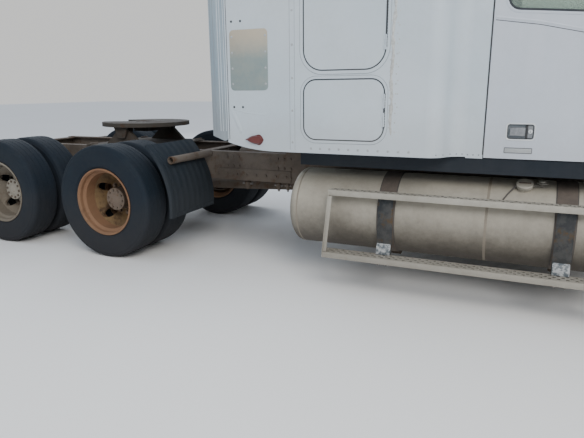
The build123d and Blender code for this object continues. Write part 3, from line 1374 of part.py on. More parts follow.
# Fuel tanks with dished ends and a filler neck
tank_end = TANK_REAR_X + TANK_LENGTH
cap_depth = TANK_DISH - TANK_KNUCKLE + 20
flat = TANK_RADIUS - TANK_KNUCKLE
bend = TANK_KNUCKLE * (1 - math.cos(math.radians(45)))
tank_edges = [Line((TANK_REAR_X, 0, 0), (tank_end, 0, 0))]
for start, way in ((TANK_REAR_X, 1), (tank_end, -1)):
    tank_edges.append(ThreePointArc(
        (start, 0, 0), (start + way * cap_depth * 0.25, 0, flat * 0.5), (start + way * cap_depth, 0, flat)
    ))
    tank_edges.append(ThreePointArc(
        (start + way * cap_depth, 0, flat),
        (start + way * (cap_depth + bend), 0, TANK_RADIUS - bend),
        (start + way * (cap_depth + TANK_KNUCKLE), 0, TANK_RADIUS),
    ))
shoulder_x = cap_depth + TANK_KNUCKLE
tank_edges.append(Line(
    (TANK_REAR_X + shoulder_x, 0, TANK_RADIUS), (tank_end - shoulder_x, 0, TANK_RADIUS)
))
tank = Pos(0, TANK_Y, TANK_Z) * revolve(make_face(Wire(tank_edges)), axis=Axis.X)
filler_x = TANK_REAR_X + FILLER_FROM_REAR
tilt = math.radians(FILLER_TILT)


def filler_point(reach):
    return (filler_x, TANK_Y + reach * math.sin(tilt), TANK_Z + reach * math.cos(tilt))


tank += rod(filler_point(TANK_RADIUS - 20), filler_point(TANK_RADIUS + 18), FILLER_RADIUS - 8)
tank += rod(filler_point(TANK_RADIUS + 18), filler_point(TANK_RADIUS + 44), FILLER_RADIUS)
write("fuel_tanks", both_sides(tank))

# Tank straps, their L brackets on the rail and the hangers of the steps
strap_inner = TANK_RADIUS + TOUCH
strap_outer = strap_inner + STRAP_THICKNESS
hanger_outer_y = TANK_Y + strap_outer + 7
straps = []
for from_rear in STRAP_FROM_REAR:
    strap_x = (TANK_REAR_X + from_rear - STRAP_WIDTH / 2, TANK_REAR_X + from_rear + STRAP_WIDTH / 2)
    tank_bore = rod((strap_x[0] - 1, TANK_Y, TANK_Z), (strap_x[1] + 1, TANK_Y, TANK_Z), strap_inner)
    band = rod((strap_x[0], TANK_Y, TANK_Z), (strap_x[1], TANK_Y, TANK_Z), strap_outer)
    cradle = rod(
        (strap_x[0], TANK_Y, TANK_Z), (strap_x[1], TANK_Y, TANK_Z), strap_outer + TANK_BRACKET
    )
    cradle &= block(strap_x, (RAIL_OUTER_Y, TANK_Y + 60), (0, TANK_Z))
    leg = block(strap_x, (RAIL_OUTER_Y, RAIL_OUTER_Y + TANK_BRACKET), (TANK_Z - 170, RAIL_TOP - 15))
    web = block(strap_x, (RAIL_OUTER_Y, TANK_Y - TANK_RADIUS + 40), (TANK_Z - 170, TANK_Z))
    hanger_plate = block(
        strap_x, (hanger_outer_y - 14, hanger_outer_y), (LOWER_STEP_Z - 12, UPPER_STEP_Z + STEP_FACE - STEP_SHEET)
    )
    foot = block(strap_x, (hanger_outer_y - 14, LOWER_STEP_OUTER - 40), (LOWER_STEP_Z - 12, LOWER_STEP_Z))
    strap = band + cradle + leg + web + hanger_plate + foot - tank_bore
    straps.extend(both_sides(strap))
write("tank_straps", straps)


# Steps: folded treads joined at their ends by leaning plates
def tread(inner, outer, low):
    x = (STEP_REAR_X, STEP_REAR_X + STEP_LENGTH)
    high = low + STEP_FACE
    plate = block(x, (inner, outer), (high - STEP_SHEET, high))
    plate += block(x, (outer - STEP_SHEET, outer), (low, high))
    return plate + block(x, (inner, inner + STEP_SHEET), (low, high))


lower_inner = hanger_outer_y + TOUCH
ladder = tread(UPPER_STEP_INNER, UPPER_STEP_OUTER, UPPER_STEP_Z)
ladder += tread(lower_inner, LOWER_STEP_OUTER, LOWER_STEP_Z)
end_outline = [
    (UPPER_STEP_INNER, UPPER_STEP_Z), (UPPER_STEP_INNER, UPPER_STEP_Z + STEP_FACE),
    (UPPER_STEP_OUTER, UPPER_STEP_Z + STEP_FACE), (LOWER_STEP_OUTER, LOWER_STEP_Z + STEP_FACE),
    (LOWER_STEP_OUTER, LOWER_STEP_Z), (LOWER_STEP_OUTER - 70, LOWER_STEP_Z),
    (lower_inner + 10, UPPER_STEP_Z),
]
for end_x in (STEP_REAR_X, STEP_REAR_X + STEP_LENGTH - STEP_SHEET):
    ladder += front_prism(end_outline, (end_x, end_x + STEP_SHEET))
write("tank_steps", both_sides(ladder))

# Dark skirts under the body
skirt_rear = TANK_REAR_X + 125
skirt = block((skirt_rear, CAB_REAR_X), (SKIRT_Y - SKIRT_WALL, SKIRT_Y), (SKIRT_BOTTOM, SLEEPER_BOTTOM))
skirt += block(
    (CAB_REAR_X, CAB_FRONT_X - PILLAR_SETBACK), (SKIRT_Y - SKIRT_WALL, SKIRT_Y),
    (SKIRT_BOTTOM, CAB_BOTTOM),
)
write("sill_skirts", both_sides(skirt))


# Quarter fenders ahead of the forward drive wheels, and flaps behind the rear ones
def arc_band(inner, outer, y):
    """Part of a ring about the forward drive axle, carried across from y[0] to y[1]."""
    low = math.radians(QUARTER_LOW_ANGLE)
    high = math.radians(QUARTER_HIGH_ANGLE)
    mid = (low + high) / 2

    def at(radius, angle):
        return (FORWARD_DRIVE_X + radius * math.cos(angle), y[0], AXLE_Z + radius * math.sin(angle))

    edges = [
        ThreePointArc(at(inner, low), at(inner, mid), at(inner, high)),
        Line(at(inner, high), at(outer, high)),
        ThreePointArc(at(outer, high), at(outer, mid), at(outer, low)),
        Line(at(outer, low), at(inner, low)),
    ]
    return extrude(make_face(Wire(edges)), amount=y[1] - y[0], dir=(0, 1, 0))


quarter = arc_band(QUARTER_RADIUS, QUARTER_RADIUS + QUARTER_WALL, (QUARTER_INNER_Y, QUARTER_OUTER_Y))
for lip_y in (QUARTER_INNER_Y, QUARTER_OUTER_Y - QUARTER_LIP_WALL):
    quarter += arc_band(QUARTER_RADIUS - QUARTER_LIP, QUARTER_RADIUS + 2, (lip_y, lip_y + QUARTER_LIP_WALL))
skin_top = QUARTER_RADIUS + QUARTER_WALL
bead_y = QUARTER_OUTER_Y - QUARTER_BEAD_WIDTH
bead = arc_band(skin_top - 1, skin_top + QUARTER_BEAD_HEIGHT, (bead_y, QUARTER_OUTER_Y))
long_edges = bead.edges().filter_by(GeomType.CIRCLE).sort_by(SortBy.LENGTH)[-2:]
quarter += fillet(long_edges, QUARTER_BEAD_HEIGHT - 1)
rib_pitch = (bead_y - QUARTER_INNER_Y) / QUARTER_RIBS
for i in range(QUARTER_RIBS):
    rib_y = QUARTER_INNER_Y + rib_pitch * (i + 0.5) - QUARTER_RIB_WIDTH / 2
    quarter += arc_band(skin_top - 1, skin_top + QUARTER_RIB_HEIGHT, (rib_y, rib_y + QUARTER_RIB_WIDTH))
hanger_rear = RAIL_REAR_X + 6
flap = block(
    (hanger_rear - FLAP_WALL, hanger_rear), (FLAP_INNER_Y, FLAP_OUTER_Y), (FLAP_BOTTOM, FLAP_TOP - 4)
)
write("fenders_and_flaps", both_sides(quarter), both_sides(flap))

# Lamps: two tail lamps a side, a teardrop on each sleeper side, five on the brow
lamps = []
tail_z = FLAP_TOP - 30
for i in range(TAIL_LAMPS):
    lamp_y = RAIL_OUTER_Y + TAIL_LAMP_RADIUS + 10 + TAIL_LAMP_PITCH * i
    tail_lamp = rod((REAR_X, lamp_y, tail_z), (hanger_rear, lamp_y, tail_z), TAIL_LAMP_RADIUS)
    lamps.extend(both_sides(tail_lamp))
tear_x = SLEEPER_REAR_X + TEAR_FROM_REAR
tear_nose = tear_x + TEAR_LENGTH
tear_round = tear_nose - TEAR_HEIGHT / 2
tear_edges = [
    ThreePointArc((tear_x, 0, TEAR_Z), (tear_x + 48, 0, TEAR_Z + 25), (tear_round, 0, TEAR_Z + TEAR_HEIGHT / 2)),
    ThreePointArc((tear_round, 0, TEAR_Z + TEAR_HEIGHT / 2), (tear_nose, 0, TEAR_Z),
                  (tear_round, 0, TEAR_Z - TEAR_HEIGHT / 2)),
    ThreePointArc((tear_round, 0, TEAR_Z - TEAR_HEIGHT / 2), (tear_x + 48, 0, TEAR_Z - 25), (tear_x, 0, TEAR_Z)),
]
tear = extrude(make_face(Wire(tear_edges)), amount=TEAR_DEPTH, dir=(0, 1, 0), taper=28)
lamps.extend(both_sides(Pos(0, SLEEPER_HALF_WIDTH, 0) * tear))
brow_lamp_z = CAB_TOP + 130
for i in range(BROW_LAMPS):
    lamp_y = (i - (BROW_LAMPS - 1) / 2) * BROW_LAMP_PITCH
    lamp = rod(
        (CAB_FRONT_X - SCREEN_RAKE - 320, lamp_y, brow_lamp_z),
        (CAB_FRONT_X - SCREEN_RAKE - 30, lamp_y, brow_lamp_z), BROW_LAMP_RADIUS,
    )
    lamps.append((lamp - roof_outer).solids().sort_by(Axis.X)[-1])
write("marker_lamps", lamps)

# Exhaust: stack and silencer, elbow under the sleeper, two stays to its rear wall
elbow_z = SLEEPER_BOTTOM - STACK_RADIUS - 14
stack = rod((STACK_X, STACK_Y, elbow_z), (STACK_X, STACK_Y, STACK_TOP), STACK_RADIUS)
stack += rod((STACK_X, STACK_Y, SILENCER_BOTTOM), (STACK_X, STACK_Y, SILENCER_TOP), SILENCER_RADIUS)
stack += Pos(STACK_X, STACK_Y, elbow_z) * Sphere(STACK_RADIUS)
stack += rod((STACK_X, STACK_Y, elbow_z), (SLEEPER_REAR_X + 330, STACK_Y, elbow_z), STACK_RADIUS)
for clamp_z in CLAMPS_Z:
    stack += rod(
        (STACK_X, STACK_Y, clamp_z), (STACK_X, STACK_Y, clamp_z + CLAMP_HEIGHT), STACK_RADIUS + CLAMP_RISE
    )
stack -= rod(
    (STACK_X, STACK_Y, STACK_TOP - STACK_BORE_DEPTH), (STACK_X, STACK_Y, STACK_TOP + 1),
    STACK_RADIUS - STACK_WALL,
)
for stay_z in (SILENCER_BOTTOM + STAY_INSET, SILENCER_TOP - STAY_INSET):
    stack += block(
        (STACK_X, SLEEPER_REAR_X), (STACK_Y - STAY_WIDTH / 2, STACK_Y + STAY_WIDTH / 2),
        (stay_z, stay_z + STAY_HEIGHT),
    )
write("exhaust_stack", stack)

# Air reservoirs between the rails
air_x = SLEEPER_REAR_X - 720
reservoir = rod((air_x, AIR_Y, AIR_Z), (air_x + AIR_LENGTH, AIR_Y, AIR_Z), AIR_RADIUS)
reservoir = fillet(reservoir.edges().filter_by(GeomType.CIRCLE), AIR_CORNER)
for saddle in AIR_SADDLES:
    reservoir += block(
        (air_x + saddle, air_x + saddle + AIR_SADDLE_WIDTH),
        (AIR_Y + AIR_RADIUS - 20, RAIL_OUTER_Y - RAIL_WALL),
        (AIR_Z - AIR_SADDLE_HEIGHT / 2, AIR_Z + AIR_SADDLE_HEIGHT / 2),
    )
write("air_tanks", both_sides(reservoir))

# Fifth wheel: base plate and pedestals on the rails, rocking top plate, closed jaws
base_z = RAIL_TOP + FIFTH_BASE_PLATE
base = block(
    (FIFTH_X - FIFTH_BASE_HALF, FIFTH_X + FIFTH_BASE_HALF),
    (-RAIL_OUTER_Y - FIFTH_BASE_OVERHANG, RAIL_OUTER_Y + FIFTH_BASE_OVERHANG), (RAIL_TOP, base_z),
)
pedestal_outline = [
    (FIFTH_X - PEDESTAL_HALF_FOOT, base_z), (FIFTH_X - PEDESTAL_HALF_TOP, FIFTH_PIVOT_Z + 45),
    (FIFTH_X + PEDESTAL_HALF_TOP, FIFTH_PIVOT_Z + 45), (FIFTH_X + PEDESTAL_HALF_FOOT, base_z),
]
for side in (-1, 1):
    mid_y = side * FIFTH_PIVOT_Y
    base += side_prism(pedestal_outline, (mid_y - PEDESTAL_WALL / 2, mid_y + PEDESTAL_WALL / 2))
    base += rod(
        (FIFTH_X, mid_y - 54, FIFTH_PIVOT_Z), (FIFTH_X, mid_y + 54, FIFTH_PIVOT_Z), FIFTH_PIVOT_RADIUS
    )
write("fifth_wheel_base", base)

plate_low = FIFTH_TOP - FIFTH_PLATE
top_plate = rod((FIFTH_X, 0, plate_low), (FIFTH_X, 0, FIFTH_TOP), FIFTH_RADIUS)
throat = plan_prism([
    (FIFTH_X, -THROAT_HALF), (FIFTH_X - 190, -THROAT_HALF), (FIFTH_X - FIFTH_RADIUS - 5, -215),
    (FIFTH_X - FIFTH_RADIUS - 5, 215), (FIFTH_X - 190, THROAT_HALF), (FIFTH_X, THROAT_HALF),
], (plate_low - 1, FIFTH_TOP + 1))
top_plate = top_plate - throat - rod(
    (FIFTH_X, 0, plate_low - 1), (FIFTH_X, 0, FIFTH_TOP + 1), THROAT_HALF
)
lug_side = [
    (FIFTH_X - 90, plate_low + 2), (FIFTH_X - 42, FIFTH_PIVOT_Z - 40),
    (FIFTH_X + 42, FIFTH_PIVOT_Z - 40), (FIFTH_X + 90, plate_low + 2),
]
for side in (-1, 1):
    for off in (-LUG_INNER, LUG_OUTER):
        low_y = side * FIFTH_PIVOT_Y + off
        lug = side_prism(lug_side, (low_y, low_y + LUG_WALL))
        lug -= rod(
            (FIFTH_X, low_y - 1, FIFTH_PIVOT_Z), (FIFTH_X, low_y + LUG_WALL + 1, FIFTH_PIVOT_Z),
            FIFTH_PIVOT_RADIUS + PIN_PLAY,
        )
        top_plate += lug
release_x = FIFTH_X + RELEASE_AHEAD
release_z = plate_low - RELEASE_RADIUS / 2
release_end = RELEASE_SPAN[1]
top_plate += rod((release_x, RELEASE_SPAN[0], release_z), (release_x, release_end, release_z), RELEASE_RADIUS)
top_plate += rod(
    (release_x - RELEASE_GRIP / 2, release_end, release_z),
    (release_x + RELEASE_GRIP / 2, release_end, release_z), RELEASE_RADIUS,
)
write("fifth_wheel_plate", top_plate)
jaw = block((FIFTH_X - 95, FIFTH_X + 95), (-100, 100), (plate_low - JAW_HEIGHT, plate_low))
jaw -= rod((FIFTH_X, 0, plate_low - JAW_HEIGHT - 1), (FIFTH_X, 0, plate_low + 1), KINGPIN_BORE)
write("fifth_wheel_jaws", jaw)

# Dashboard with the instrument hood and the steering column
def dash_points(profile):
    """Profile points as places in the side plane."""
    return [(CAB_FRONT_X - behind, DASH_BOTTOM + up) for behind, up in profile]


dash = side_prism(
    dash_points(DASH_PROFILE) + [(CAB_FRONT_X, DASH_TOP), (CAB_FRONT_X, DASH_BOTTOM)], (-DASH_HALF, DASH_HALF)
) & cab_form(WALL + TOUCH, CAB_BOTTOM, CAB_TOP)
dash += side_prism(dash_points(HOOD_PROFILE), (WHEEL_Y - HOOD_HALF, WHEEL_Y + HOOD_HALF))
lean = math.radians(WHEEL_LEAN)
axis_up = Vector(-math.sin(lean), 0, math.cos(lean))
wheel_centre = Vector(WHEEL_X, WHEEL_Y, WHEEL_Z)
column_top = wheel_centre - axis_up * COLUMN_FROM
column_foot = wheel_centre - axis_up * COLUMN_TO
dash += rod(tuple(column_top), tuple(column_foot), COLUMN_RADIUS)
write("dashboard", dash)
wheel_plane = Plane(origin=wheel_centre, x_dir=(0, 1, 0), z_dir=axis_up)
steering_wheel = Torus(WHEEL_RADIUS, WHEEL_GRIP)
steering_wheel += Pos(0, 0, -WHEEL_HUB_DROP) * Cylinder(WHEEL_HUB_RADIUS, WHEEL_HUB_HEIGHT)
for i in range(WHEEL_SPOKES):
    spoke = Pos(WHEEL_RADIUS / 2, 0, -4) * Box(WHEEL_RADIUS, SPOKE_WIDTH, SPOKE_THICKNESS)
    steering_wheel += Rot(0, 0, 360 / WHEEL_SPOKES * i) * spoke
steering_wheel = wheel_plane.location * steering_wheel
write("steering_wheel", steering_wheel)

# Seats on pedestals, and the bunk across the sleeper
floor_z = CAB_BOTTOM + WALL
seats = []
for side in (-1, 1):
    mid_y = side * SEAT_Y
    foot = block(
        (SEAT_X + PEDESTAL_FROM, SEAT_X + PEDESTAL_TO), (mid_y - PEDESTAL_HALF, mid_y + PEDESTAL_HALF),
        (floor_z, SEAT_BOTTOM),
    )
    cushion = block(
        (SEAT_X, SEAT_X + SEAT_LENGTH), (mid_y - SEAT_HALF, mid_y + SEAT_HALF),
        (SEAT_BOTTOM + TOUCH, SEAT_TOP),
    )
    cushion = fillet(cushion.edges().filter_by(Axis.Y), SEAT_CORNER)
    back_x = SEAT_X - BACK_BEHIND
    back = side_prism([
        (back_x, SEAT_TOP + TOUCH), (back_x + BACK_THICKNESS, SEAT_TOP + TOUCH),
        (back_x - BACK_LEAN + BACK_TOP_THICKNESS, BACK_TOP), (back_x - BACK_LEAN, BACK_TOP),
    ], (mid_y - BACK_HALF, mid_y + BACK_HALF))
    seats.extend([foot, cushion, back])
write("seats", seats)

bunk_x = SLEEPER_REAR_X + WALL
bunk_end = bunk_x + BUNK_DEPTH
board = block((bunk_x, bunk_end), (-BUNK_HALF, BUNK_HALF), (BUNK_TOP - BUNK_BOARD, BUNK_TOP))
board += block(
    (bunk_end - BUNK_BOARD, bunk_end), (-BUNK_HALF, BUNK_HALF), (SLEEPER_BOTTOM + WALL, BUNK_TOP)
)
mattress_half = BUNK_HALF - MATTRESS_INSET
mattress = block(
    (bunk_x + MATTRESS_INSET, bunk_end), (-mattress_half, mattress_half),
    (BUNK_TOP + TOUCH, BUNK_TOP + MATTRESS_THICKNESS),
)
write("bunk", board, mattress)
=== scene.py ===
"""Looks of a bonneted road tractor with a raised-roof sleeper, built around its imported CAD."""

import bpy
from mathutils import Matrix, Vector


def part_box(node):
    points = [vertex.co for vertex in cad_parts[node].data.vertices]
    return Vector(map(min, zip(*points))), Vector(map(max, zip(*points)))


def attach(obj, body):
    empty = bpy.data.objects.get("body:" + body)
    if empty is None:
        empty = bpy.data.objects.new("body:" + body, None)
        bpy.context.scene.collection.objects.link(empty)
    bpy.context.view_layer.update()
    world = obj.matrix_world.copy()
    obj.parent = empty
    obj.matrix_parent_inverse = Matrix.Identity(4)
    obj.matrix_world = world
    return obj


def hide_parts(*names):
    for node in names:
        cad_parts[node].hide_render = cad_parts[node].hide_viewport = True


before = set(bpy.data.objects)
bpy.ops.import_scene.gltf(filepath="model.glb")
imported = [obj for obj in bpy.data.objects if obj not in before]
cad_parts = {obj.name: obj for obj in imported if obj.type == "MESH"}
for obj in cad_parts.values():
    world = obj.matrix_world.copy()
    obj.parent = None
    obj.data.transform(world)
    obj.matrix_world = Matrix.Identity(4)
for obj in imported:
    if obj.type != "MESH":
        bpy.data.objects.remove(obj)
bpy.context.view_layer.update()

import logging
import math
from dataclasses import dataclass, field
from enum import Enum
from typing import Iterable, Sequence

import bmesh
import bpy
from mathutils import Matrix, Vector

Point = tuple[float, float, float]
Colour = tuple[float, float, float]
log = logging.getLogger("tractor")

# Places shared by several sub-assemblies, in metres
AXLES = {"front": 2.875, "forward": -2.025, "rear": -3.34}
AXLE_Z = 0.5
DUAL_Y = 0.91
FRONT_Y = 1.03
DISC_OFFSET = 0.17
SLEEPER_HALF = 1.22
CAB_HALF = 1.06
BELT_Z = 1.89
CAB_TOP = 2.7
SIDES = (("left", 1.0), ("right", -1.0))

# How far the windscreen and the door's front post lean back for each metre of height
SCREEN_LEAN = 0.225 / (CAB_TOP - BELT_Z)

# Angles in degrees above which an edge stays sharp or is bevelled, and the merging distance
SHARP_ANGLE = 32.0
BEVEL_ANGLE = 35.0
MERGE_WITHIN = 1e-06

# Turn of a unit drawn along Z that has to point out of the vehicle's left side
OUTWARD = (math.radians(-90), 0.0, 0.0)


class Pattern(Enum):
    """Ways in which a finish breaks up its base colour."""

    PLAIN = "plain"
    STREAKED = "streaked"
    BLOTCHED = "blotched"
    WOVEN = "woven"


@dataclass(frozen=True)
class Finish:
    """One surface finish: colours, gloss, and how much dirt, rust and grain it carries."""

    name: str
    base: Colour
    tint: Colour
    rough: float = 0.5
    metal: float = 0.0
    coat: float = 0.0
    shine: float = 0.5
    pattern: Pattern = Pattern.PLAIN
    pattern_scale: float = 2.0
    pattern_amount: float = 0.35
    dirt: Colour = (0.24, 0.2, 0.16)
    dirt_amount: float = 0.25
    dirt_low: float = 0.3
    dirt_high: float = 1.3
    dirt_cloud: float = 1.0
    rust: Colour = (0.25, 0.11, 0.05)
    rust_amount: float = 0.0
    rust_scale: float = 6.0
    rust_edge: float = 0.06
    grain_scale: float = 300.0
    grain_depth: float = 0.0004
    dent_scale: float = 1.5
    dent_depth: float = 0.0


class NodeGroups:
    """Shader node groups for the effects that several finishes share."""

    def __init__(self) -> None:
        """Builds each group once."""
        self.weather = self._weather()
        self.grain = self._grain()
        self.weave = self._weave()

    @staticmethod
    def _new(name: str, ins: dict[str, tuple[str, object]], outs: dict[str, str]) -> tuple:
        """Makes an empty group.

        Args:
            name: the group's name.
            ins: socket name to its kind and default.
            outs: socket name to its kind.

        Returns:
            The tree, its input node and its output node.
        """
        tree = bpy.data.node_groups.new(name, "ShaderNodeTree")
        for key, (kind, value) in ins.items():
            sock = tree.interface.new_socket(key, in_out="INPUT", socket_type=kind)
            if kind != "NodeSocketVector":
                sock.default_value = value
        for key, kind in outs.items():
            tree.interface.new_socket(key, in_out="OUTPUT", socket_type=kind)
        return (tree, tree.nodes.new("NodeGroupInput"), tree.nodes.new("NodeGroupOutput"))

    def _weather(self) -> bpy.types.NodeTree:
        """Dirt that gathers low down and in clouds, and rust in torn patches; on the fuel tank the
        darkening low down is partly painted shade.
        """
        fl = "NodeSocketFloat"
        tree, gin, gout = self._new("weather", {"Vector": ("NodeSocketVector", None),
                "Dirt Amount": (fl, 0.3), "Low": (fl, 0.3), "Cloud": (fl, 1.0), "High": (fl, 1.3),
                "Rust Amount": (fl, 0.0), "Rust Scale": (fl, 6.0), "Rust Edge": (fl, 0.06)},
            {"Dirt": fl, "Rust": fl, "Height": fl})
        net = Net(tree)
        vec = gin.outputs["Vector"]
        height = net.node("ShaderNodeSeparateXYZ", {"Vector": vec}).outputs["Z"]
        low = net.node("ShaderNodeMapRange", {"Value": height, "From Min": gin.outputs["High"],
                "From Max": gin.outputs["Low"]}).outputs["Result"]
        cloud = net.noise(vec, 3.1, 6.0, 0.62)
        fine = net.noise(vec, 27.0, 4.0, 0.7)
        mixed = net.math("ADD", net.math("MULTIPLY", cloud, 0.65), net.math("MULTIPLY", fine, 0.35))
        gather = net.math("MULTIPLY_ADD", low, 0.55, 0.18)
        lift = net.math("MULTIPLY_ADD", net.math("SUBTRACT", mixed, 0.52),
            gin.outputs["Cloud"], gather)
        dirt = net.math("MULTIPLY", net.ramp(lift, 0.0, 0.62), gin.outputs["Dirt Amount"])
        torn = net.noise(vec, gin.outputs["Rust Scale"], 8.0, 0.72)
        edge = net.math("SUBTRACT", 0.78, net.math("MULTIPLY", gin.outputs["Rust Amount"], 0.56))
        rust = net.ramp(net.math("SUBTRACT", torn, edge), -0.03, gin.outputs["Rust Edge"])
        present = net.math("GREATER_THAN", gin.outputs["Rust Amount"], 0.001)
        rust = net.math("MULTIPLY", rust, present)
        net.link(dirt, gout.inputs["Dirt"])
        net.link(rust, gout.inputs["Rust"])
        net.link(net.math("MULTIPLY", rust, net.noise(vec, 190.0, 3.0, 0.6)), gout.inputs["Height"])
        return tree

    def _grain(self) -> bpy.types.NodeTree:
        """Fine surface grain together with slow waves and dents."""
        fl = "NodeSocketFloat"
        tree, gin, gout = self._new("grain", {"Vector": ("NodeSocketVector", None),
                "Scale": (fl, 300.0), "Depth": (fl, 0.0004), "Dent Scale": (fl, 1.5),
                "Dent Depth": (fl, 0.0)}, {"Height": fl, "Value": fl})
        net = Net(tree)
        vec = gin.outputs["Vector"]
        fine = net.noise(vec, gin.outputs["Scale"], 2.0, 0.5)
        slow = net.noise(vec, gin.outputs["Dent Scale"], 2.0, 0.5)
        high = net.math("ADD", net.math("MULTIPLY", fine, gin.outputs["Depth"]),
            net.math("MULTIPLY", slow, gin.outputs["Dent Depth"]))
        net.link(high, gout.inputs["Height"])
        net.link(net.math("ADD", net.math("MULTIPLY", fine, 0.5), net.math("MULTIPLY", slow, 0.5)),
            gout.inputs["Value"])
        return tree

    def _weave(self) -> bpy.types.NodeTree:
        """Over-and-under threads of cloth on an object's own coordinates."""
        fl = "NodeSocketFloat"
        tree, gin, gout = self._new("weave", {"Vector": ("NodeSocketVector", None),
                "Pitch": (fl, 0.004)}, {"Height": fl, "Value": fl})
        net = Net(tree)
        split = net.node("ShaderNodeSeparateXYZ", {"Vector": gin.outputs["Vector"]})
        turn = net.math("DIVIDE", 2 * math.pi, gin.outputs["Pitch"])
        waves = []
        for first, second in (("X", "Y"), ("Y", "Z")):
            along = net.math("ADD", split.outputs[first],
                net.math("MULTIPLY", split.outputs[second], 0.37))
            waves.append(net.math("SINE", net.math("MULTIPLY", along, turn)))
        product = net.math("MULTIPLY", waves[0], waves[1])
        net.link(net.math("MULTIPLY_ADD", product, 0.5, 0.5), gout.inputs["Value"])
        net.link(net.math("MULTIPLY", product, 0.0005), gout.inputs["Height"])
        return tree


class Net:
    """Short ways to add and link nodes in one tree."""

    def __init__(self, tree: bpy.types.NodeTree) -> None:
        """Keeps the tree that the nodes go into."""
        self.tree = tree

    def link(self, out: object, sock: bpy.types.NodeSocket) -> None:
        """Links an output to a socket, or sets the socket to a plain value."""
        if isinstance(out, bpy.types.NodeSocket):
            self.tree.links.new(out, sock)
        else:
            sock.default_value = out

    def node(self, kind: str, ins: dict[str | int, object] | None = None,
            **props: object) -> bpy.types.Node:
        """Adds a node.

        Args:
            kind: the node's type.
            ins: input name or number to a socket or a value.
            props: properties of the node.

        Returns:
            The new node.
        """
        made = self.tree.nodes.new(kind)
        for key, value in props.items():
            setattr(made, key, value)
        for key, value in (ins or {}).items():
            self.link(value, made.inputs[key])
        return made

    def math(self, op: str, a: object, b: object = 0.0, c: object = 0.0) -> bpy.types.NodeSocket:
        """Adds a Math node and returns its value."""
        return self.node("ShaderNodeMath", {0: a, 1: b, 2: c}, operation=op).outputs[0]

    def ramp(self, value: object, low: float, high: float) -> bpy.types.NodeSocket:
        """Maps low..high to 0..1, clamped and eased."""
        made = self.node("ShaderNodeMapRange", {"Value": value, "From Min": low, "From Max": high},
            interpolation_type="SMOOTHSTEP")
        return made.outputs["Result"]

    def noise(self, vec: object, scale: object, detail: float,
            rough: float) -> bpy.types.NodeSocket:
        """Adds a noise texture and returns its factor."""
        made = self.node("ShaderNodeTexNoise", {"Vector": vec, "Scale": scale, "Detail": detail,
                "Roughness": rough})
        return made.outputs["Fac"]

    def mix(self, fac: object, a: object, b: object) -> bpy.types.NodeSocket:
        """Mixes two colours."""
        made = self.tree.nodes.new("ShaderNodeMix")
        made.data_type = "RGBA"
        self.link(fac, made.inputs[0])
        for value, sock in ((a, made.inputs[6]), (b, made.inputs[7])):
            self.link((*value, 1.0) if isinstance(value, tuple) and len(value) == 3
                else value, sock)
        return made.outputs[2]


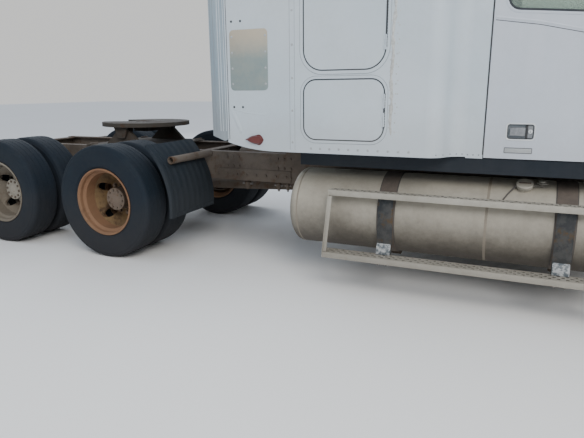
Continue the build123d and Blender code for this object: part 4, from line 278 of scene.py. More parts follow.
class Paintbox:
    """Makes each finish into a material once, and hands it out by name."""

    def __init__(self) -> None:
        """Builds the shared node groups."""
        self.groups = NodeGroups()
        self.made: dict[str, bpy.types.Material] = {}

    def get(self, finish: Finish) -> bpy.types.Material:
        """Returns the material of a finish, built on first use."""
        if finish.name not in self.made:
            self.made[finish.name] = self._build(finish)
        return self.made[finish.name]

    def _build(self, f: Finish) -> bpy.types.Material:
        """Builds one finish.

        Args:
            f: the finish.

        Returns:
            Its material.
        """
        mat = bpy.data.materials.new(f.name)
        mat.use_nodes = True
        tree = mat.node_tree
        tree.nodes.clear()
        net = Net(tree)
        out = tree.nodes.new("ShaderNodeOutputMaterial")
        bsdf = tree.nodes.new("ShaderNodeBsdfPrincipled")
        tree.links.new(bsdf.outputs["BSDF"], out.inputs["Surface"])
        vec = net.node("ShaderNodeTexCoord").outputs["Object"]
        weather = net.node("ShaderNodeGroup", node_tree=self.groups.weather)
        for key, value in (("Vector", vec), ("Dirt Amount", f.dirt_amount), ("Low", f.dirt_low),
                ("High", f.dirt_high), ("Rust Amount", f.rust_amount), ("Rust Scale", f.rust_scale),
                ("Rust Edge", f.rust_edge), ("Cloud", f.dirt_cloud)):
            net.link(value, weather.inputs[key])
        grain = net.node("ShaderNodeGroup", node_tree=self.groups.grain)
        for key, value in (("Vector", vec), ("Scale", f.grain_scale), ("Depth", f.grain_depth),
                ("Dent Scale", f.dent_scale), ("Dent Depth", f.dent_depth)):
            net.link(value, grain.inputs[key])
        height = grain.outputs["Height"]
        mask = self._pattern(net, f, vec)
        if f.pattern is Pattern.WOVEN:
            weave = net.node("ShaderNodeGroup", node_tree=self.groups.weave)
            net.link(vec, weave.inputs["Vector"])
            mask = weave.outputs["Value"]
            height = net.math("ADD", height, weave.outputs["Height"])
        colour = net.mix(net.math("MULTIPLY", mask, f.pattern_amount), f.base, f.tint)
        colour = net.mix(weather.outputs["Dirt"], colour, f.dirt)
        if f.rust_amount > 0:
            speck = net.noise(vec, 60.0, 5.0, 0.7)
            deep = (f.rust[0] * 0.4, f.rust[1] * 0.38, f.rust[2] * 0.4)
            colour = net.mix(weather.outputs["Rust"], colour, net.mix(speck, f.rust, deep))
            height = net.math("ADD", height, net.math("MULTIPLY",
                    weather.outputs["Height"], 0.0012))
            metal = net.math("MULTIPLY",
                net.math("SUBTRACT", 1.0, weather.outputs["Rust"]), f.metal)
            if f.metal > 0:
                net.link(metal, bsdf.inputs["Metallic"])
        else:
            bsdf.inputs["Metallic"].default_value = f.metal
        net.link(colour, bsdf.inputs["Base Color"])
        spread = net.math("MULTIPLY_ADD", grain.outputs["Value"], 0.22, f.rough - 0.11)
        spread = net.math("MULTIPLY_ADD", weather.outputs["Dirt"], 0.3, spread)
        worn = net.math("MULTIPLY_ADD", weather.outputs["Rust"], 0.3, spread)
        net.link(net.node("ShaderNodeClamp", {"Value": worn, "Min": 0.05, "Max": 1.0}).outputs[0],
            bsdf.inputs["Roughness"])
        bsdf.inputs["Specular IOR Level"].default_value = f.shine
        bsdf.inputs["Coat Weight"].default_value = f.coat
        bsdf.inputs["Coat Roughness"].default_value = 0.2
        bump = net.node("ShaderNodeBump", {"Strength": 1.0, "Distance": 1.0, "Height": height})
        net.link(bump.outputs["Normal"], bsdf.inputs["Normal"])
        return mat

    @staticmethod
    def _pattern(net: Net, f: Finish, vec: bpy.types.NodeSocket) -> bpy.types.NodeSocket:
        """Mask that mixes the base colour with its tint.

        Args:
            net: the material's tree.
            f: the finish.
            vec: its coordinates.

        Returns:
            A socket from 0 to 1.
        """
        if f.pattern is Pattern.STREAKED:
            stretched = net.node("ShaderNodeMapping",
                {"Vector": vec, "Scale": (9.0, 9.0, 0.55)}).outputs[0]
            return net.ramp(net.noise(stretched, f.pattern_scale, 5.0, 0.65), 0.35, 0.75)
        if f.pattern is Pattern.BLOTCHED:
            wide = net.noise(vec, f.pattern_scale, 6.0, 0.68)
            return net.ramp(wide, 0.4, 0.62)
        return net.ramp(net.noise(vec, f.pattern_scale, 3.0, 0.5), 0.3, 0.7)

    def glass(self, name: str, colour: Colour, rough: float, clear: float) -> bpy.types.Material:
        """Dusty tinted glass.

        Args:
            name: the material's name.
            colour: tint of the pane.
            rough: base roughness.
            clear: weight of the light let through.

        Returns:
            The material.
        """
        if name in self.made:
            return self.made[name]
        mat = bpy.data.materials.new(name)
        mat.use_nodes = True
        net = Net(mat.node_tree)
        bsdf = mat.node_tree.nodes["Principled BSDF"]
        vec = net.node("ShaderNodeTexCoord").outputs["Object"]
        weather = net.node("ShaderNodeGroup", node_tree=self.groups.weather)
        net.link(vec, weather.inputs["Vector"])
        net.link(0.35, weather.inputs["Dirt Amount"])
        net.link(net.mix(weather.outputs["Dirt"], colour, (0.5, 0.47, 0.42)),
            bsdf.inputs["Base Color"])
        net.link(net.math("MULTIPLY_ADD", weather.outputs["Dirt"], 0.5, rough),
            bsdf.inputs["Roughness"])
        bsdf.inputs["Transmission Weight"].default_value = clear
        bsdf.inputs["IOR"].default_value = 1.12
        self.made[name] = mat
        return mat


class Shape:
    """Mesh made from plain lists, with a few ways to add forms to it."""

    def __init__(self) -> None:
        """Starts empty."""
        self.verts: list[Vector] = []
        self.faces: list[tuple[int, ...]] = []
        self.spans: list[tuple[int, int]] = []

    def add(self, verts: Iterable[Sequence[float]], faces: Iterable[Sequence[int]]) -> "Shape":
        """Adds vertices, and faces counted from the first of them."""
        start = len(self.verts)
        self.verts.extend((Vector(v) for v in verts))
        self.faces.extend((tuple((i + start for i in f)) for f in faces))
        self.spans.append((start, len(self.verts)))
        return self

    def moved(self, matrix: Matrix) -> "Shape":
        """Turns or shifts the last form that was added."""
        start, end = self.spans[-1]
        for i in range(start, end):
            self.verts[i] = matrix @ self.verts[i]
        return self

    def loft(self, rings: Sequence[Sequence[Sequence[float]]], loop: bool = True, caps: bool = True,
            closed: bool = False) -> "Shape":
        """Skins rings of equally many points.

        Args:
            rings: the rings, in order.
            loop: whether each ring closes on itself.
            caps: whether the end rings are filled.
            closed: whether the last ring joins the first.

        Returns:
            This shape.
        """
        n = len(rings[0])
        verts = [p for ring in rings for p in ring]
        faces = []
        last = len(rings) if closed else len(rings) - 1
        for i in range(last):
            j = (i + 1) % len(rings)
            for k in range(n if loop else n - 1):
                m = (k + 1) % n
                faces.append((i * n + k, i * n + m, j * n + m, j * n + k))
        if caps and loop and (not closed):
            faces.append(tuple(range(n))[::-1])
            faces.append(tuple(range((len(rings) - 1) * n, len(rings) * n)))
        return self.add(verts, faces)

    def turned(self, profile: Sequence[tuple[float, float]], centre: Point, axis: str = "Y",
            segments: int = 64, closed: bool = True) -> "Shape":
        """Turns a profile about an axis.

        Args:
            profile: (place along the axis, radius) pairs.
            centre: where the axis starts.
            axis: X, Y or Z.
            segments: facets round the axis.
            closed: whether the profile is a closed loop.

        Returns:
            This shape.
        """
        rings = []
        for i in range(segments):
            a = 2 * math.pi * i / segments
            c, s = math.cos(a), math.sin(a)
            ring = []
            for along, r in profile:
                spot = {"X": (along, r * c, r * s), "Y": (r * s, along, r * c),
                    "Z": (r * c, r * s, along)}[axis]
                ring.append((spot[0] + centre[0], spot[1] + centre[1], spot[2] + centre[2]))
            rings.append(ring)
        return self.loft(rings, loop=closed, caps=False, closed=True)

    def tube(self, path: Sequence[Sequence[float]], radius: float, sides: int = 12,
            caps: bool = True) -> "Shape":
        """Round bar along a path, its ring kept from twisting."""
        points = [Vector(p) for p in path]
        rings = []
        side = None
        for i, p in enumerate(points):
            ahead = (points[min(i + 1, len(points) - 1)] - points[max(i - 1, 0)]).normalized()
            if side is None:
                side = ahead.orthogonal().normalized()
            side = (side - ahead * side.dot(ahead)).normalized()
            other = ahead.cross(side)
            rings.append([p + (side * math.cos(t) + other * math.sin(t)) * radius
                    for t in around(sides)])
        return self.loft(rings, caps=caps)

    def box(self, low: Sequence[float], high: Sequence[float]) -> "Shape":
        """Box between two corners."""
        (x0, y0, z0), (x1, y1, z1) = (low, high)
        return self.add([(x0, y0, z0), (x1, y0, z0), (x1, y1, z0), (x0, y1, z0), (x0, y0, z1),
                (x1, y0, z1), (x1, y1, z1), (x0, y1, z1)], [(3, 2, 1, 0), (4, 5, 6, 7),
                (0, 1, 5, 4), (1, 2, 6, 5), (2, 3, 7, 6), (3, 0, 4, 7)])

    def prism(self, outline: Sequence[tuple[float, float]], low: float, high: float,
            axis: str = "Y") -> "Shape":
        """Plane outline carried along an axis.

        Args:
            outline: points in the plane across the axis, XZ for Y, YZ for X and XY for Z.
            low: start along the axis.
            high: end along the axis.
            axis: X, Y or Z.

        Returns:
            This shape.
        """

        def spot(a: float, b: float, t: float) -> Point:
            return {"X": (t, a, b), "Y": (a, t, b), "Z": (a, b, t)}[axis]
        return self.loft([[spot(a, b, t) for a, b in outline] for t in (low, high)])

    def object(self, name: str, smooth: float = SHARP_ANGLE, bevel: float = 0.0,
            levels: int = 2) -> bpy.types.Object:
        """Makes the mesh object.

        Args:
            name: the object's name.
            smooth: edges sharper than this angle in degrees stay sharp.
            bevel: width of rounded edges in metres, or none.
            levels: segments of the bevel.

        Returns:
            The object, linked to the scene, with its modifiers applied.
        """
        mesh = bpy.data.meshes.new(name)
        mesh.from_pydata([tuple(v) for v in self.verts], [], self.faces)
        bm = bmesh.new()
        bm.from_mesh(mesh)
        bmesh.ops.remove_doubles(bm, verts=bm.verts, dist=MERGE_WITHIN)
        bmesh.ops.recalc_face_normals(bm, faces=bm.faces)
        bm.to_mesh(mesh)
        bm.free()
        obj = bpy.data.objects.new(name, mesh)
        bpy.context.scene.collection.objects.link(obj)
        if bevel:
            mod = obj.modifiers.new("bevel", "BEVEL")
            mod.width = bevel
            mod.segments = levels
            mod.limit_method = "ANGLE"
            mod.angle_limit = math.radians(BEVEL_ANGLE)
        bake(obj)
        obj.data.shade_smooth()
        obj.data.set_sharp_from_angle(angle=math.radians(smooth))
        return obj


def bake(obj: bpy.types.Object) -> None:
    """Turns an object's modifiers into its plain mesh."""
    if not obj.modifiers:
        return
    bpy.context.view_layer.update()
    graph = bpy.context.evaluated_depsgraph_get()
    made = bpy.data.meshes.new_from_object(obj.evaluated_get(graph))
    obj.modifiers.clear()
    old = obj.data
    obj.data = made
    bpy.data.meshes.remove(old)
    made.name = obj.name


def cut_with(obj: bpy.types.Object, tool: bpy.types.Object) -> None:
    """Takes a tool away from an object, whose cut faces get the tool's material."""
    mod = obj.modifiers.new("cut", "BOOLEAN")
    mod.operation = "DIFFERENCE"
    mod.solver = "EXACT"
    mod.material_mode = "TRANSFER"
    mod.object = tool
    bake(obj)
    bpy.data.objects.remove(tool)
    obj.data.shade_smooth()
    obj.data.set_sharp_from_angle(angle=math.radians(SHARP_ANGLE))


class Layout(Enum):
    """How a repeated unit is laid out."""

    LINE = "line"
    RING = "ring"


class Repeater:
    """Geometry Nodes trees that repeat a unit mesh along a line or round a ring."""

    def __init__(self) -> None:
        """Builds one tree for each layout."""
        self.trees = {layout: self._build(layout) for layout in Layout}

    @staticmethod
    def _build(layout: Layout) -> bpy.types.NodeTree:
        """Builds the tree of one layout, with named inputs for its sizes.

        Args:
            layout: line or ring.

        Returns:
            The tree.
        """
        tree = bpy.data.node_groups.new("repeat_" + layout.value, "GeometryNodeTree")
        face = tree.interface
        face.new_socket("Geometry", in_out="INPUT", socket_type="NodeSocketGeometry")
        for name, kind in (("Unit", "NodeSocketObject"), ("Count", "NodeSocketInt"),
                ("Step", "NodeSocketVector"), ("Radius", "NodeSocketFloat"),
                ("Start", "NodeSocketVector"), ("Turn", "NodeSocketVector"),
                ("Jitter", "NodeSocketFloat"), ("Finish", "NodeSocketMaterial")):
            face.new_socket(name, in_out="INPUT", socket_type=kind)
        face.new_socket("Geometry", in_out="OUTPUT", socket_type="NodeSocketGeometry")
        net = Net(tree)
        gin = tree.nodes.new("NodeGroupInput")
        gout = tree.nodes.new("NodeGroupOutput")
        get = gin.outputs
        if layout is Layout.RING:
            points = net.node("GeometryNodeMeshCircle", {"Vertices": get["Count"],
                    "Radius": get["Radius"]}).outputs["Mesh"]
        else:
            points = net.node("GeometryNodeMeshLine",
                {"Count": get["Count"], "Offset": get["Step"]}, mode="OFFSET").outputs["Mesh"]
        unit = net.node("GeometryNodeObjectInfo", {"Object": get["Unit"]}).outputs["Geometry"]
        spin = None
        if layout is Layout.RING:
            index = net.node("GeometryNodeInputIndex").outputs[0]
            share = net.node("ShaderNodeMath", {0: index, 1: get["Count"]},
                operation="DIVIDE").outputs[0]
            angle = net.node("ShaderNodeMath", {0: share, 1: 2 * math.pi},
                operation="MULTIPLY").outputs[0]
            spin = net.node("ShaderNodeCombineXYZ", {"Z": angle}).outputs[0]
        rnd = net.node("FunctionNodeRandomValue", {"Seed": 7}, data_type="FLOAT_VECTOR")
        swing = net.node("ShaderNodeVectorMath", {0: rnd.outputs[0], 1: (0.5, 0.5, 0.5)},
            operation="SUBTRACT")
        sway = net.node("ShaderNodeVectorMath", {0: swing.outputs[0], "Scale": get["Jitter"]},
            operation="SCALE")
        total_turn = sway.outputs[0]
        if spin is not None:
            total_turn = net.node("ShaderNodeVectorMath", {0: spin, 1: total_turn},
                operation="ADD").outputs[0]
        whole: object = (0.0, 0.0, 0.0)
        if layout is Layout.RING:
            whole = get["Turn"]
        else:
            total_turn = net.node("ShaderNodeVectorMath", {0: get["Turn"], 1: total_turn},
                operation="ADD").outputs[0]
        placed = net.node("GeometryNodeInstanceOnPoints", {"Points": points, "Instance": unit,
                "Rotation": total_turn}).outputs["Instances"]
        real = net.node("GeometryNodeRealizeInstances", {"Geometry": placed}).outputs[0]
        turned = net.node("GeometryNodeTransform", {"Geometry": real, "Translation": get["Start"],
                "Rotation": whole}).outputs[0]
        done = net.node("GeometryNodeSetMaterial", {"Geometry": turned, "Material": get["Finish"]})
        net.link(done.outputs[0], gout.inputs[0])
        return tree

    def run(self, layout: Layout, unit: Shape, finish: bpy.types.Material,
            **values: object) -> bpy.types.Object:
        """Repeats a unit and bakes the result.

        Args:
            layout: line or ring.
            unit: the shape to repeat, drawn round the origin.
            finish: material of the copies.
            values: the tree's inputs by name.

        Returns:
            A plain mesh object.
        """
        seed = unit.object("unit")
        host = bpy.data.objects.new("repeat", bpy.data.meshes.new("repeat"))
        bpy.context.scene.collection.objects.link(host)
        mod = host.modifiers.new("repeat", "NODES")
        mod.node_group = self.trees[layout]
        keys = {item.name: item.identifier for item in self.trees[layout].interface.items_tree
            if item.in_out == "INPUT"}
        mod[keys["Unit"]] = seed
        mod[keys["Finish"]] = finish
        for name, value in values.items():
            mod[keys[name]] = value
        bake(host)
        bpy.data.objects.remove(seed)
        return host


def joined(name: str, parts: Sequence[bpy.types.Object]) -> bpy.types.Object:
    """Joins objects into one, which keeps each part's materials."""
    first = parts[0]
    with bpy.context.temp_override(active_object=first, object=first, selected_objects=list(parts),
            selected_editable_objects=list(parts)):
        if len(parts) > 1:
            bpy.ops.object.join()
    first.name = name
    first.data.name = name
    return first


def around(count: int) -> list[float]:
    """Angles in radians of even steps round a circle."""
    return [2 * math.pi * k / count for k in range(count)]


def rounded(x0: float, x1: float, z0: float, z1: float, r: float | Sequence[float],
        steps: int = 8) -> list[tuple[float, float]]:
    """Corner-rounded rectangle as points, from the low left corner anticlockwise.

    Args:
        x0: left edge.
        x1: right edge.
        z0: lower edge.
        z1: upper edge.
        r: corner radius, or four of them.
        steps: arc steps for each corner.

    Returns:
        The outline's points.
    """
    radii = [r] * 4 if isinstance(r, (int, float)) else list(r)
    corners = ((x0, z0, 180), (x1, z0, 270), (x1, z1, 0), (x0, z1, 90))
    points = []
    for (cx, cz, start), rad in zip(corners, radii):
        mx = cx + rad if cx == x0 else cx - rad
        mz = cz + rad if cz == z0 else cz - rad
        for k in range(steps + 1):
            a = math.radians(start + 90 * k / steps)
            points.append((mx + rad * math.cos(a), mz + rad * math.sin(a)))
    return points


def offset_loop(loop: Sequence[tuple[float, float]], out: float) -> list[tuple[float, float]]:
    """Outline moved outwards by a distance, along the mean normal of each point."""
    n = len(loop)
    moved = []
    for i, (x, z) in enumerate(loop):
        (ax, az), (bx, bz) = (loop[i - 1], loop[(i + 1) % n])
        dx, dz = bx - ax, bz - az
        size = math.hypot(dx, dz) or 1.0
        moved.append((x + dz / size * out, z - dx / size * out))
    return moved


def ring_strip(loop: Sequence[tuple[float, float]], section: Sequence[tuple[float, float]],
        y: float) -> Shape:
    """Moulding that follows an outline on a side face.

    Args:
        loop: the outline in X and Z.
        section: (outwards from the outline, outwards from the face) pairs, closed.
        y: the face, with its sign.

    Returns:
        The moulding.
    """
    way = 1 if y > 0 else -1
    tracks = []
    for out, off in section:
        tracks.append([(x, y + way * off, z) for x, z in offset_loop(loop, out)])
    rings = [list(ring) for ring in zip(*tracks)]
    return Shape().loft(rings, caps=False, closed=True)


def hexagon(across: float, low: float, high: float) -> Shape:
    """Nut or bolt head with a slight crown, along Z."""
    corner = 0.577
    rings = []
    for z, scale in ((low, 1.0), (high - 0.12 * (high - low), 1.0), (high, 0.82)):
        r = across * corner * scale
        rings.append([(r * math.cos(math.radians(60 * k)), r * math.sin(math.radians(60 * k)), z)
                for k in range(6)])
    return Shape().loft(rings)


def dome(radius: float, height: float, sides: int = 12) -> Shape:
    """Round rivet head, along Z."""
    rings = []
    for k in range(4):
        a = math.radians(90 * k / 3.4)
        r = radius * math.cos(a)
        rings.append([(r * math.cos(t), r * math.sin(t), height * math.sin(a))
                for t in around(sides)])
    return Shape().loft(rings)


def word_of(side: float) -> str:
    """Name of a side."""
    return "left" if side > 0 else "right"


def to_side(objects: Iterable[bpy.types.Object], side: float) -> None:
    """Mirrors finished meshes to the right side where side is -1."""
    if side > 0:
        return
    for obj in objects:
        obj.data.transform(Matrix.Diagonal((1, -1, 1, 1)))
        obj.data.flip_normals()


def sided(name: str, parts: Sequence[bpy.types.Object], side: float) -> bpy.types.Object:
    """Joins parts drawn for the left side, and mirrors the piece for the right one."""
    piece = joined(name, parts)
    to_side([piece], side)
    return piece

PAINT = Finish("cab_paint_worn", (0.475, 0.55, 0.61), (0.54, 0.6, 0.65), rough=0.42, coat=0.15,
    pattern_scale=0.9, pattern_amount=0.8, dirt=(0.33, 0.33, 0.32), dirt_amount=0.32, dirt_low=0.95,
    dirt_high=1.35, grain_scale=420.0, grain_depth=5e-05, dent_scale=1.1, dent_depth=0.012)
ROOF_PAINT = Finish("roof_paint_worn", (0.475, 0.54, 0.6), (0.54, 0.595, 0.64), rough=0.45,
    coat=0.1, pattern_scale=0.9, pattern_amount=0.8, dirt=(0.33, 0.33, 0.32), dirt_low=2.6,
    dirt_high=3.2, grain_scale=420.0, grain_depth=5e-05)
DOOR_PAINT = Finish("door_paint_worn", (0.475, 0.52, 0.59), (0.53, 0.57, 0.63), rough=0.42,
    coat=0.15, pattern=Pattern.STREAKED, pattern_scale=0.8, pattern_amount=0.5,
    dirt=(0.33, 0.33, 0.33), dirt_amount=0.3, dirt_low=0.95, grain_scale=420.0, grain_depth=5e-05,
    dent_scale=1.0, dent_depth=0.008)
EXTENDER_PAINT = Finish("extender_paint", (0.2, 0.27, 0.33), (0.36, 0.44, 0.5),
    pattern=Pattern.STREAKED, pattern_scale=1.2, dirt_amount=0.35, dirt_low=1.0, dirt_high=1.6,
    pattern_amount=0.8)
SEAM = Finish("dark_seam", (0.028, 0.034, 0.042), (0.05, 0.055, 0.06), rough=0.75,
    dirt_amount=0.3, shine=0.3)
SHADE = Finish("paint_in_shade", (0.21, 0.245, 0.275), (0.28, 0.31, 0.34), rough=0.6, shine=0.3)
PATCH = Finish("patch_plate", (0.175, 0.25, 0.265), (0.22, 0.29, 0.29), rough=0.38, metal=0.1,
    pattern=Pattern.BLOTCHED, pattern_scale=2.2, pattern_amount=0.5, dirt_amount=0.9, dirt_low=1.9,
    dirt_high=1.66, dent_scale=5.0, dent_depth=0.01, dirt=(0.46, 0.4, 0.31), dirt_cloud=0.6)
FILLER = Finish("seam_filler", (0.56, 0.59, 0.59), (0.34, 0.36, 0.36), rough=0.6,
    pattern=Pattern.BLOTCHED, pattern_scale=45.0, pattern_amount=0.7, dirt_amount=0.35,
    dirt_low=1.0, dirt_high=2.0, grain_scale=160.0, grain_depth=0.0014)
BEZEL = Finish("handle_bezel_bright", (0.62, 0.65, 0.67), (0.52, 0.55, 0.57), rough=0.32, metal=0.2,
    pattern_scale=20.0, dirt_amount=0.1)
HANDLE = Finish("handle_die_cast", (0.19, 0.205, 0.225), (0.29, 0.305, 0.32), rough=0.42, metal=0.3,
    pattern=Pattern.BLOTCHED, pattern_scale=60.0, pattern_amount=0.6, dirt_amount=0.2)
RIVET = Finish("rivet_heads", (0.4, 0.445, 0.475), (0.3, 0.33, 0.36), rough=0.45,
    pattern_scale=30.0, dirt_amount=0.3, dirt_low=0.9, dirt_high=2.0)
BLACK = Finish("dusty_black_plastic", (0.03, 0.038, 0.05), (0.055, 0.062, 0.075), rough=0.6,
    pattern=Pattern.STREAKED, pattern_scale=1.5, dirt=(0.16, 0.14, 0.12), dirt_amount=0.42,
    dirt_low=0.1, dirt_high=1.2, grain_scale=520.0, grain_depth=0.0002, shine=0.35)
FENDER = Finish("fender_plastic", (0.009, 0.016, 0.024), (0.016, 0.024, 0.033), rough=0.62,
    pattern=Pattern.STREAKED, pattern_scale=2.2, pattern_amount=0.6, dirt=(0.1, 0.088, 0.074),
    dirt_amount=0.16, dirt_low=0.2, dirt_high=1.0, shine=0.25)
SKIRT = Finish("skirt_plastic", (0.008, 0.013, 0.02), (0.014, 0.02, 0.028), rough=0.55,
    pattern=Pattern.STREAKED, pattern_scale=1.2, pattern_amount=0.5, dirt=(0.09, 0.085, 0.08),
    dirt_amount=0.15, dirt_low=0.7, dirt_high=1.1, shine=0.2)
# Fuel tank alloy with dirt clouds; the near-black colour that gathers below 0.66 m is partly grime
# and partly painted shade under the upper step and the tank's belly.
TANK = Finish("tank_alloy_dirty", (0.4, 0.37, 0.305), (0.33, 0.3, 0.245), metal=0.1,
    pattern=Pattern.STREAKED, pattern_scale=0.75, pattern_amount=0.6, dirt=(0.062, 0.052, 0.042),
    dirt_amount=0.95, dirt_low=0.2, dirt_high=0.66, dirt_cloud=0.45, grain_scale=150.0,
    grain_depth=0.0003, dent_scale=3.0, dent_depth=0.003)
WELD = Finish("weld_burnt", (0.215, 0.19, 0.15), (0.14, 0.122, 0.095), rough=0.55, metal=0.1,
    pattern_scale=20.0, dirt_amount=0.4)
STEP = Finish("step_alloy", (0.39, 0.37, 0.32), (0.3, 0.28, 0.235), metal=0.15,
    pattern=Pattern.BLOTCHED, pattern_scale=5.0, pattern_amount=0.5, dirt=(0.15, 0.13, 0.105),
    dirt_amount=0.4, dirt_low=0.1, dirt_high=0.8, grain_scale=240.0, grain_depth=0.0003)
STRAP = Finish("strap_flaking", (0.01, 0.016, 0.022), (0.07, 0.072, 0.07), rough=0.62,
    pattern=Pattern.BLOTCHED, pattern_scale=15.0, pattern_amount=0.42, dirt_amount=0.12,
    dirt_low=0.2, dirt_high=0.9, rust=(0.12, 0.08, 0.042), rust_amount=0.42, rust_scale=8.0,
    rust_edge=0.1, grain_scale=130.0, grain_depth=0.001, shine=0.3)
STRAP_FOOT = Finish("strap_foot_flaked", (0.04, 0.07, 0.095), (0.5, 0.52, 0.53), rough=0.6,
    pattern=Pattern.BLOTCHED, pattern_scale=38.0, pattern_amount=0.85, dirt_amount=0.2,
    grain_scale=150.0, grain_depth=0.001)
STRAP_TOP = Finish("strap_rusted", (0.04, 0.031, 0.028), (0.065, 0.049, 0.042), rough=0.8,
    pattern=Pattern.BLOTCHED, pattern_scale=20.0, pattern_amount=0.7, dirt_amount=0.3,
    grain_scale=170.0, grain_depth=0.0012)
FRAME = Finish("frame_rust", (0.125, 0.105, 0.088), (0.062, 0.052, 0.046), rough=0.8,
    pattern=Pattern.BLOTCHED, pattern_scale=4.0, pattern_amount=0.8, dirt=(0.16, 0.125, 0.095),
    dirt_amount=0.5, dirt_low=0.4, dirt_high=1.0, rust=(0.135, 0.078, 0.046), rust_amount=0.42,
    rust_scale=7.0, rust_edge=0.16, grain_scale=110.0, grain_depth=0.0011, shine=0.3)
RUSTY_WHEEL = Finish("wheel_rust", (0.2, 0.098, 0.047), (0.145, 0.07, 0.036), rough=0.72,
    pattern=Pattern.BLOTCHED, pattern_scale=4.0, pattern_amount=0.6, dirt=(0.23, 0.15, 0.09),
    dirt_amount=0.3, dirt_low=0.2, dirt_high=0.8, rust=(0.12, 0.062, 0.034), rust_amount=0.34,
    rust_scale=7.0, rust_edge=0.2, grain_scale=140.0, grain_depth=0.0008)
WHEEL_DISC = Finish("disc_rust", (0.15, 0.088, 0.033), (0.09, 0.054, 0.025), rough=0.72,
    pattern=Pattern.BLOTCHED, pattern_scale=9.0, pattern_amount=0.7, dirt=(0.23, 0.16, 0.08),
    dirt_low=0.2, dirt_high=0.7, rust=(0.085, 0.05, 0.03), rust_amount=0.5, rust_scale=12.0,
    rust_edge=0.16, grain_scale=130.0, grain_depth=0.001)
RUSTY_HUB = Finish("hub_rust", (0.115, 0.078, 0.055), (0.07, 0.05, 0.038), rough=0.8,
    pattern=Pattern.BLOTCHED, pattern_scale=20.0, dirt_amount=0.35, rust=(0.16, 0.095, 0.052),
    rust_amount=0.42, rust_scale=24.0, rust_edge=0.14, grain_depth=0.001, grain_scale=160.0)
GREY_WHEEL = Finish("wheel_grey", (0.22, 0.195, 0.155), (0.15, 0.13, 0.1), rough=0.65,
    pattern=Pattern.BLOTCHED, pattern_scale=6.0, pattern_amount=0.7, dirt=(0.13, 0.105, 0.078),
    dirt_amount=0.55, dirt_low=0.2, dirt_high=0.8, rust=(0.13, 0.072, 0.04), rust_amount=0.38,
    rust_scale=10.0, rust_edge=0.14, grain_scale=150.0, grain_depth=0.0007)
PALE_HUB = Finish("hub_pale", (0.36, 0.345, 0.29), (0.24, 0.225, 0.185), rough=0.6,
    pattern=Pattern.BLOTCHED, pattern_scale=14.0, dirt_amount=0.45, rust_amount=0.25,
    rust_scale=20.0)
TYRE = Finish("tyre_worn", (0.007, 0.014, 0.023), (0.012, 0.02, 0.03), rough=0.78,
    pattern=Pattern.BLOTCHED, pattern_scale=3.0, pattern_amount=0.5, dirt=(0.055, 0.046, 0.04),
    dirt_amount=0.4, dirt_low=-0.1, dirt_high=0.6, dirt_cloud=0.7, grain_scale=260.0, shine=0.25)
BRIGHT = Finish("dulled_bright_metal", (0.6, 0.6, 0.6), (0.48, 0.48, 0.47), rough=0.22, metal=1.0,
    pattern=Pattern.BLOTCHED, pattern_scale=4.0, dirt_amount=0.4, dirt_low=0.2, dirt_high=1.0,
    rust_amount=0.16, rust_scale=16.0, grain_depth=3e-05)
STEEL = Finish("bare_steel", (0.27, 0.27, 0.27), (0.18, 0.17, 0.16), rough=0.42, metal=0.8,
    pattern=Pattern.BLOTCHED, pattern_scale=18.0, dirt_amount=0.4)
GREASE = Finish("greasy_cast_steel", (0.038, 0.034, 0.03), (0.018, 0.016, 0.014), rough=0.78,
    pattern=Pattern.BLOTCHED, pattern_scale=5.0, dirt=(0.085, 0.068, 0.052), dirt_amount=0.45,
    dirt_low=0.8, rust=(0.095, 0.055, 0.033), rust_amount=0.4, rust_edge=0.14, grain_scale=120.0,
    grain_depth=0.0008)
IRON = Finish("engine_iron_oily", (0.095, 0.092, 0.088), (0.06, 0.056, 0.052), rough=0.6, metal=0.2,
    pattern=Pattern.BLOTCHED, pattern_scale=4.0, dirt_amount=0.6, dirt_low=0.5, dirt_high=1.4,
    grain_scale=90.0, grain_depth=0.001)
TRIM = Finish("dash_trim", (0.075, 0.077, 0.082), (0.1, 0.1, 0.105), rough=0.7, dirt_low=1.0,
    dirt_high=1.8, grain_scale=650.0, grain_depth=0.0003)
CLOTH = Finish("seat_cloth_worn", (0.105, 0.112, 0.13), (0.16, 0.168, 0.185), rough=0.9,
    pattern=Pattern.WOVEN, pattern_amount=0.7, dirt_amount=0.3, dirt_low=1.1, dirt_high=2.0,
    grain_scale=500.0)
MATTRESS = Finish("bunk_cloth", (0.24, 0.235, 0.22), (0.31, 0.3, 0.28), rough=0.92,
    pattern=Pattern.WOVEN, pattern_amount=0.6, dirt_amount=0.3, dirt_low=1.2, dirt_high=1.8,
    grain_scale=480.0, grain_depth=0.0005)
LAMP_RED = Finish("lamp_red_faded", (0.105, 0.011, 0.01), (0.06, 0.008, 0.008), rough=0.4, coat=0.1,
    pattern_scale=24.0, dirt_amount=0.08, dirt_low=0.5, dirt_high=1.4, grain_scale=900.0,
    grain_depth=0.0002)
LAMP_AMBER = Finish("lamp_amber_faded", (0.55, 0.23, 0.05), (0.62, 0.31, 0.1), rough=0.28, coat=0.5,
    pattern_scale=24.0, dirt_low=2.4, dirt_high=3.0)
LENS = Finish("lamp_glass_ribs", (0.55, 0.57, 0.58), (0.62, 0.63, 0.63), rough=0.15, coat=0.6,
    dirt_low=0.2, dirt_high=1.2)
MIRROR = Finish("mirror_silver", (0.8, 0.82, 0.83), (0.74, 0.76, 0.77), rough=0.16, metal=1.0,
    dirt_amount=0.12, grain_depth=0.0)
GREASE_DARK = Finish("old_grease", (0.018, 0.015, 0.012), (0.035, 0.028, 0.02), rough=0.3,
    dirt_amount=0.2)
GROUND = Finish("pale_floor", (0.86, 0.855, 0.84), (0.83, 0.825, 0.81), rough=0.9,
    pattern_scale=0.4, dirt_amount=0.0, grain_scale=40.0, grain_depth=0.0)

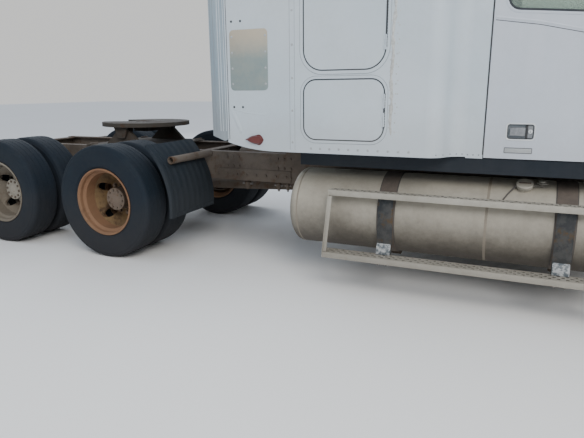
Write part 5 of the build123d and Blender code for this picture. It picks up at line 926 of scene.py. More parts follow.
# Finish of the CAD nodes; a name that ends in * stands for a left and a right node
NODE_FINISH: tuple[tuple[Finish, tuple[str, ...]], ...] = (
    (PAINT, ("sleeper_shell", "cab_shell", "bonnet", "hatch_lower_*", "hatch_upper_*")),
    (ROOF_PAINT, ("roof_fairing",)),
    (EXTENDER_PAINT, ("side_extenders",)),
    (DOOR_PAINT, ("door_*",)),
    (BRIGHT, ("grille", "bumper", "exhaust_stack", "headlamps")),
    (BLACK, ("mirror_*",)),
    (SKIRT, ("sill_skirts",)),
    (FENDER, ("fenders_and_flaps",)),
    (FRAME, ("frame_rails", "crossmembers", "suspension", "axles")),
    (FRAME, ("knuckle_*", "tie_rod", "air_tanks")),
    (STRAP, ("tank_straps",)),
    (IRON, ("engine_block",)),
    (GREASE, ("fifth_wheel_base", "fifth_wheel_plate", "fifth_wheel_jaws")),
    (TANK, ("fuel_tanks",)),
    (STEP, ("tank_steps",)),
    (TRIM, ("dashboard", "steering_wheel")),
    (CLOTH, ("seats", "bunk")),
    (LAMP_RED, ("marker_lamps",)),
    (TYRE, ("tyre_front_*", "tyres_forward_*", "tyres_rear_*")),
    (GREY_WHEEL, ("wheel_front_*", "wheels_rear_*")),
    (RUSTY_WHEEL, ("wheels_forward_*",)),
    (RUSTY_HUB, ("hub_forward_*",)),
    (PALE_HUB, ("hub_rear_*",)),
)


class Workshop:
    """Shared tools of every sub-assembly: paints, repeats, and the calls that place a piece."""

    def __init__(self) -> None:
        """Sets up the paints and the repeat trees."""
        self.paints = Paintbox()
        self.repeats = Repeater()

    def paint(self, finish: Finish) -> bpy.types.Material:
        """Material of a finish."""
        return self.paints.get(finish)

    def coat(self, obj: bpy.types.Object, finish: Finish | bpy.types.Material) -> bpy.types.Object:
        """Gives an object one material."""
        obj.data.materials.clear()
        obj.data.materials.append(finish if isinstance(finish, bpy.types.Material)
            else self.paint(finish))
        return obj

    def place(self, obj: bpy.types.Object, body: str, slot: str,
            *stands_for: str) -> bpy.types.Object:
        """Hands a finished piece to its CAD body.

        Args:
            obj: the piece.
            body: the CAD body it moves with.
            slot: the record's material slot; not used.
            stands_for: CAD nodes that it replaces.

        Returns:
            The piece.
        """
        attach(obj, body)
        if stands_for:
            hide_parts(*stands_for)
        log.info("%s rides on %s, %d faces", obj.name, body, len(obj.data.polygons))
        return obj

    def part(self, name: str, shape: Shape, finish: Finish, **form: float) -> bpy.types.Object:
        """Makes a coated object of a shape; form goes to Shape.object."""
        return self.coat(shape.object(name, **form), finish)

    def row(self, unit: Shape, finish: Finish, count: int, step: Point, start: Point,
            turn: Point = (0.0, 0.0, 0.0), jitter: float = 0.0) -> bpy.types.Object:
        """Repeats a unit along a line.

        Args:
            unit: the shape, drawn round the origin.
            finish: its finish.
            count: number of copies.
            step: the way from one copy to the next.
            start: place of the first copy.
            turn: turn of each copy in radians.
            jitter: range of each copy's random turn in radians.

        Returns:
            The copies as one object.
        """
        return self.repeats.run(Layout.LINE, unit, self.paint(finish), Count=count, Step=step,
            Start=start, Turn=turn, Jitter=jitter)

    def ring(self, unit: Shape, finish: Finish, count: int, radius: float, centre: Point,
            turn: Point = (0.0, 0.0, 0.0)) -> bpy.types.Object:
        """Repeats a unit round a ring.

        Args:
            unit: the shape, drawn round the origin.
            finish: its finish.
            count: number of copies.
            radius: radius of the ring.
            centre: middle of the ring.
            turn: turn of the whole ring in radians.

        Returns:
            The copies as one object.
        """
        return self.repeats.run(Layout.RING, unit, self.paint(finish), Count=count, Radius=radius,
            Start=centre, Turn=turn)


class Kit(list):
    """Objects of one sub-assembly; it can make the next ones itself."""

    def __init__(self, shop: Workshop) -> None:
        """Starts empty, with the shared tools."""
        super().__init__()
        self.shop = shop

    def part(self, name: str, shape: Shape, finish: Finish, **form: float) -> None:
        """Adds a coated object of a shape."""
        self.append(self.shop.part(name, shape, finish, **form))

    def row(self, *args: object, **more: object) -> None:
        """Adds a row of units, see Workshop.row."""
        self.append(self.shop.row(*args, **more))

    def ring(self, *args: object, **more: object) -> None:
        """Adds a ring of units, see Workshop.ring."""
        self.append(self.shop.ring(*args, **more))


@dataclass
class Tyre:
    """Worn road tyre with four ring grooves, shoulder lugs and a plain side wall."""

    radius: float = 0.5
    bead_half: float = 0.1146
    bead_radius: float = 0.2856
    lip_radius: float = 0.3025
    groove_depth: float = 0.0022
    groove_half: float = 0.0024
    grooves: tuple[float, ...] = (-0.078, -0.027, 0.027, 0.078)
    crown_drop: float = 0.0035
    tread_half: float = 0.112
    shoulder: float = 0.108
    segments: int = 144
    lugs: int = 96
    lug_y: float = 0.1225
    lug_radius: float = 0.4908
    lug_slant: float = 38.0

    def profile(self) -> list[tuple[float, float]]:
        """Closed section as (across, radius) pairs, from the inner bead round to the outer."""
        wall = [(self.bead_half, self.bead_radius), (self.bead_half, self.lip_radius),
            (0.1205, 0.306), (0.1265, 0.318), (0.13, 0.32), (0.1318, 0.33), (0.1372, 0.362),
            (0.1396, 0.395), (0.1392, 0.425), (0.1368, 0.448), (0.1374, 0.451), (0.137, 0.458),
            (0.135, 0.46), (0.133, 0.474), (0.1285, 0.485), (0.12, 0.4925), (0.112, 0.4965)]
        tread = []
        for g in self.grooves:
            crown = self.radius - self.crown_drop * (abs(g) / self.tread_half) ** 2
            low = crown - self.groove_depth
            tread += [(g - self.groove_half, crown), (g - self.groove_half + 0.001, low),
                (g + self.groove_half - 0.001, low), (g + self.groove_half, crown)]
            tread.append((g + self.groove_half + 0.018, self.radius - 0.0012))
        tread = [(a, r) for a, r in tread if abs(a) < self.shoulder]
        left = [(-a, r) for a, r in wall]
        return left + sorted(tread) + wall[::-1]

    def build(self, name: str, centre: Point, shop: Workshop) -> bpy.types.Object:
        """Builds the tyre.

        Args:
            name: the object's name.
            centre: middle of the tyre.
            shop: the shared tools.

        Returns:
            The tyre's object.
        """
        obj = shop.part(name, Shape().turned(self.profile(), centre, segments=self.segments),
            TYRE, smooth=38)
        lug = Shape().box((-0.0014, -0.009, -0.0045), (0.0014, 0.009, 0.0004))
        rows = Kit(shop)
        for side in (1, -1):
            ring = Shape()
            for i in range(self.lugs):
                a = 2 * math.pi * (i + (0.5 if side < 0 else 0.0)) / self.lugs
                frame_in = Matrix.Translation(centre) @ Matrix.Rotation(a, 4,
                    "Y") @ Matrix.Translation((0, side * self.lug_y,
                        self.lug_radius)) @ Matrix.Rotation(
                    side * math.radians(-self.lug_slant), 4, "X")
                ring.add(lug.verts, lug.faces).moved(frame_in)
            rows.part(name + "_lugs", ring, TYRE)
        return joined(name, [obj] + rows)


@dataclass
class Wheel:
    """Steel disc wheel pair, or a single one in front, with hub, nuts and brake drum."""

    place: str
    rim: Finish
    disc: Finish
    hub: Finish
    rim_half: float = 0.125
    flange_radius: float = 0.2985
    seat_radius: float = 0.285
    well_radius: float = 0.262
    wall: float = 0.01
    flat_radius: float = 0.178
    bore: float = 0.112
    hole_circle: float = 0.205
    hole_radius: float = 0.0415
    holes: int = 5
    nuts: int = 10
    nut_circle: float = 0.143
    hub_bolts: int = 10
    segments: int = 120
    dish_depth: float = 0.119
    rest_turn: tuple[float, float] = (17.0, 8.0)
    drum_depths: tuple[float, float] = (0.14, 0.19)
    drum_gap: float = 0.036
    tyre: Tyre = field(default_factory=Tyre)

    def barrel(self, centre_y: float) -> list[tuple[float, float]]:
        """Rim section with rolled flanges and a drop well."""
        h, f, s, w, t = (self.rim_half, self.flange_radius, self.seat_radius,
            self.well_radius, self.wall)
        outer = [(h - 0.011, s + 0.002), (h - 0.042, s - 0.002), (h - 0.06, w), (-h + 0.06, w),
            (-h + 0.042, s - 0.002), (-h + 0.011, s + 0.002)]
        curl_low = [(-h + 0.01, f - 0.006), (-h + 0.007, f), (-h + 0.002, f - 0.001),
            (-h, f - 0.007), (-h + 0.001, f - 0.014), (-h + 0.006, s - 0.004)]
        inner = [(-h + 0.014, s - t), (-h + 0.044, s - t - 0.002), (-h + 0.062, w - t),
            (h - 0.062, w - t), (h - 0.044, s - t - 0.002), (h - 0.014, s - t)]
        curl_high = [(-y, r) for y, r in curl_low[::-1]]
        return [(centre_y + y, r) for y, r in outer + curl_low + inner + curl_high]

    def dish(self, mount_y: float, way: float) -> list[tuple[float, float]]:
        """Disc section that leaves its bolting face towards the rim, on the given side."""
        depth = self.dish_depth
        face = [(0.0, self.bore), (0.0, self.flat_radius - 0.012),
            (0.004, self.flat_radius + 0.004), (0.02, self.flat_radius + 0.018), (0.062, 0.223),
            (0.092, 0.239), (depth, 0.2535)]
        back = [(depth + 0.014, 0.2535), (0.104, 0.23), (0.073, 0.213),
            (0.03, self.flat_radius + 0.008), (0.012, self.flat_radius - 0.006),
            (0.011, self.flat_radius - 0.016), (0.011, self.bore)]
        return [(mount_y + way * y, r) for y, r in face + back]

    def metal(self, name: str, rims: Sequence[tuple[float, float, float]], shop: Workshop,
            nut_y: float) -> list[bpy.types.Object]:
        """Rims and discs of one hub, drawn for the left side round the origin.

        Args:
            name: name of the pieces.
            rims: (rim centre, disc face, way of the dish) for each rim.
            shop: the shared tools.
            nut_y: where the wheel nuts stand.

        Returns:
            The objects.
        """
        made = Kit(shop)
        for centre_y, mount_y, way in rims:
            made.part(name + "_rim", Shape().turned(self.barrel(centre_y), (0, 0, 0),
                    segments=self.segments), self.rim)
            disc = Shape().turned(self.dish(mount_y, way), (0, 0, 0),
                segments=self.segments).object(name + "_disc")
            cutter = Shape()
            for i in range(self.holes):
                a = math.radians(90 + 360 / self.holes * i)
                x, z = self.hole_circle * math.cos(a), self.hole_circle * math.sin(a)
                cutter.tube([(x, mount_y - 0.02 * way, z), (x, mount_y + 0.13 * way, z)],
                    self.hole_radius, 28)
            made.append(shop.coat(disc, self.disc))
            cut_with(disc, shop.part("disc_cutter", cutter, self.disc))
        ring = shop.ring(hexagon(0.033, 0.0, 0.024), self.hub, self.nuts, self.nut_circle,
            (0.0, nut_y, 0.0), turn=OUTWARD)
        washers = shop.ring(Shape().turned([(0.0, 0.012), (0.0, 0.0235), (0.003, 0.0225),
                    (0.003, 0.012)], (0, 0, 0), axis="Z", segments=16), self.hub, self.nuts,
            self.nut_circle, (0.0, nut_y - 0.0005, 0.0), turn=OUTWARD)
        return made + [ring, washers]

    def build(self, side: float, shop: Workshop) -> None:
        """Builds the wheel with its tyres and hands it to its body.

        Args:
            side: 1 for the left, -1 for the right.
            shop: the shared tools.
        """
        word = word_of(side)
        x = AXLES[self.place]
        front = self.place == "front"
        body = f"{('front' if front else 'dual_' + self.place)}_{word}"
        name = f"{self.place}_{word}"
        if front:
            mount = FRONT_Y + DISC_OFFSET
            rims = [(FRONT_Y, mount, -1.0)]
            hub_line = [(mount - 0.011, 0.106), (mount + 0.01, 0.104), (mount + 0.014, 0.098),
                (mount + 0.016, 0.08), (mount + 0.042, 0.076), (mount + 0.051, 0.066),
                (mount + 0.055, 0.04), (mount + 0.055, 0.0)]
            bolt_y, bolt_circle, bolts = mount + 0.015, 0.089, 6
        else:
            mount = DUAL_Y
            rims = [(DUAL_Y + DISC_OFFSET, mount, 1.0), (DUAL_Y - DISC_OFFSET, mount, -1.0)]
            hub_line = [(mount - 0.011, 0.11), (mount + 0.03, 0.109), (mount + 0.038, 0.102),
                (mount + 0.095, 0.094), (mount + 0.118, 0.096), (mount + 0.124, 0.102),
                (mount + 0.138, 0.102), (mount + 0.141, 0.099), (mount + 0.142, 0.062),
                (mount + 0.148, 0.05), (mount + 0.152, 0.03), (mount + 0.153, 0.0)]
            bolt_y, bolt_circle, bolts = mount + 0.141, 0.08, self.hub_bolts
        objects = self.metal(name, rims, shop, mount + (0.0115 if not front else 0.0))
        hub = Shape().turned(hub_line, (0, 0, 0), segments=72, closed=False).object(name + "_hub")
        objects.append(shop.coat(hub, self.hub))
        back = mount - self.drum_gap
        drum_depth = self.drum_depths[0 if front else 1]
        drum = [(back + 0.025, 0.045), (back + 0.025, 0.155), (back, 0.165), (back - 0.046, 0.221),
            (back - 0.06, 0.222), (back - 0.064, 0.218), (back - drum_depth + 0.014, 0.218),
            (back - drum_depth + 0.01, 0.224), (back - drum_depth, 0.224),
            (back - drum_depth, 0.208), (back - 0.06, 0.206), (back - 0.014, 0.158),
            (back - 0.014, 0.05)]
        objects.append(shop.part(name + "_drum",
                Shape().turned(drum, (0, 0, 0), segments=72), FRAME))
        objects.append(shop.ring(hexagon(0.019, 0.0, 0.01), FRAME, bolts, bolt_circle,
                (0.0, bolt_y, 0.0), turn=OUTWARD))
        piece = joined("wheel_set_" + name, objects)
        move = Matrix.Translation((x, 0, AXLE_Z)) @ Matrix.Rotation(
            math.radians(self.rest_turn[0 if front else 1]), 4, "Y")
        piece.data.transform(move)
        tyres = []
        for rim in rims:
            tyres.append(self.tyre.build("tyre_piece", (x, rim[0], AXLE_Z), shop))
        rubber = joined("tread_" + name, tyres)
        to_side((piece, rubber), side)
        plural = "" if front else "s"
        shop.place(piece, body, "rusty_wheel" if self.place == "forward" else "grey_wheel",
            f"wheel{plural}_{name}", *([] if front else [f"hub_{name}"]))
        shop.place(rubber, body, "tyre_rubber", f"tyre{plural}_{name}")


@dataclass
class FuelTank:
    """Side tank with dished ends, weld seams, filler, straps and its two perforated steps."""

    rear: float = -0.325
    length: float = 2.3
    y: float = 0.815
    z: float = 0.556
    radius: float = 0.2915
    dish: float = 0.037
    knuckle: float = 0.045
    dome_depth: float = 0.095
    filler_x: float = 1.335
    filler_tilt: float = 28.0
    strap_x: tuple[float, ...] = (0.465, 1.585)
    strap_width: float = 0.115
    strap_outer: float = 0.2982
    plate_y: float = 1.1203
    plate_back: float = 1.1068
    plate_z: tuple[float, float] = (0.258, 0.744)
    liner: tuple[float, float] = (0.2918, 0.2944)
    strap_inner: float = 0.294
    rail_face: float = 0.4325
    bracket_radius: float = 0.2985
    bolt_z: tuple[float, ...] = (0.7, 0.335)
    bolt_pitch: float = 0.056
    step_rear: float = 0.04
    step_length: float = 1.9
    upper_z: float = 0.75
    upper_y: tuple[float, float] = (1.08, 1.16)
    lower_z: float = 0.308
    lower_y: tuple[float, float] = (1.1206, 1.24)
    end_lean: float = 0.019
    face: float = 0.04
    sheet: float = 0.004
    hole_radius: float = 0.0105
    hole_pitch: float = 0.05
    row_pitch: float = 0.03

    def shell(self, shop: Workshop) -> bpy.types.Object:
        """Tank body turned about its long axis, with a bead at each weld."""
        end = self.length
        shoulder = self.dish + self.knuckle
        half = [(self.dome_depth * (1 - math.cos(a)), self.radius * math.sin(a) ** 0.75)
            for a in (math.radians(5.625 * k) for k in range(17))]
        line = half + [(end - x, r) for x, r in half[::-1]]
        profile = [(self.rear + x, min(r, self.radius + 0.0005)) for x, r in line]
        body = Shape().turned(profile, (0, self.y, self.z), axis="X", segments=128, closed=False)
        parts = [shop.part("tank_body", body, TANK, smooth=50)]
        for x, half_bead in ((shoulder + 0.028, 0.006), (end * 0.63, 0.009),
                (end - shoulder - 0.028, 0.006)):
            at = self.rear + x
            bead = Shape().turned([(at - half_bead, self.radius), (at, self.radius + 0.0009),
                    (at + half_bead, self.radius)], (0, self.y, self.z), "X", 96, False)
            parts.append(shop.part("tank_weld", bead, WELD))
        return joined("tank_body", parts)

    def filler(self, shop: Workshop) -> list[bpy.types.Object]:
        """Neck, cap with its bar and chain, level sender and vent line."""
        tilt = Matrix.Translation((self.filler_x, self.y, self.z)) @ Matrix.Rotation(
            math.radians(-self.filler_tilt), 4, "X")
        base = self.radius
        neck = Shape().turned([(base - 0.02, 0.046), (base + 0.004, 0.047), (base + 0.01, 0.0445),
                (base + 0.02, 0.0445), (base + 0.02, 0.0)], (0, 0, 0), "Z", 40, False)
        cap = Shape().turned([(base + 0.0175, 0.0), (base + 0.0175, 0.0515), (base + 0.022, 0.052),
                (base + 0.036, 0.0515), (base + 0.0395, 0.048), (base + 0.0395, 0.03),
                (base + 0.0385, 0.0)], (0, 0, 0), "Z", 40, False)
        bar = Shape().box((-0.036, -0.006, base + 0.037), (0.036, 0.006, base + 0.0437))
        made = [shop.part("tank_neck", neck, TANK), shop.part("tank_cap", cap, STEP),
            shop.part("tank_cap_bar", bar, FRAME, bevel=0.0025)]
        for obj in made:
            obj.data.transform(tilt)
        sender = Shape().turned([(base - 0.003, 0.036), (base + 0.005, 0.036),
                (base + 0.006, 0.022), (base + 0.015, 0.02), (base + 0.017, 0.0)], (0, 0, 0),
            "Z", 24, False)
        sender = shop.part("tank_sender", sender, STEP)
        sender.data.transform(Matrix.Translation((self.filler_x + 0.105, self.y, self.z))
            @ Matrix.Rotation(math.radians(-12), 4, "X"))
        made.append(sender)
        link = Shape()
        ring = [(0.0085 * math.cos(t), 0.0052 * math.sin(t), 0.0) for t in around(12)]
        rings = []
        for cx, cy, _ in ring:
            out = Vector((cx, cy, 0)).normalized()
            rings.append([(cx + out.x * 0.0016 * math.cos(u), cy + out.y * 0.0016 * math.cos(u),
                        0.0016 * math.sin(u)) for u in around(6)])
        link.loft(rings, caps=False, closed=True)
        start = tilt @ Vector((0.045, 0.0, base + 0.022))
        chain = shop.row(link, STEEL, 7, (0.0135, -0.003, -0.0012), tuple(start), jitter=1.6)
        vent = Shape().tube([(self.filler_x + dx,
                    self.y + (self.radius + lift) * math.sin(math.radians(a)),
                    self.z + (self.radius + lift) * math.cos(math.radians(a)))
                for dx, a, lift in ((-0.048, 29, 0.024), (-0.07, 34, 0.01), (-0.095, 41, 0.004),
                    (-0.12, 50, 0.003))], 0.005, 8)
        return made + [chain, shop.part("tank_vent", vent, SEAM)]

    def straps(self, shop: Workshop) -> bpy.types.Object:
        """Bands with rubber edges, hanging plates, rail brackets and their bolts."""
        objects = Kit(shop)
        half = self.strap_width / 2
        for x in self.strap_x:
            inner, outer = self.liner
            liner = Shape().turned([(x - half - 0.006, inner), (x + half + 0.006, inner),
                    (x + half + 0.006, outer), (x - half - 0.006, outer)],
                (0, self.y, self.z), "X", 96)
            objects.part("strap_liner", liner, SEAM)
            band = Shape().turned([(x - half, self.strap_inner), (x + half, self.strap_inner),
                    (x + half, self.strap_outer - 0.001), (x + half - 0.003, self.strap_outer),
                    (x - half + 0.003, self.strap_outer), (x - half, self.strap_outer - 0.001)],
                (0, self.y, self.z), "X", 96)
            objects.part("strap_band", band, STRAP_TOP)
            plate = Shape().prism(rounded(x - half + 0.004, x + half - 0.004, *self.plate_z, 0.004,
                    2), self.plate_back, self.plate_y)
            objects.part("strap_plate", plate, STRAP, bevel=0.0015)
            foot = Shape().box((x - half, 1.107, 0.2562), (x + half, 1.2, 0.2678))
            objects.part("strap_foot", foot, STRAP_FOOT, bevel=0.002)
            clamp = Shape().prism([(self.plate_y, 0.309), (1.15, 0.309), (1.14, 0.366),
                    (self.plate_y, 0.386)], x - 0.05, x + 0.05, "X")
            objects.part("strap_clamp", clamp, STRAP_FOOT, bevel=0.003)
            bracket = Shape()
            rail = self.rail_face
            arc = []
            for k in range(11):
                a = math.radians(148 + 8.2 * k)
                arc.append((self.y + self.bracket_radius * math.cos(a),
                        self.z + self.bracket_radius * math.sin(a)))
            outline = [(rail, 0.877), (rail + 0.036, 0.877), (rail + 0.04, 0.78)] + arc + [
                (self.y - 0.01, 0.222), (self.y - 0.15, 0.236), (rail + 0.03, 0.33), (rail, 0.39)]
            bracket.prism(outline, x - half + 0.002, x + half - 0.002, "X")
            objects.part("strap_bracket", bracket, FRAME, bevel=0.002)
            for z in self.bolt_z:
                objects.row(hexagon(0.019, 0.0, 0.01), STRAP, 2, (self.bolt_pitch, 0.0, 0.0),
                    (x - self.bolt_pitch / 2, self.plate_y - 0.0005, z), turn=OUTWARD)
            objects.row(Shape().tube([(0, 0, 0), (0, 0, -0.022)], 0.005, 8), STEEL, 2,
                (0.062, 0.0, 0.0), (x - 0.031, 1.165, 0.2565), jitter=0.12)
            objects.row(hexagon(0.024, 0.0, 0.013), FRAME, 2, (0.0, 0.0, -0.06),
                (x, rail + 0.0355, 0.845), turn=OUTWARD)
        return joined("tank_straps_piece", objects)

    def tread(self, y: tuple[float, float], top: float, rows: int, name: str, inset: float,
            shop: Workshop) -> list[bpy.types.Object]:
        """One folded tread with its perforations and raised studs.

        Args:
            y: inner and outer edge.
            top: height of the walking face.
            rows: rows of holes.
            name: name of the pieces.
            inset: how far its ends stand in from the frame's.
            shop: the shared tools.

        Returns:
            The objects.
        """
        (y0, y1), t, low = (y, self.sheet, top - self.face)
        outline = [(y0, low), (y0, top), (y1, top), (y1, low), (y1 - 0.012, low),
            (y1 - 0.012, low + t * 0.6), (y1 - t, low + t * 0.6), (y1 - t, top - t),
            (y0 + t, top - t), (y0 + t, low)]
        x0, x1 = self.step_rear + inset, self.step_rear + self.step_length - inset
        sheet = Shape().prism(outline[::-1], x0, x1, "X").object(name, bevel=0.0016)
        middle = (y0 + y1) / 2
        first = middle - self.row_pitch * (rows - 1) / 2
        count = int((x1 - x0 - 0.06) / self.hole_pitch)
        drill = Shape().tube([(0, 0, -0.02), (0, 0, 0.01)], self.hole_radius, 12)
        cutter = Kit(shop)
        for r in range(rows):
            shift = self.hole_pitch / 2 * (r % 2)
            cutter.row(drill, SEAM, count, (self.hole_pitch, 0.0, 0.0),
                (x0 + 0.035 + shift, first + self.row_pitch * r, top))
        objects = [shop.coat(sheet, STEP)]
        cut_with(sheet, joined(name + "_drills", cutter))
        stud_step = self.hole_pitch / 2.5
        for r in range(rows + 1):
            spot = first + self.row_pitch * (r - 0.5)
            if r in (0, rows):
                spot += 0.004 if r == 0 else -0.004
            objects.append(shop.row(dome(0.004, 0.0016, 8), STEP, int((x1 - x0) / stud_step) - 1,
                    (stud_step, 0.0, 0.0), (x0 + 0.012, spot, top - 0.0004)))
        return objects

    def steps(self, shop: Workshop) -> bpy.types.Object:
        """Both treads and the leaning plates that join them at their ends."""
        objects = self.tread(self.upper_y, self.upper_z, 2, "step_upper", self.end_lean, shop)
        objects += self.tread(self.lower_y, self.lower_z, 3, "step_lower", 0.0, shop)
        outline = [(1.08, 0.712), (1.08, 0.749), (1.1598, 0.749), (1.2398, 0.307), (1.2398, 0.27),
            (1.17, 0.27), (1.131, 0.712)]
        for x in (self.step_rear - 0.0002, self.step_rear + self.step_length - 0.0048):
            plate = Shape().prism(outline, x, x + 0.005, "X")
            inward = 1 if x < 1 else -1
            lean = Matrix.Translation(
                (-self.lower_z * self.end_lean * inward / (self.upper_z - self.lower_z), 0, 0))
            lean[0][2] = self.end_lean * inward / (self.upper_z - self.lower_z)
            plate.moved(lean)
            objects.append(shop.part("step_end", plate, STEP, bevel=0.001))
            fold_x = x + (0.005 if inward > 0 else 0.0)
            fold = Shape().loft([[(fold_x, y, z), (fold_x + 0.026 * inward, y, z),
                        (fold_x + 0.026 * inward, y - 0.004, z - 0.001),
                        (fold_x, y - 0.004, z - 0.001)]
                    for y, z in ((1.167, 0.7085), (1.2325, 0.31))]).moved(lean)
            objects.append(shop.part("step_fold", fold, STEP, bevel=0.001))
        return joined("tank_steps_piece", objects)

    def build(self, side: float, shop: Workshop) -> list[bpy.types.Object]:
        """Builds one side's tank, straps and steps, as separate objects."""
        made = [joined("fuel_tank", [self.shell(shop)] + self.filler(shop)), self.straps(shop),
            self.steps(shop)]
        to_side(made, side)
        return made


@dataclass
class QuarterFender:
    """Ribbed plastic quarter fender ahead of the forward drive wheels."""

    radius: float = 0.69
    wall: float = 0.006
    low: float = -8.0
    high: float = 47.0
    inner_y: float = 0.5
    outer_y: float = 1.155
    ribs: int = 7
    lip: float = 0.02
    steps: int = 40
    stay_y: float = 0.745

    def point(self, radius: float, degrees: float, y: float) -> Point:
        """Point at a radius and angle about the forward drive axle."""
        a = math.radians(degrees)
        return (AXLES["forward"] + radius * math.cos(a), y, AXLE_Z + radius * math.sin(a))

    def section(self) -> list[tuple[float, float]]:
        """Closed section across the fender as (y, radius) pairs, with ribs and a rolled lip."""
        top = []
        span = self.outer_y - self.inner_y - 0.1
        for i in range(self.ribs):
            mid = self.inner_y + 0.05 + span * (i + 0.5) / self.ribs
            half = span / self.ribs * 0.23
            top += [(mid - half - 0.004, 0.0), (mid - half + 0.002, 0.0018),
                (mid + half - 0.002, 0.0018), (mid + half + 0.004, 0.0)]
        r = self.radius + self.wall
        outer = [(self.inner_y + 0.001, r - self.lip), (self.inner_y, r - 0.004),
            (self.inner_y + 0.004, r)]
        outer += [(y, r + up) for y, up in top]
        e = self.outer_y
        outer += [(e - 0.078, r), (e - 0.073, r - 0.0025), (e - 0.067, r), (e - 0.06, r + 0.004),
            (e - 0.054, r + 0.0072), (e - 0.008, r + 0.0072), (e - 0.001, r + 0.002),
            (e + 0.0004, r - 0.008), (e + 0.0004, r - self.lip), (e - 0.006, r - self.lip)]
        inner = [(e - 0.006, r - 0.01), (e - 0.012, r - 0.0045), (self.inner_y + 0.01, r - 0.0045),
            (self.inner_y + 0.006, r - self.lip)]
        return outer + inner

    def build(self, side: float, shop: Workshop) -> bpy.types.Object:
        """Builds the fender of one side.

        Args:
            side: 1 for the left, -1 for the right.
            shop: the shared tools.

        Returns:
            The object.
        """
        rings = []
        for i in range(self.steps + 1):
            a = self.low + (self.high - self.low) * i / self.steps
            rings.append([self.point(r, a, y) for y, r in self.section()])
        skin = Shape().loft(rings).object("fender_skin", smooth=40)
        objects = [shop.coat(skin, FENDER)]
        hem = [self.point(self.radius + 0.004, self.low + 0.4, y)
            for y in (self.inner_y + 0.004, self.outer_y - 0.004)]
        objects.append(shop.part("fender_hem", Shape().tube(hem, 0.0058, 10), FENDER))
        edge = [self.point(self.radius + self.wall, self.low + 2.9, y)
            for y in (self.inner_y + 0.01, self.outer_y - 0.07)]
        objects.append(shop.part("fender_line", Shape().tube(edge, 0.0036, 8), FENDER))
        strap_pts = [self.point(self.radius - 0.012, self.low + 55 * k / 12, self.stay_y)
            for k in range(13)]
        band = Shape().loft([[(x, y - 0.022, z), (x, y + 0.022, z),
                    (x - 0.005, y + 0.022, z - 0.002), (x - 0.005, y - 0.022, z - 0.002)]
                for x, y, z in strap_pts])
        objects.append(shop.part("fender_stay", band, FRAME))
        return sided("quarter_fender", objects, side)


@dataclass
class MudFlap:
    """Rubber flap with moulded ribs behind the rear drive wheels."""

    x: float = -4.029
    inner_y: float = 0.615
    outer_y: float = 1.21
    bottom: float = 0.26
    top: float = 0.846
    wall: float = 0.009
    ribs: int = 13
    rib_pitch: float = 0.043
    bolts: int = 4
    bolt_pitch: float = 0.15

    def build(self, side: float, shop: Workshop) -> bpy.types.Object:
        """Builds one side's flap with its ribs and fixing bolts."""
        x0 = self.x - self.wall
        sheet = Shape().prism(rounded(self.inner_y, self.outer_y, self.bottom, self.top, 0.02, 4),
            x0 + 0.001, self.x, "X").object("flap_sheet", bevel=0.0012)
        rib = Shape().box((-0.001, -0.004, 0.0), (0.0012, 0.004, self.top - self.bottom - 0.2))
        ribs = shop.row(rib, BLACK, self.ribs, (0.0, self.rib_pitch, 0.0),
            (x0 + 0.0006, self.inner_y + 0.04, self.bottom + 0.03))
        bolts = shop.row(hexagon(0.017, 0.0, 0.0065), STEEL, self.bolts,
            (self.bolt_pitch, 0.0, 0.0), (0.0, 0.0, 0.0))
        bolts.data.transform(Matrix.Translation((x0 + 0.001, self.inner_y + 0.07, self.top - 0.035))
            @ Matrix.Rotation(math.radians(-90), 4, "Y")
            @ Matrix.Rotation(math.radians(90), 4, "Z"))
        return sided("mud_flap", [shop.coat(sheet, BLACK), ribs, bolts], side)


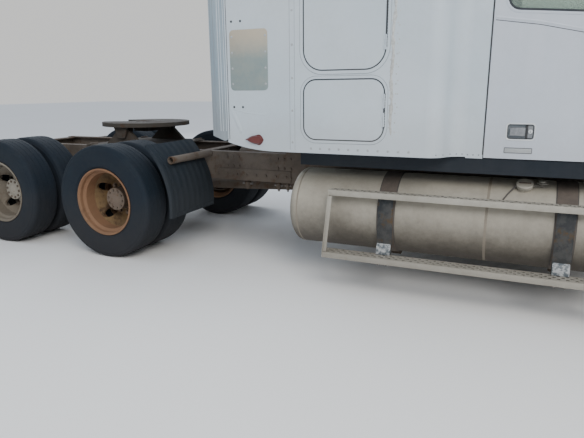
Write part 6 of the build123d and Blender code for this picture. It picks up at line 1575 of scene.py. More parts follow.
@dataclass
class SleeperSide:
    """Sheet-metal detail of one sleeper side: hatch frames, rivets, patch plate and filler bead."""

    face: float = SLEEPER_HALF
    hatch_x: tuple[float, float] = (-0.102, 0.456)
    lower_z: tuple[float, float] = (1.111, 1.506)
    upper_z: tuple[float, float] = (1.572, 2.302)
    lower_corner: float = 0.085
    upper_corner: float = 0.13
    seam_x: float = -0.19
    rivet_z: float = 1.084
    rivet_pitch: float = 0.219
    patch_x: tuple[float, float] = (-0.677, -0.375)
    patch_z: tuple[float, float] = (1.442, 1.857)
    bead_x: float = 0.512
    bead_z: tuple[float, float] = (1.145, 2.02)
    bead_steps: int = 170
    band_x: tuple[float, ...] = (-0.833, -0.812, -0.776, -0.756, -0.728)
    foot_x: tuple[float, ...] = (0.8, 0.838, 0.874, 0.91, 0.944)
    foot_z: float = 1.03
    lap_z: tuple[float, float] = (1.03, 2.6)
    corner_foot: float = 1.09
    fold_x: tuple[float, float] = (-0.69, 0.7)
    fold_z: tuple[float, float] = (2.5985, 2.6005)
    extender_z: tuple[float, float] = (1.15, 3.56)
    holes: tuple[tuple[float, float], ...] = ((-0.659, 1.914), (-0.586, 1.914), (-0.656, 1.325),
        (-0.583, 1.325))
    hole_radius: float = 0.0085

    def hatch_trim(self, shop: Workshop) -> list[bpy.types.Object]:
        """Raised pale frame lines, dark rubber in the gap, and the dashed hinge line."""
        made = Kit(shop)
        for (z0, z1), corner, outer in ((self.lower_z, self.lower_corner, 0.025),
                (self.upper_z, self.upper_corner, 0.029)):
            loop = rounded(*self.hatch_x, z0, z1, corner, 10)
            for name, finish, low, high, proud in (("hatch_frame", PAINT, 0.007, outer, 0.0026),
                    ("hatch_edge", SHADE, outer, outer + 0.003, 0.001)):
                section = [(low, -0.0006), (low + 0.001, proud), (high - 0.001, proud),
                    (high, -0.0006)]
                line = ring_strip(loop, section, self.face).object(name, smooth=60)
                made.append(shop.coat(line, finish))
            seal = ring_strip(loop, [(-0.0012, -0.008), (-0.0012, 0.0006), (0.007, 0.0006),
                    (0.007, -0.008)], self.face).object("hatch_seal", smooth=60)
            made.append(shop.coat(seal, SEAM))
            length = z1 - z0 - 2 * corner
            knuckle = Shape().box((-0.006, -0.0006, 0.0), (0.006, 0.0042, 0.0145))
            made.row(knuckle, SEAM, int(length / 0.0172), (0.0, 0.0, 0.0172),
                (self.hatch_x[1] + 0.0055, self.face, z0 + corner))
        return made

    def rivets(self, shop: Workshop) -> list[bpy.types.Object]:
        """Rivet rows on the seam, the patch plate, the sill edge and the roof joint."""
        head = dome(0.0085, 0.0036, 10)
        patch_foot = self.patch_z[0] + 0.045
        rows = [(self.seam_x, 0.0006, self.rivet_z, 5, (0.0, 0.0, self.rivet_pitch)),
            (self.patch_x[0] + 0.018, 0.0014, patch_foot, 4, (0.0, 0.0, 0.108)),
            (self.patch_x[1] - 0.018, 0.0014, patch_foot, 4, (0.0, 0.0, 0.108)),
            (-0.05, -0.0002, 1.045, 11, (0.068, 0.0, 0.0)),
            (-0.64, -0.0002, 2.625, 21, (0.066, 0.0, 0.0))]
        return [shop.row(head, RIVET, count, step, (x, self.face + lift, z), turn=OUTWARD)
            for x, lift, z, count, step in rows]

    def plates(self, shop: Workshop) -> list[bpy.types.Object]:
        """Dull patch plate, lap seam strips, corner creases, and flat dark discs of painted shade
        that stand for small open holes.
        """
        patch = Shape().prism(rounded(*self.patch_x, *self.patch_z, 0.03, 6), self.face - 0.0005,
            self.face + 0.0018).object("patch_plate", bevel=0.0005)
        made = [shop.coat(patch, PATCH)]
        for name, finish, x, half, proud in (("lap_strip", PAINT, self.seam_x, 0.017, 0.001),
                ("lap_edge", SHADE, self.seam_x - 0.0185, 0.0015, 0.0004),
                ("lap_edge", SHADE, self.seam_x + 0.018, 0.001, 0.0004),
                ("corner_edge", SEAM, -0.702, 0.002, 0.0012)):
            foot = self.corner_foot if finish is SEAM else self.lap_z[0]
            strip = Shape().box((x - half, self.face - 0.0005, foot),
                (x + half, self.face + proud, self.lap_z[1]))
            made.append(shop.part(name, strip, finish))
        (x0, x1), (z0, z1) = (self.fold_x, self.fold_z)
        fold = Shape().box((x0, self.face - 0.0005, z0), (x1, self.face + 0.0016, z1))
        made.append(shop.part("roof_lap", fold, SEAM))
        for half, line in ((0.015, ((-0.692, 1.33, 0.0006), (-0.67, 1.29, 0.0032),
                (-0.645, 1.24, 0.0056), (-0.628, 1.2, 0.0054), (-0.612, 1.165, 0.003),
                (-0.604, 1.135, 0.0006))), (0.007, ((-0.692, 1.322, 0.0005), (-0.62, 1.3, 0.0024),
                (-0.546, 1.284, 0.003), (-0.46, 1.276, 0.0018), (-0.39, 1.272, 0.0005)))):
            crease = Shape().loft([[(x - half, self.face - 0.0006, z - half),
                        (x - half * 0.3, self.face + high, z - half * 0.2),
                        (x + half * 0.2, self.face + high, z + half * 0.2),
                        (x + half, self.face - 0.0006, z + half)] for x, z, high in line])
            made.append(shop.part("corner_crease", crease, PAINT, smooth=80))
        # Flat discs in the dark seam colour stand for the holes; their darkness is painted shade.
        holes = Shape()
        r = self.hole_radius
        for x, z in self.holes:
            ring = [(x + r * math.cos(t), z + r * math.sin(t)) for t in around(16)]
            holes.prism(ring, self.face - 0.0004, self.face + 0.0004)
        made.append(shop.part("open_holes", holes, SEAM))
        return made

    def foot_rivets(self, shop: Workshop) -> bpy.types.Object:
        """Small rivets along the foot of the slanted step, each set on the shell's own skin."""
        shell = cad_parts["sleeper_shell"]
        head = dome(0.005, 0.0022, 8)
        row = Shape()
        for x in self.foot_x:
            hit, spot, normal, _ = shell.ray_cast(Vector((x, self.face + 0.2, self.foot_z)),
                Vector((0.0, -1.0, 0.0)))
            if not hit or spot.y < CAB_HALF - 0.02:
                log.warning("no skin for the foot rivet at x %.3f", x)
                continue
            turn = normal.to_track_quat("Z", "X").to_matrix().to_4x4()
            row.add(head.verts, head.faces).moved(Matrix.Translation(spot - normal * 0.0002) @ turn)
        return shop.part("foot_rivets", row, SHADE)

    def filler_bead(self, shop: Workshop) -> bpy.types.Object:
        """Rough blistered sealant line ahead of the hatches."""
        rings = []
        for i in range(self.bead_steps + 1):
            z = self.bead_z[0] + (self.bead_z[1] - self.bead_z[0]) * i / self.bead_steps
            sway = 0.01 * math.sin(z * 3.1) + 0.004 * math.sin(z * 23.0 + 1.3)
            width = 0.0105 + 0.0045 * math.sin(z * 61.0) * math.sin(z * 17.0 + 0.6)
            high = 0.003 + 0.0016 * math.sin(z * 87.0 + 0.4) + 0.0013 * math.sin(z * 39.0)
            taper = min(1.0, (z - self.bead_z[0]) / 0.06 + 0.05, (self.bead_z[1] - z) / 0.06 + 0.05)
            width, high = width * taper, max(0.0006, high) * taper
            x = self.bead_x + sway
            rings.append([(x + width * math.cos(t), self.face - 0.0004 + high * math.sin(t), z)
                    for t in (math.pi * k / 6 for k in range(7))])
        bead = Shape().loft(rings, loop=False, caps=False).object("filler_bead", smooth=80)
        shop.coat(bead, FILLER)
        blister = dome(0.0048, 0.0021, 8)
        specks = Kit(shop)
        for shift, pitch, start in ((-0.02, 0.047, 1.2), (0.019, 0.061, 1.17),
                (0.031, 0.083, 1.33)):
            specks.row(blister, FILLER, int(0.75 / pitch), (0.0, 0.0, pitch),
                (self.bead_x + shift, self.face - 0.0005, start), turn=OUTWARD, jitter=0.35)
        return joined("filler_bead", [bead] + specks)

    def extender_bands(self, shop: Workshop) -> list[bpy.types.Object]:
        """Shallow upright ribs of the side extender: the front three in the lighter cab paint as
        painted highlight, the two rearmost in the shade colour as painted shade.
        """
        made = Kit(shop)
        for x in self.band_x:
            rib = Shape().prism([(x - 0.0028, self.face - 0.0006), (x - 0.0016, self.face + 0.0014),
                    (x + 0.0016, self.face + 0.0014), (x + 0.0028, self.face - 0.0006)],
                *self.extender_z, "Z")
            # Lighter cab paint on a rib is painted highlight; the shade colour is painted shade.
            made.part("extender_rib", rib, PAINT if x > -0.78 else SHADE, smooth=60)
        return made

    def build(self, side: float, shop: Workshop) -> bpy.types.Object:
        """Builds all trim of one side as one piece.

        Args:
            side: 1 for the left, -1 for the right.
            shop: the shared tools.

        Returns:
            The piece.
        """
        parts = self.hatch_trim(shop) + self.rivets(shop) + self.plates(shop)
        parts += [self.filler_bead(shop), self.foot_rivets(shop)]
        parts += self.extender_bands(shop)
        return sided("sleeper_side_trim_" + word_of(side), parts, side)


@dataclass
class DoorTrim:
    """Door furniture: handle, lock, blank plate, belt crease, window rubber and sill."""

    face: float = CAB_HALF
    lean: float = 0.045
    handle: tuple[float, float, float, float] = (1.199, 1.361, 1.13, 1.23)
    plate: tuple[float, float, float, float] = (1.194, 1.355, 1.047, 1.081)
    sill: tuple[float, float, float, float] = (1.0695, 2.0305, 0.8105, 1.006)
    floor_z: float = 1.05
    window: tuple[float, float, float] = (1.155, 1.965, 2.52)
    window_radius: float = 0.07
    crease: tuple[Point, ...] = ((1.086, 0.0, 1.861), (1.33, 0.0, 1.822), (1.56, 0.0, 1.768),
        (1.96, 0.0, 1.742))

    def skin_y(self, z: float) -> float:
        """Outer face of the door at a height, leaning in above the belt."""
        return self.face - self.lean * max(0.0, z - BELT_Z) / (CAB_TOP - BELT_Z)

    def build(self, side: float, shop: Workshop) -> bpy.types.Object:
        """Builds one door's trim.

        Args:
            side: 1 for the left, -1 for the right.
            shop: the shared tools.

        Returns:
            The piece.
        """
        x0, x1, z0, z1 = self.handle
        parts = Kit(shop)
        cup = rounded(x0, x1, z0, z1, 0.02, 6)
        bezel = ring_strip(cup, [(-0.0046, -0.017), (-0.0046, 0.0012), (-0.0025, 0.003),
                (0.003, 0.003), (0.0055, -0.0006)], self.face)
        parts.part("handle_bezel", bezel, BEZEL, smooth=50)
        # The cup's dark walls and its floor in the shade colour are painted shade in the recess.
        cup_shade = ring_strip(cup, [(-0.0049, -0.0168), (-0.0049, -0.0012), (-0.0076, -0.003),
                (-0.0076, -0.0168)], self.face)
        parts.part("handle_lining", cup_shade, SEAM, smooth=50)
        back = Shape().prism(offset_loop(cup, -0.0047), self.face - 0.0175, self.face - 0.0166)
        parts.part("handle_back", back, SHADE)
        shadow = Shape().box((x1 - 0.052, self.face - 0.0168, z0 + 0.009),
            (x1 - 0.04, self.face - 0.008, z1 - 0.009))
        parts.part("paddle_gap", shadow, SEAM, bevel=0.001)
        panel = Shape().box((x1 - 0.04, self.face - 0.0168, z0 + 0.01),
            (x1 - 0.009, self.face - 0.0095, z1 - 0.01))
        parts.part("lock_panel", panel, HANDLE, bevel=0.002)
        paddle = Shape().loft([[(x, self.face + y, z)
                    for y, z in ((-0.0168, z0 + 0.024 - grow), (0.0065 + grow, z0 + 0.0265 - grow),
                    (0.007 + grow, z1 - 0.0265 + grow), (-0.0168, z1 - 0.024 + grow))]
                for x, grow in ((x0 + 0.0195, 0.0), (x1 - 0.0535, 0.002))])
        parts.part("handle_paddle", paddle, HANDLE, bevel=0.003, levels=3)
        lock = Shape().turned([(-0.0045, 0.0), (-0.0045, 0.0095), (-0.0055, 0.0125),
                (-0.017, 0.013)], (x1 - 0.0245, self.face, z0 + 0.052), "Y", 28, closed=False)
        parts.part("door_lock", lock, BEZEL)
        slot = Shape().box((x1 - 0.0257, self.face - 0.005, z0 + 0.045),
            (x1 - 0.0233, self.face - 0.004, z0 + 0.059))
        parts.part("lock_slot", slot, SEAM)
        px0, px1, pz0, pz1 = self.plate
        badge = Shape().prism(rounded(px0, px1, pz0, pz1, 0.003, 2), self.face - 0.0003,
            self.face + 0.0018)
        parts.part("blank_plate", badge, RIVET, bevel=0.0007)
        edge = ring_strip(rounded(px0, px1, pz0, pz1, 0.003, 2),
            [(-0.003, 0.0016), (-0.0028, 0.0024), (-0.0002, 0.0024), (0.0004, -0.0004)], self.face)
        parts.part("plate_edge", edge, SEAM)
        for name, finish, section in (("belt_crease", DOOR_PAINT,
                ((-0.0006, -0.015), (0.0022, -0.004), (0.0036, 0.0), (0.0006, 0.0055),
                (-0.0006, 0.007))), ("belt_shadow", SEAM, ((-0.0006, -0.0205), (0.0006, -0.02),
                (0.0006, -0.0165), (-0.0006, -0.016)))):
            line = [[(x, self.skin_y(z) + up, z + dz) for up, dz in section]
                for x, _, z in self.crease]
            parts.part(name, Shape().loft(line), finish, smooth=70)
        for name, finish, low, high, proud in (("window_rubber", SEAM, -0.004, 0.009, 0.0026),
                ("window_frame", DOOR_PAINT, 0.009, 0.024, 0.0036)):
            parts.part(name, self.window_strip(low, high, proud), finish, smooth=50)
        parts.append(self.divider(shop))
        return sided("door_trim_" + word_of(side), parts, side)

    def window_loop(self) -> list[tuple[float, float]]:
        """Outline of the door's glass, which rises to the rear and leans with the pillar."""
        rear, front, top = self.window
        radius = self.window_radius
        loop = []
        for k in range(7):
            a = math.radians(180 + 90 * k / 6)
            loop.append((rear + radius + radius * math.cos(a),
                    1.898 + radius + radius * math.sin(a)))
        for k in range(1, 6):
            t = 0.0864 + 0.9136 * k / 5
            loop.append((rear + (front - rear) * t, 1.905 - 0.077 * t))
        slope = SCREEN_LEAN
        for k in range(9):
            z = 1.86 + (top - 0.05 - 1.86) * k / 8
            loop.append((front - slope * max(0.0, z - BELT_Z), z))
        loop.append((front - slope * (top - BELT_Z) - 0.035, top))
        for k in range(7):
            a = math.radians(90 + 90 * k / 6)
            loop.append((rear + radius + radius * math.cos(a), top - radius + radius * math.sin(a)))
        return loop

    def window_strip(self, low: float, high: float, proud: float) -> Shape:
        """Channel or frame round the side glass, between two distances out from its edge."""
        loop = self.window_loop()
        rings = []
        for (xi, zi), (xo, zo) in zip(offset_loop(loop, low), offset_loop(loop, high)):
            yi, yo = self.skin_y(zi), self.skin_y(zo)
            rings.append([(xi, yi - 0.004, zi), (xi, yi + proud * 0.7, zi),
                    ((xi + xo) / 2, (yi + yo) / 2 + proud, (zi + zo) / 2),
                    (xo, yo + proud * 0.5, zo), (xo, yo - 0.002, zo)])
        return Shape().loft(rings, caps=False, closed=True)

    def divider(self, shop: Workshop) -> bpy.types.Object:
        """Slanted divider bar of the side window."""
        divider = Shape().loft([[(x - 0.012, self.skin_y(z) - 0.012, z),
                    (x - 0.012, self.skin_y(z) + 0.0012, z),
                    (x + 0.012, self.skin_y(z) + 0.0012, z), (x + 0.012, self.skin_y(z) - 0.012, z)]
                for x, z in ((1.742, 1.858), (1.64, 2.515))])
        return shop.part("window_divider", divider, BLACK, bevel=0.002)

    def threshold(self, shop: Workshop) -> list[bpy.types.Object]:
        """Ribbed sill plate at the door, over the strip that the CAD's floor leaves open."""
        x0, x1, y0, y1 = self.sill
        plate = Shape().box((x0, y0, self.floor_z - 0.014), (x1, y1, self.floor_z - 0.0002))
        lip = Shape().box((x0, y1 - 0.004, self.floor_z - 0.036), (x1, y1, self.floor_z - 0.014))
        ribs = shop.row(Shape().box((x0 + 0.012, -0.004, -0.0004), (x1 - 0.012, 0.004, 0.0016)),
            STEP, 8, (0.0, 0.0225, 0.0), (0.0, y0 + 0.019, self.floor_z))
        return [shop.part("sill_plate", plate, STEP, bevel=0.001),
            shop.part("sill_lip", lip, STEP, bevel=0.001), ribs]

    def jamb(self, side: float, shop: Workshop) -> bpy.types.Object:
        """Rubber along the cab's edge behind the door, and the rivets at its foot."""
        line = [[(x, self.skin_y(z) + up, z) for x, up in ((1.0655, -0.0006), (1.0655, 0.0012),
                    (1.0738, 0.0012), (1.0738, -0.0006))] for z in (1.03, BELT_Z, 2.58)]
        rivets = shop.row(dome(0.005, 0.0022, 8), SHADE, 3, (0.034, 0.0, 0.0),
            (0.978, self.face - 0.0002, 1.027), turn=OUTWARD)
        seal = shop.part("jamb_seal", Shape().loft(line), SEAM)
        return sided("door_jamb_" + word_of(side), [seal, rivets, *self.threshold(shop)], side)


@dataclass
class FrontEnd:
    """Bonnet face detail: headlamp bezels, bowls and glass ribs, and an insect screen."""

    lamp_z: tuple[float, float] = (0.88, 1.05)
    lamp_y: tuple[tuple[float, float], ...] = ((0.765, 0.907), (0.923, 1.065))
    screen_half: float = 0.515
    screen_z: tuple[float, float] = (0.79, 1.375)
    screen_gap: float = 0.004
    wire_pitch: float = 0.0125

    def lamps(self, shop: Workshop) -> list[bpy.types.Object]:
        """Bezels, bowl reflectors and glass ribs in front of each headlamp body."""
        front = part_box("headlamps")[1][0]
        z0, z1 = self.lamp_z
        parts = Kit(shop)
        for y0, y1 in self.lamp_y:
            for way in (1, -1):
                low, high = sorted((y0 * way, y1 * way))
                cy, cz = (low + high) / 2, (z0 + z1) / 2
                loop = rounded(low + 0.002, high - 0.002, z0 + 0.002, z1 - 0.002, 0.022, 6)
                bezel = []
                for out, off in ((0.0, 0.0), (0.0, 0.006), (-0.01, 0.004), (-0.014, -0.004)):
                    bezel.append([(front + off, y, z) for y, z in offset_loop(loop, out)])
                parts.part("lamp_bezel", Shape().loft([list(r) for r in zip(*bezel)], caps=False,
                        closed=True), BRIGHT, smooth=45)
                bowl = Shape().turned([(0.0005, 0.062), (0.0015, 0.058), (0.0012, 0.02),
                        (0.0009, 0.0)], (front, cy, cz), "X", 40, closed=False)
                parts.part("lamp_bowl", bowl, BRIGHT)
                ribs = shop.row(Shape().box((0, -0.0012, -0.056), (0.0022, 0.0012, 0.056)), LENS, 9,
                    (0.0, 0.0125, 0.0), (front + 0.0016, cy - 0.05, cz))
                parts.append(ribs)
        return parts

    def screen(self, shop: Workshop) -> bpy.types.Object:
        """Insect screen behind the grille: a dark sheet with upright wires, in a flat frame; the
        sheet's near-black is painted shade behind the grille, partly the dark radiator behind it.
        """
        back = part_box("grille")[0][0] - self.screen_gap
        half, (low, high) = (self.screen_half, self.screen_z)
        # The near-black sheet is painted shade behind the grille.
        sheet = Shape().box((back - 0.003, -half, low), (back, half, high))
        wires = shop.row(Shape().box((0.0, -0.0012, low), (0.0022, 0.0012, high)), FRAME,
            int(2 * half / self.wire_pitch), (0.0, self.wire_pitch, 0.0),
            (back, -half + self.wire_pitch / 2, 0.0))
        rim = Shape()
        for y0, y1, z0, z1 in ((-half, half, low, low + 0.02), (-half, half, high - 0.02, high),
                (-half, -half + 0.02, low, high), (half - 0.02, half, low, high)):
            rim.box((back - 0.006, y0, z0), (back + 0.0035, y1, z1))
        return joined("grille_screen", [shop.part("screen_sheet", sheet, SEAM), wires,
                shop.part("screen_rim", rim, BLACK, bevel=0.001)])

    def build(self, shop: Workshop) -> bpy.types.Object:
        """Builds the headlamps' detail."""
        return joined("headlamp_detail", self.lamps(shop))


@dataclass
class Pad:
    """Upholstered pad: crowned top, sides that pull in, sewn channels and piping."""

    length: float
    width: float
    thick: float
    channels: tuple[float, ...] = ()
    cross: tuple[float, ...] = ()
    square: float = 7.0
    cells: int = 44
    under: float = 0.3
    crown: float = 0.86
    groove: float = 0.1
    groove_half: float = 0.035
    cord: float = 0.0035

    def point(self, u: float, v: float, top: bool) -> Point:
        """Place of one surface point, u and v from -1 to 1."""
        pull = 0.965 + 0.035 * max(abs(u), abs(v)) ** 4 * min(abs(u), abs(v)) ** 2
        x = self.length / 2 * u * pull
        y = self.width / 2 * v * pull
        edge = (1 - abs(u) ** self.square) * (1 - abs(v) ** self.square)
        high = max(edge, 0.0) ** 0.38
        if not top:
            return (x, y, self.thick * (self.under - self.under * high))
        crown = self.crown + 0.14 * (1 - u * u) * (1 - v * v)
        z = self.thick * (self.under + (crown - self.under) * high)
        for lines, at in ((self.channels, v), (self.cross, u)):
            for c in lines:
                z -= self.groove * self.thick * high * math.exp(-((at - c) / self.groove_half) ** 2)
        z += 0.01 * self.thick * math.sin(9 * u + 4 * v) * high
        return (x, y, z)

    def form(self) -> Shape:
        """Closed surface of the pad, drawn flat on Z = 0 with its middle at the origin."""
        n = self.cells
        grid = [-1 + 2 * i / n for i in range(n + 1)]
        ease = [math.copysign(1 - (1 - abs(g)) ** 1.7, g) for g in grid]
        shape = Shape()
        for top in (True, False):
            verts = [self.point(u, v, top) for u in ease for v in ease]
            faces = [(i * (n + 1) + j, (i + 1) * (n + 1) + j, (i + 1) * (n + 1) + j + 1,
                    i * (n + 1) + j + 1) for i in range(n) for j in range(n)]
            shape.add(verts, faces)
        return shape

    def piping(self) -> Shape:
        """Sewn cord round the widest line."""
        n = 24
        line = [(-1 + 2 * i / n, -1.0) for i in range(n)] + [(1.0, -1 + 2 * i / n)
            for i in range(n)]
        line += [(1 - 2 * i / n, 1.0) for i in range(n)] + [(-1.0, 1 - 2 * i / n) for i in range(n)]
        path = [self.point(u, v, True) for u, v in line]
        rings = []
        for i, p in enumerate(path):
            a, b = Vector(path[i - 1]), Vector(path[(i + 1) % len(path)])
            out = (b - a).cross(Vector((0, 0, 1))).normalized()
            rings.append([Vector(p) + out * self.cord * math.cos(t)
                    + Vector((0, 0, self.cord * math.sin(t))) for t in around(6)])
        return Shape().loft(rings, caps=False, closed=True)

    def build(self, name: str, place: Matrix, cloth: Finish, shop: Workshop) -> bpy.types.Object:
        """Builds the pad with its piping at a place.

        Args:
            name: the object's name.
            place: from the pad's own frame to the vehicle's.
            cloth: its finish.
            shop: the shared tools.

        Returns:
            The object.
        """
        body = shop.part(name, self.form(), cloth, smooth=180)
        cord = shop.part(name + "_piping", self.piping(), TRIM, smooth=180)
        piece = joined(name, [body, cord])
        piece.data.transform(place)
        return piece


@dataclass
class CabInside:
    """Seats, bunk, steering wheel and the driver's gauges."""

    seat_y: float = 0.48
    cushion: Point = (0.495, 0.5, 0.134)
    cushion_at: tuple[float, float] = (1.275, 1.2945)
    back: Point = (0.67, 0.49, 0.112)
    back_at: tuple[float, float] = (0.984, 1.773)
    back_foot: tuple[float, float] = (0.945, 1.4303)
    back_head: tuple[float, float] = (1.005, 2.12)
    bunk_size: Point = (0.852, 2.312, 0.128)
    bunk_at: Point = (-0.24, 0.0, 1.4405)
    bunk_half: float = 1.161
    dash_foot: tuple[float, float] = (1.84, 1.56)
    dash_face: tuple[float, float] = (0.06, 0.09)
    wheel_place: Point = (1.68, 0.48, 1.62)
    wheel_radius: float = 0.225
    grip: float = 0.0148

    def seats(self, shop: Workshop) -> None:
        """Cushions and backs in sewn cloth on suspension pedestals."""
        pads, frames = [], []
        tilt = math.atan2(self.back_head[1] - self.back_foot[1],
            self.back_head[0] - self.back_foot[0])
        for way in (1, -1):
            y = self.seat_y * way
            place = Matrix.Translation((self.cushion_at[0], y, self.cushion_at[1]))
            pads.append(
                Pad(*self.cushion, (-0.55, 0.55), (-0.1,)).build("seat_cushion",
                    place, CLOTH, shop))
            lean = Matrix.Translation((self.back_at[0], y, self.back_at[1]))
            lean = lean @ Matrix.Rotation(math.pi / 2 - tilt, 4, "Y").inverted()
            lean = lean @ Matrix.Rotation(math.pi / 2, 4, "Y")
            pads.append(Pad(*self.back, (-0.55, 0.55),
                    (-0.45, 0.0, 0.42)).build("seat_back", lean, CLOTH, shop))
            base = Shape().box((1.06, y - 0.235, 1.272), (1.5, y + 0.235, 1.293))
            frames.append(shop.part("seat_pan", base, BLACK, bevel=0.004))
            bellows = []
            for k in range(13):
                half = 0.158 if k % 2 else 0.146
                bellows.append([(1.255 + x * half / 0.158, y + w, 1.062 + 0.0172 * k)
                        for x, w in rounded(-0.158, 0.158, -half, half, 0.03, 3)])
            frames.append(shop.part("seat_bellows", Shape().loft(bellows), BLACK, smooth=20))
            foot = Shape().box((1.09, y - 0.168, 1.0503), (1.42, y + 0.168, 1.063))
            frames.append(shop.part("seat_foot", foot, STEEL, bevel=0.003))
        cushions = joined("seat_pads", pads)
        shop.place(cushions, "chassis", "seat_cloth", "seats")
        shop.place(joined("seat_pedestals", frames), "chassis", "black_plastic", "seats")

    def bunk(self, shop: Workshop) -> None:
        """Mattress with sewn channels on its board."""
        mattress = Pad(*self.bunk_size, (-0.6, -0.2, 0.2, 0.6), (0.0,), square=12.0,
            cells=56).build("bunk_mattress", Matrix.Translation(self.bunk_at), MATTRESS, shop)
        shop.place(mattress, "chassis", "seat_cloth", "bunk")
        half = self.bunk_half
        board = Shape().box((-0.67, -half, 1.4202), (0.19, half, 1.4398))
        board = board.box((0.1702, -half, 1.0582),
            (0.1898, half, 1.4204)).object("bunk_board", bevel=0.003)
        shop.place(shop.coat(board, TRIM), "chassis", "trim_plastic", "bunk")

    def hand_wheel(self, shop: Workshop) -> None:
        """Rim with finger swells, three dished spokes and a blank centre."""
        turn = Matrix.Translation(self.wheel_place) @ Matrix.Rotation(math.radians(-45), 4,
            "Y") @ Matrix.Rotation(math.radians(90), 4, "Z")
        rings = []
        for i in range(144):
            a = 2 * math.pi * i / 144
            swell = self.grip - 0.0009 + 0.0009 * math.cos(36 * a)
            rings.append([((self.wheel_radius + swell * math.cos(t)) * math.cos(a),
                        (self.wheel_radius + swell * math.cos(t)) * math.sin(a),
                        swell * math.sin(t)) for t in around(14)])
        parts = [shop.part("wheel_grip", Shape().loft(rings, caps=False, closed=True), TRIM)]
        for spoke in range(3):
            a = 2 * math.pi * spoke / 3
            beam = []
            for r, z, w, t in ((0.03, -0.01, 0.017, 0.006), (0.1, -0.012, 0.014, 0.004),
                    (0.17, -0.006, 0.012, 0.004), (0.216, -0.001, 0.015, 0.005)):
                c, s = math.cos(a), math.sin(a)
                beam.append([(r * c - dy * s, r * s + dy * c, z + dz) for dy, dz in ((-w, -t),
                            (w, -t), (w * 0.8, t), (-w * 0.8, t))])
            parts.append(shop.part("wheel_spoke", Shape().loft(beam), BLACK, bevel=0.0015))
        hub = Shape().turned([(-0.044, 0.0), (-0.044, 0.036), (-0.03, 0.041), (-0.004, 0.0415),
                (0.0015, 0.037), (0.0035, 0.026), (0.0025, 0.024), (0.0045, 0.0)], (0, 0, 0),
            "Z", 48, False)
        parts.append(shop.part("wheel_centre", hub, BLACK, smooth=40))
        piece = joined("hand_wheel_set", parts)
        piece.data.transform(turn)
        shop.place(piece, "hand_wheel", "trim_plastic", "steering_wheel")

    def gauges(self, shop: Workshop) -> None:
        """Instrument bezels, ticked dials and switch rows on the leaning face of the dashboard."""
        parts = []
        run, rise_all = self.dash_face
        slope = math.atan2(run, rise_all)
        turn = Matrix.Rotation(slope - math.pi / 2, 4, "Y")
        for y, rise, size in ((0.4, 0.045, 0.036), (0.56, 0.045, 0.036), (0.315, 0.05, 0.02),
                (0.645, 0.05, 0.02), (0.48, 0.075, 0.018), (0.48, 0.028, 0.018)):
            spot = Matrix.Translation((self.dash_foot[0] + run * rise / rise_all - 0.0012, y,
                    self.dash_foot[1] + rise)) @ turn
            bezel = Shape().turned([(0.0, size), (0.0045, size), (0.006, size * 0.93),
                    (0.003, size * 0.86), (0.0005, size * 0.86)], (0, 0, 0), "Z", 36, False)
            dial = Shape().turned([(0.0006, size * 0.87), (0.0009, 0.0)], (0, 0, 0), "Z", 36, False)
            ticks = shop.ring(Shape().box((-size * 0.08, -0.0006, 0.0),
                    (size * 0.08, 0.0006, 0.0004)), MATTRESS, 18, size * 0.72, (0.0, 0.0, 0.001))
            needle = Shape().box((-0.0007, -size * 0.1, 0.0016), (0.0007, size * 0.66, 0.0022))
            group = [shop.part("gauge_bezel", bezel, BRIGHT), shop.part("gauge_dial", dial, SEAM),
                ticks, shop.part("gauge_needle", needle, LAMP_RED)]
            for obj in group:
                obj.data.transform(spot)
            parts += group
        for row in range(2):
            switches = shop.row(Shape().box((-0.004, -0.01, -0.015), (0.006, 0.01, 0.015)), BLACK,
                9, (0.0, -0.031, 0.0), (1.8285 + 0.0028 * row, 0.19, 1.39 + 0.052 * row),
                turn=(0.0, 0.06, 0.0))
            parts.append(switches)
        shop.place(joined("dash_gauges", parts), "chassis", "trim_plastic")

    def build(self, shop: Workshop) -> None:
        """Builds all of the inside."""
        self.seats(shop)
        self.bunk(shop)
        self.hand_wheel(shop)
        self.gauges(shop)


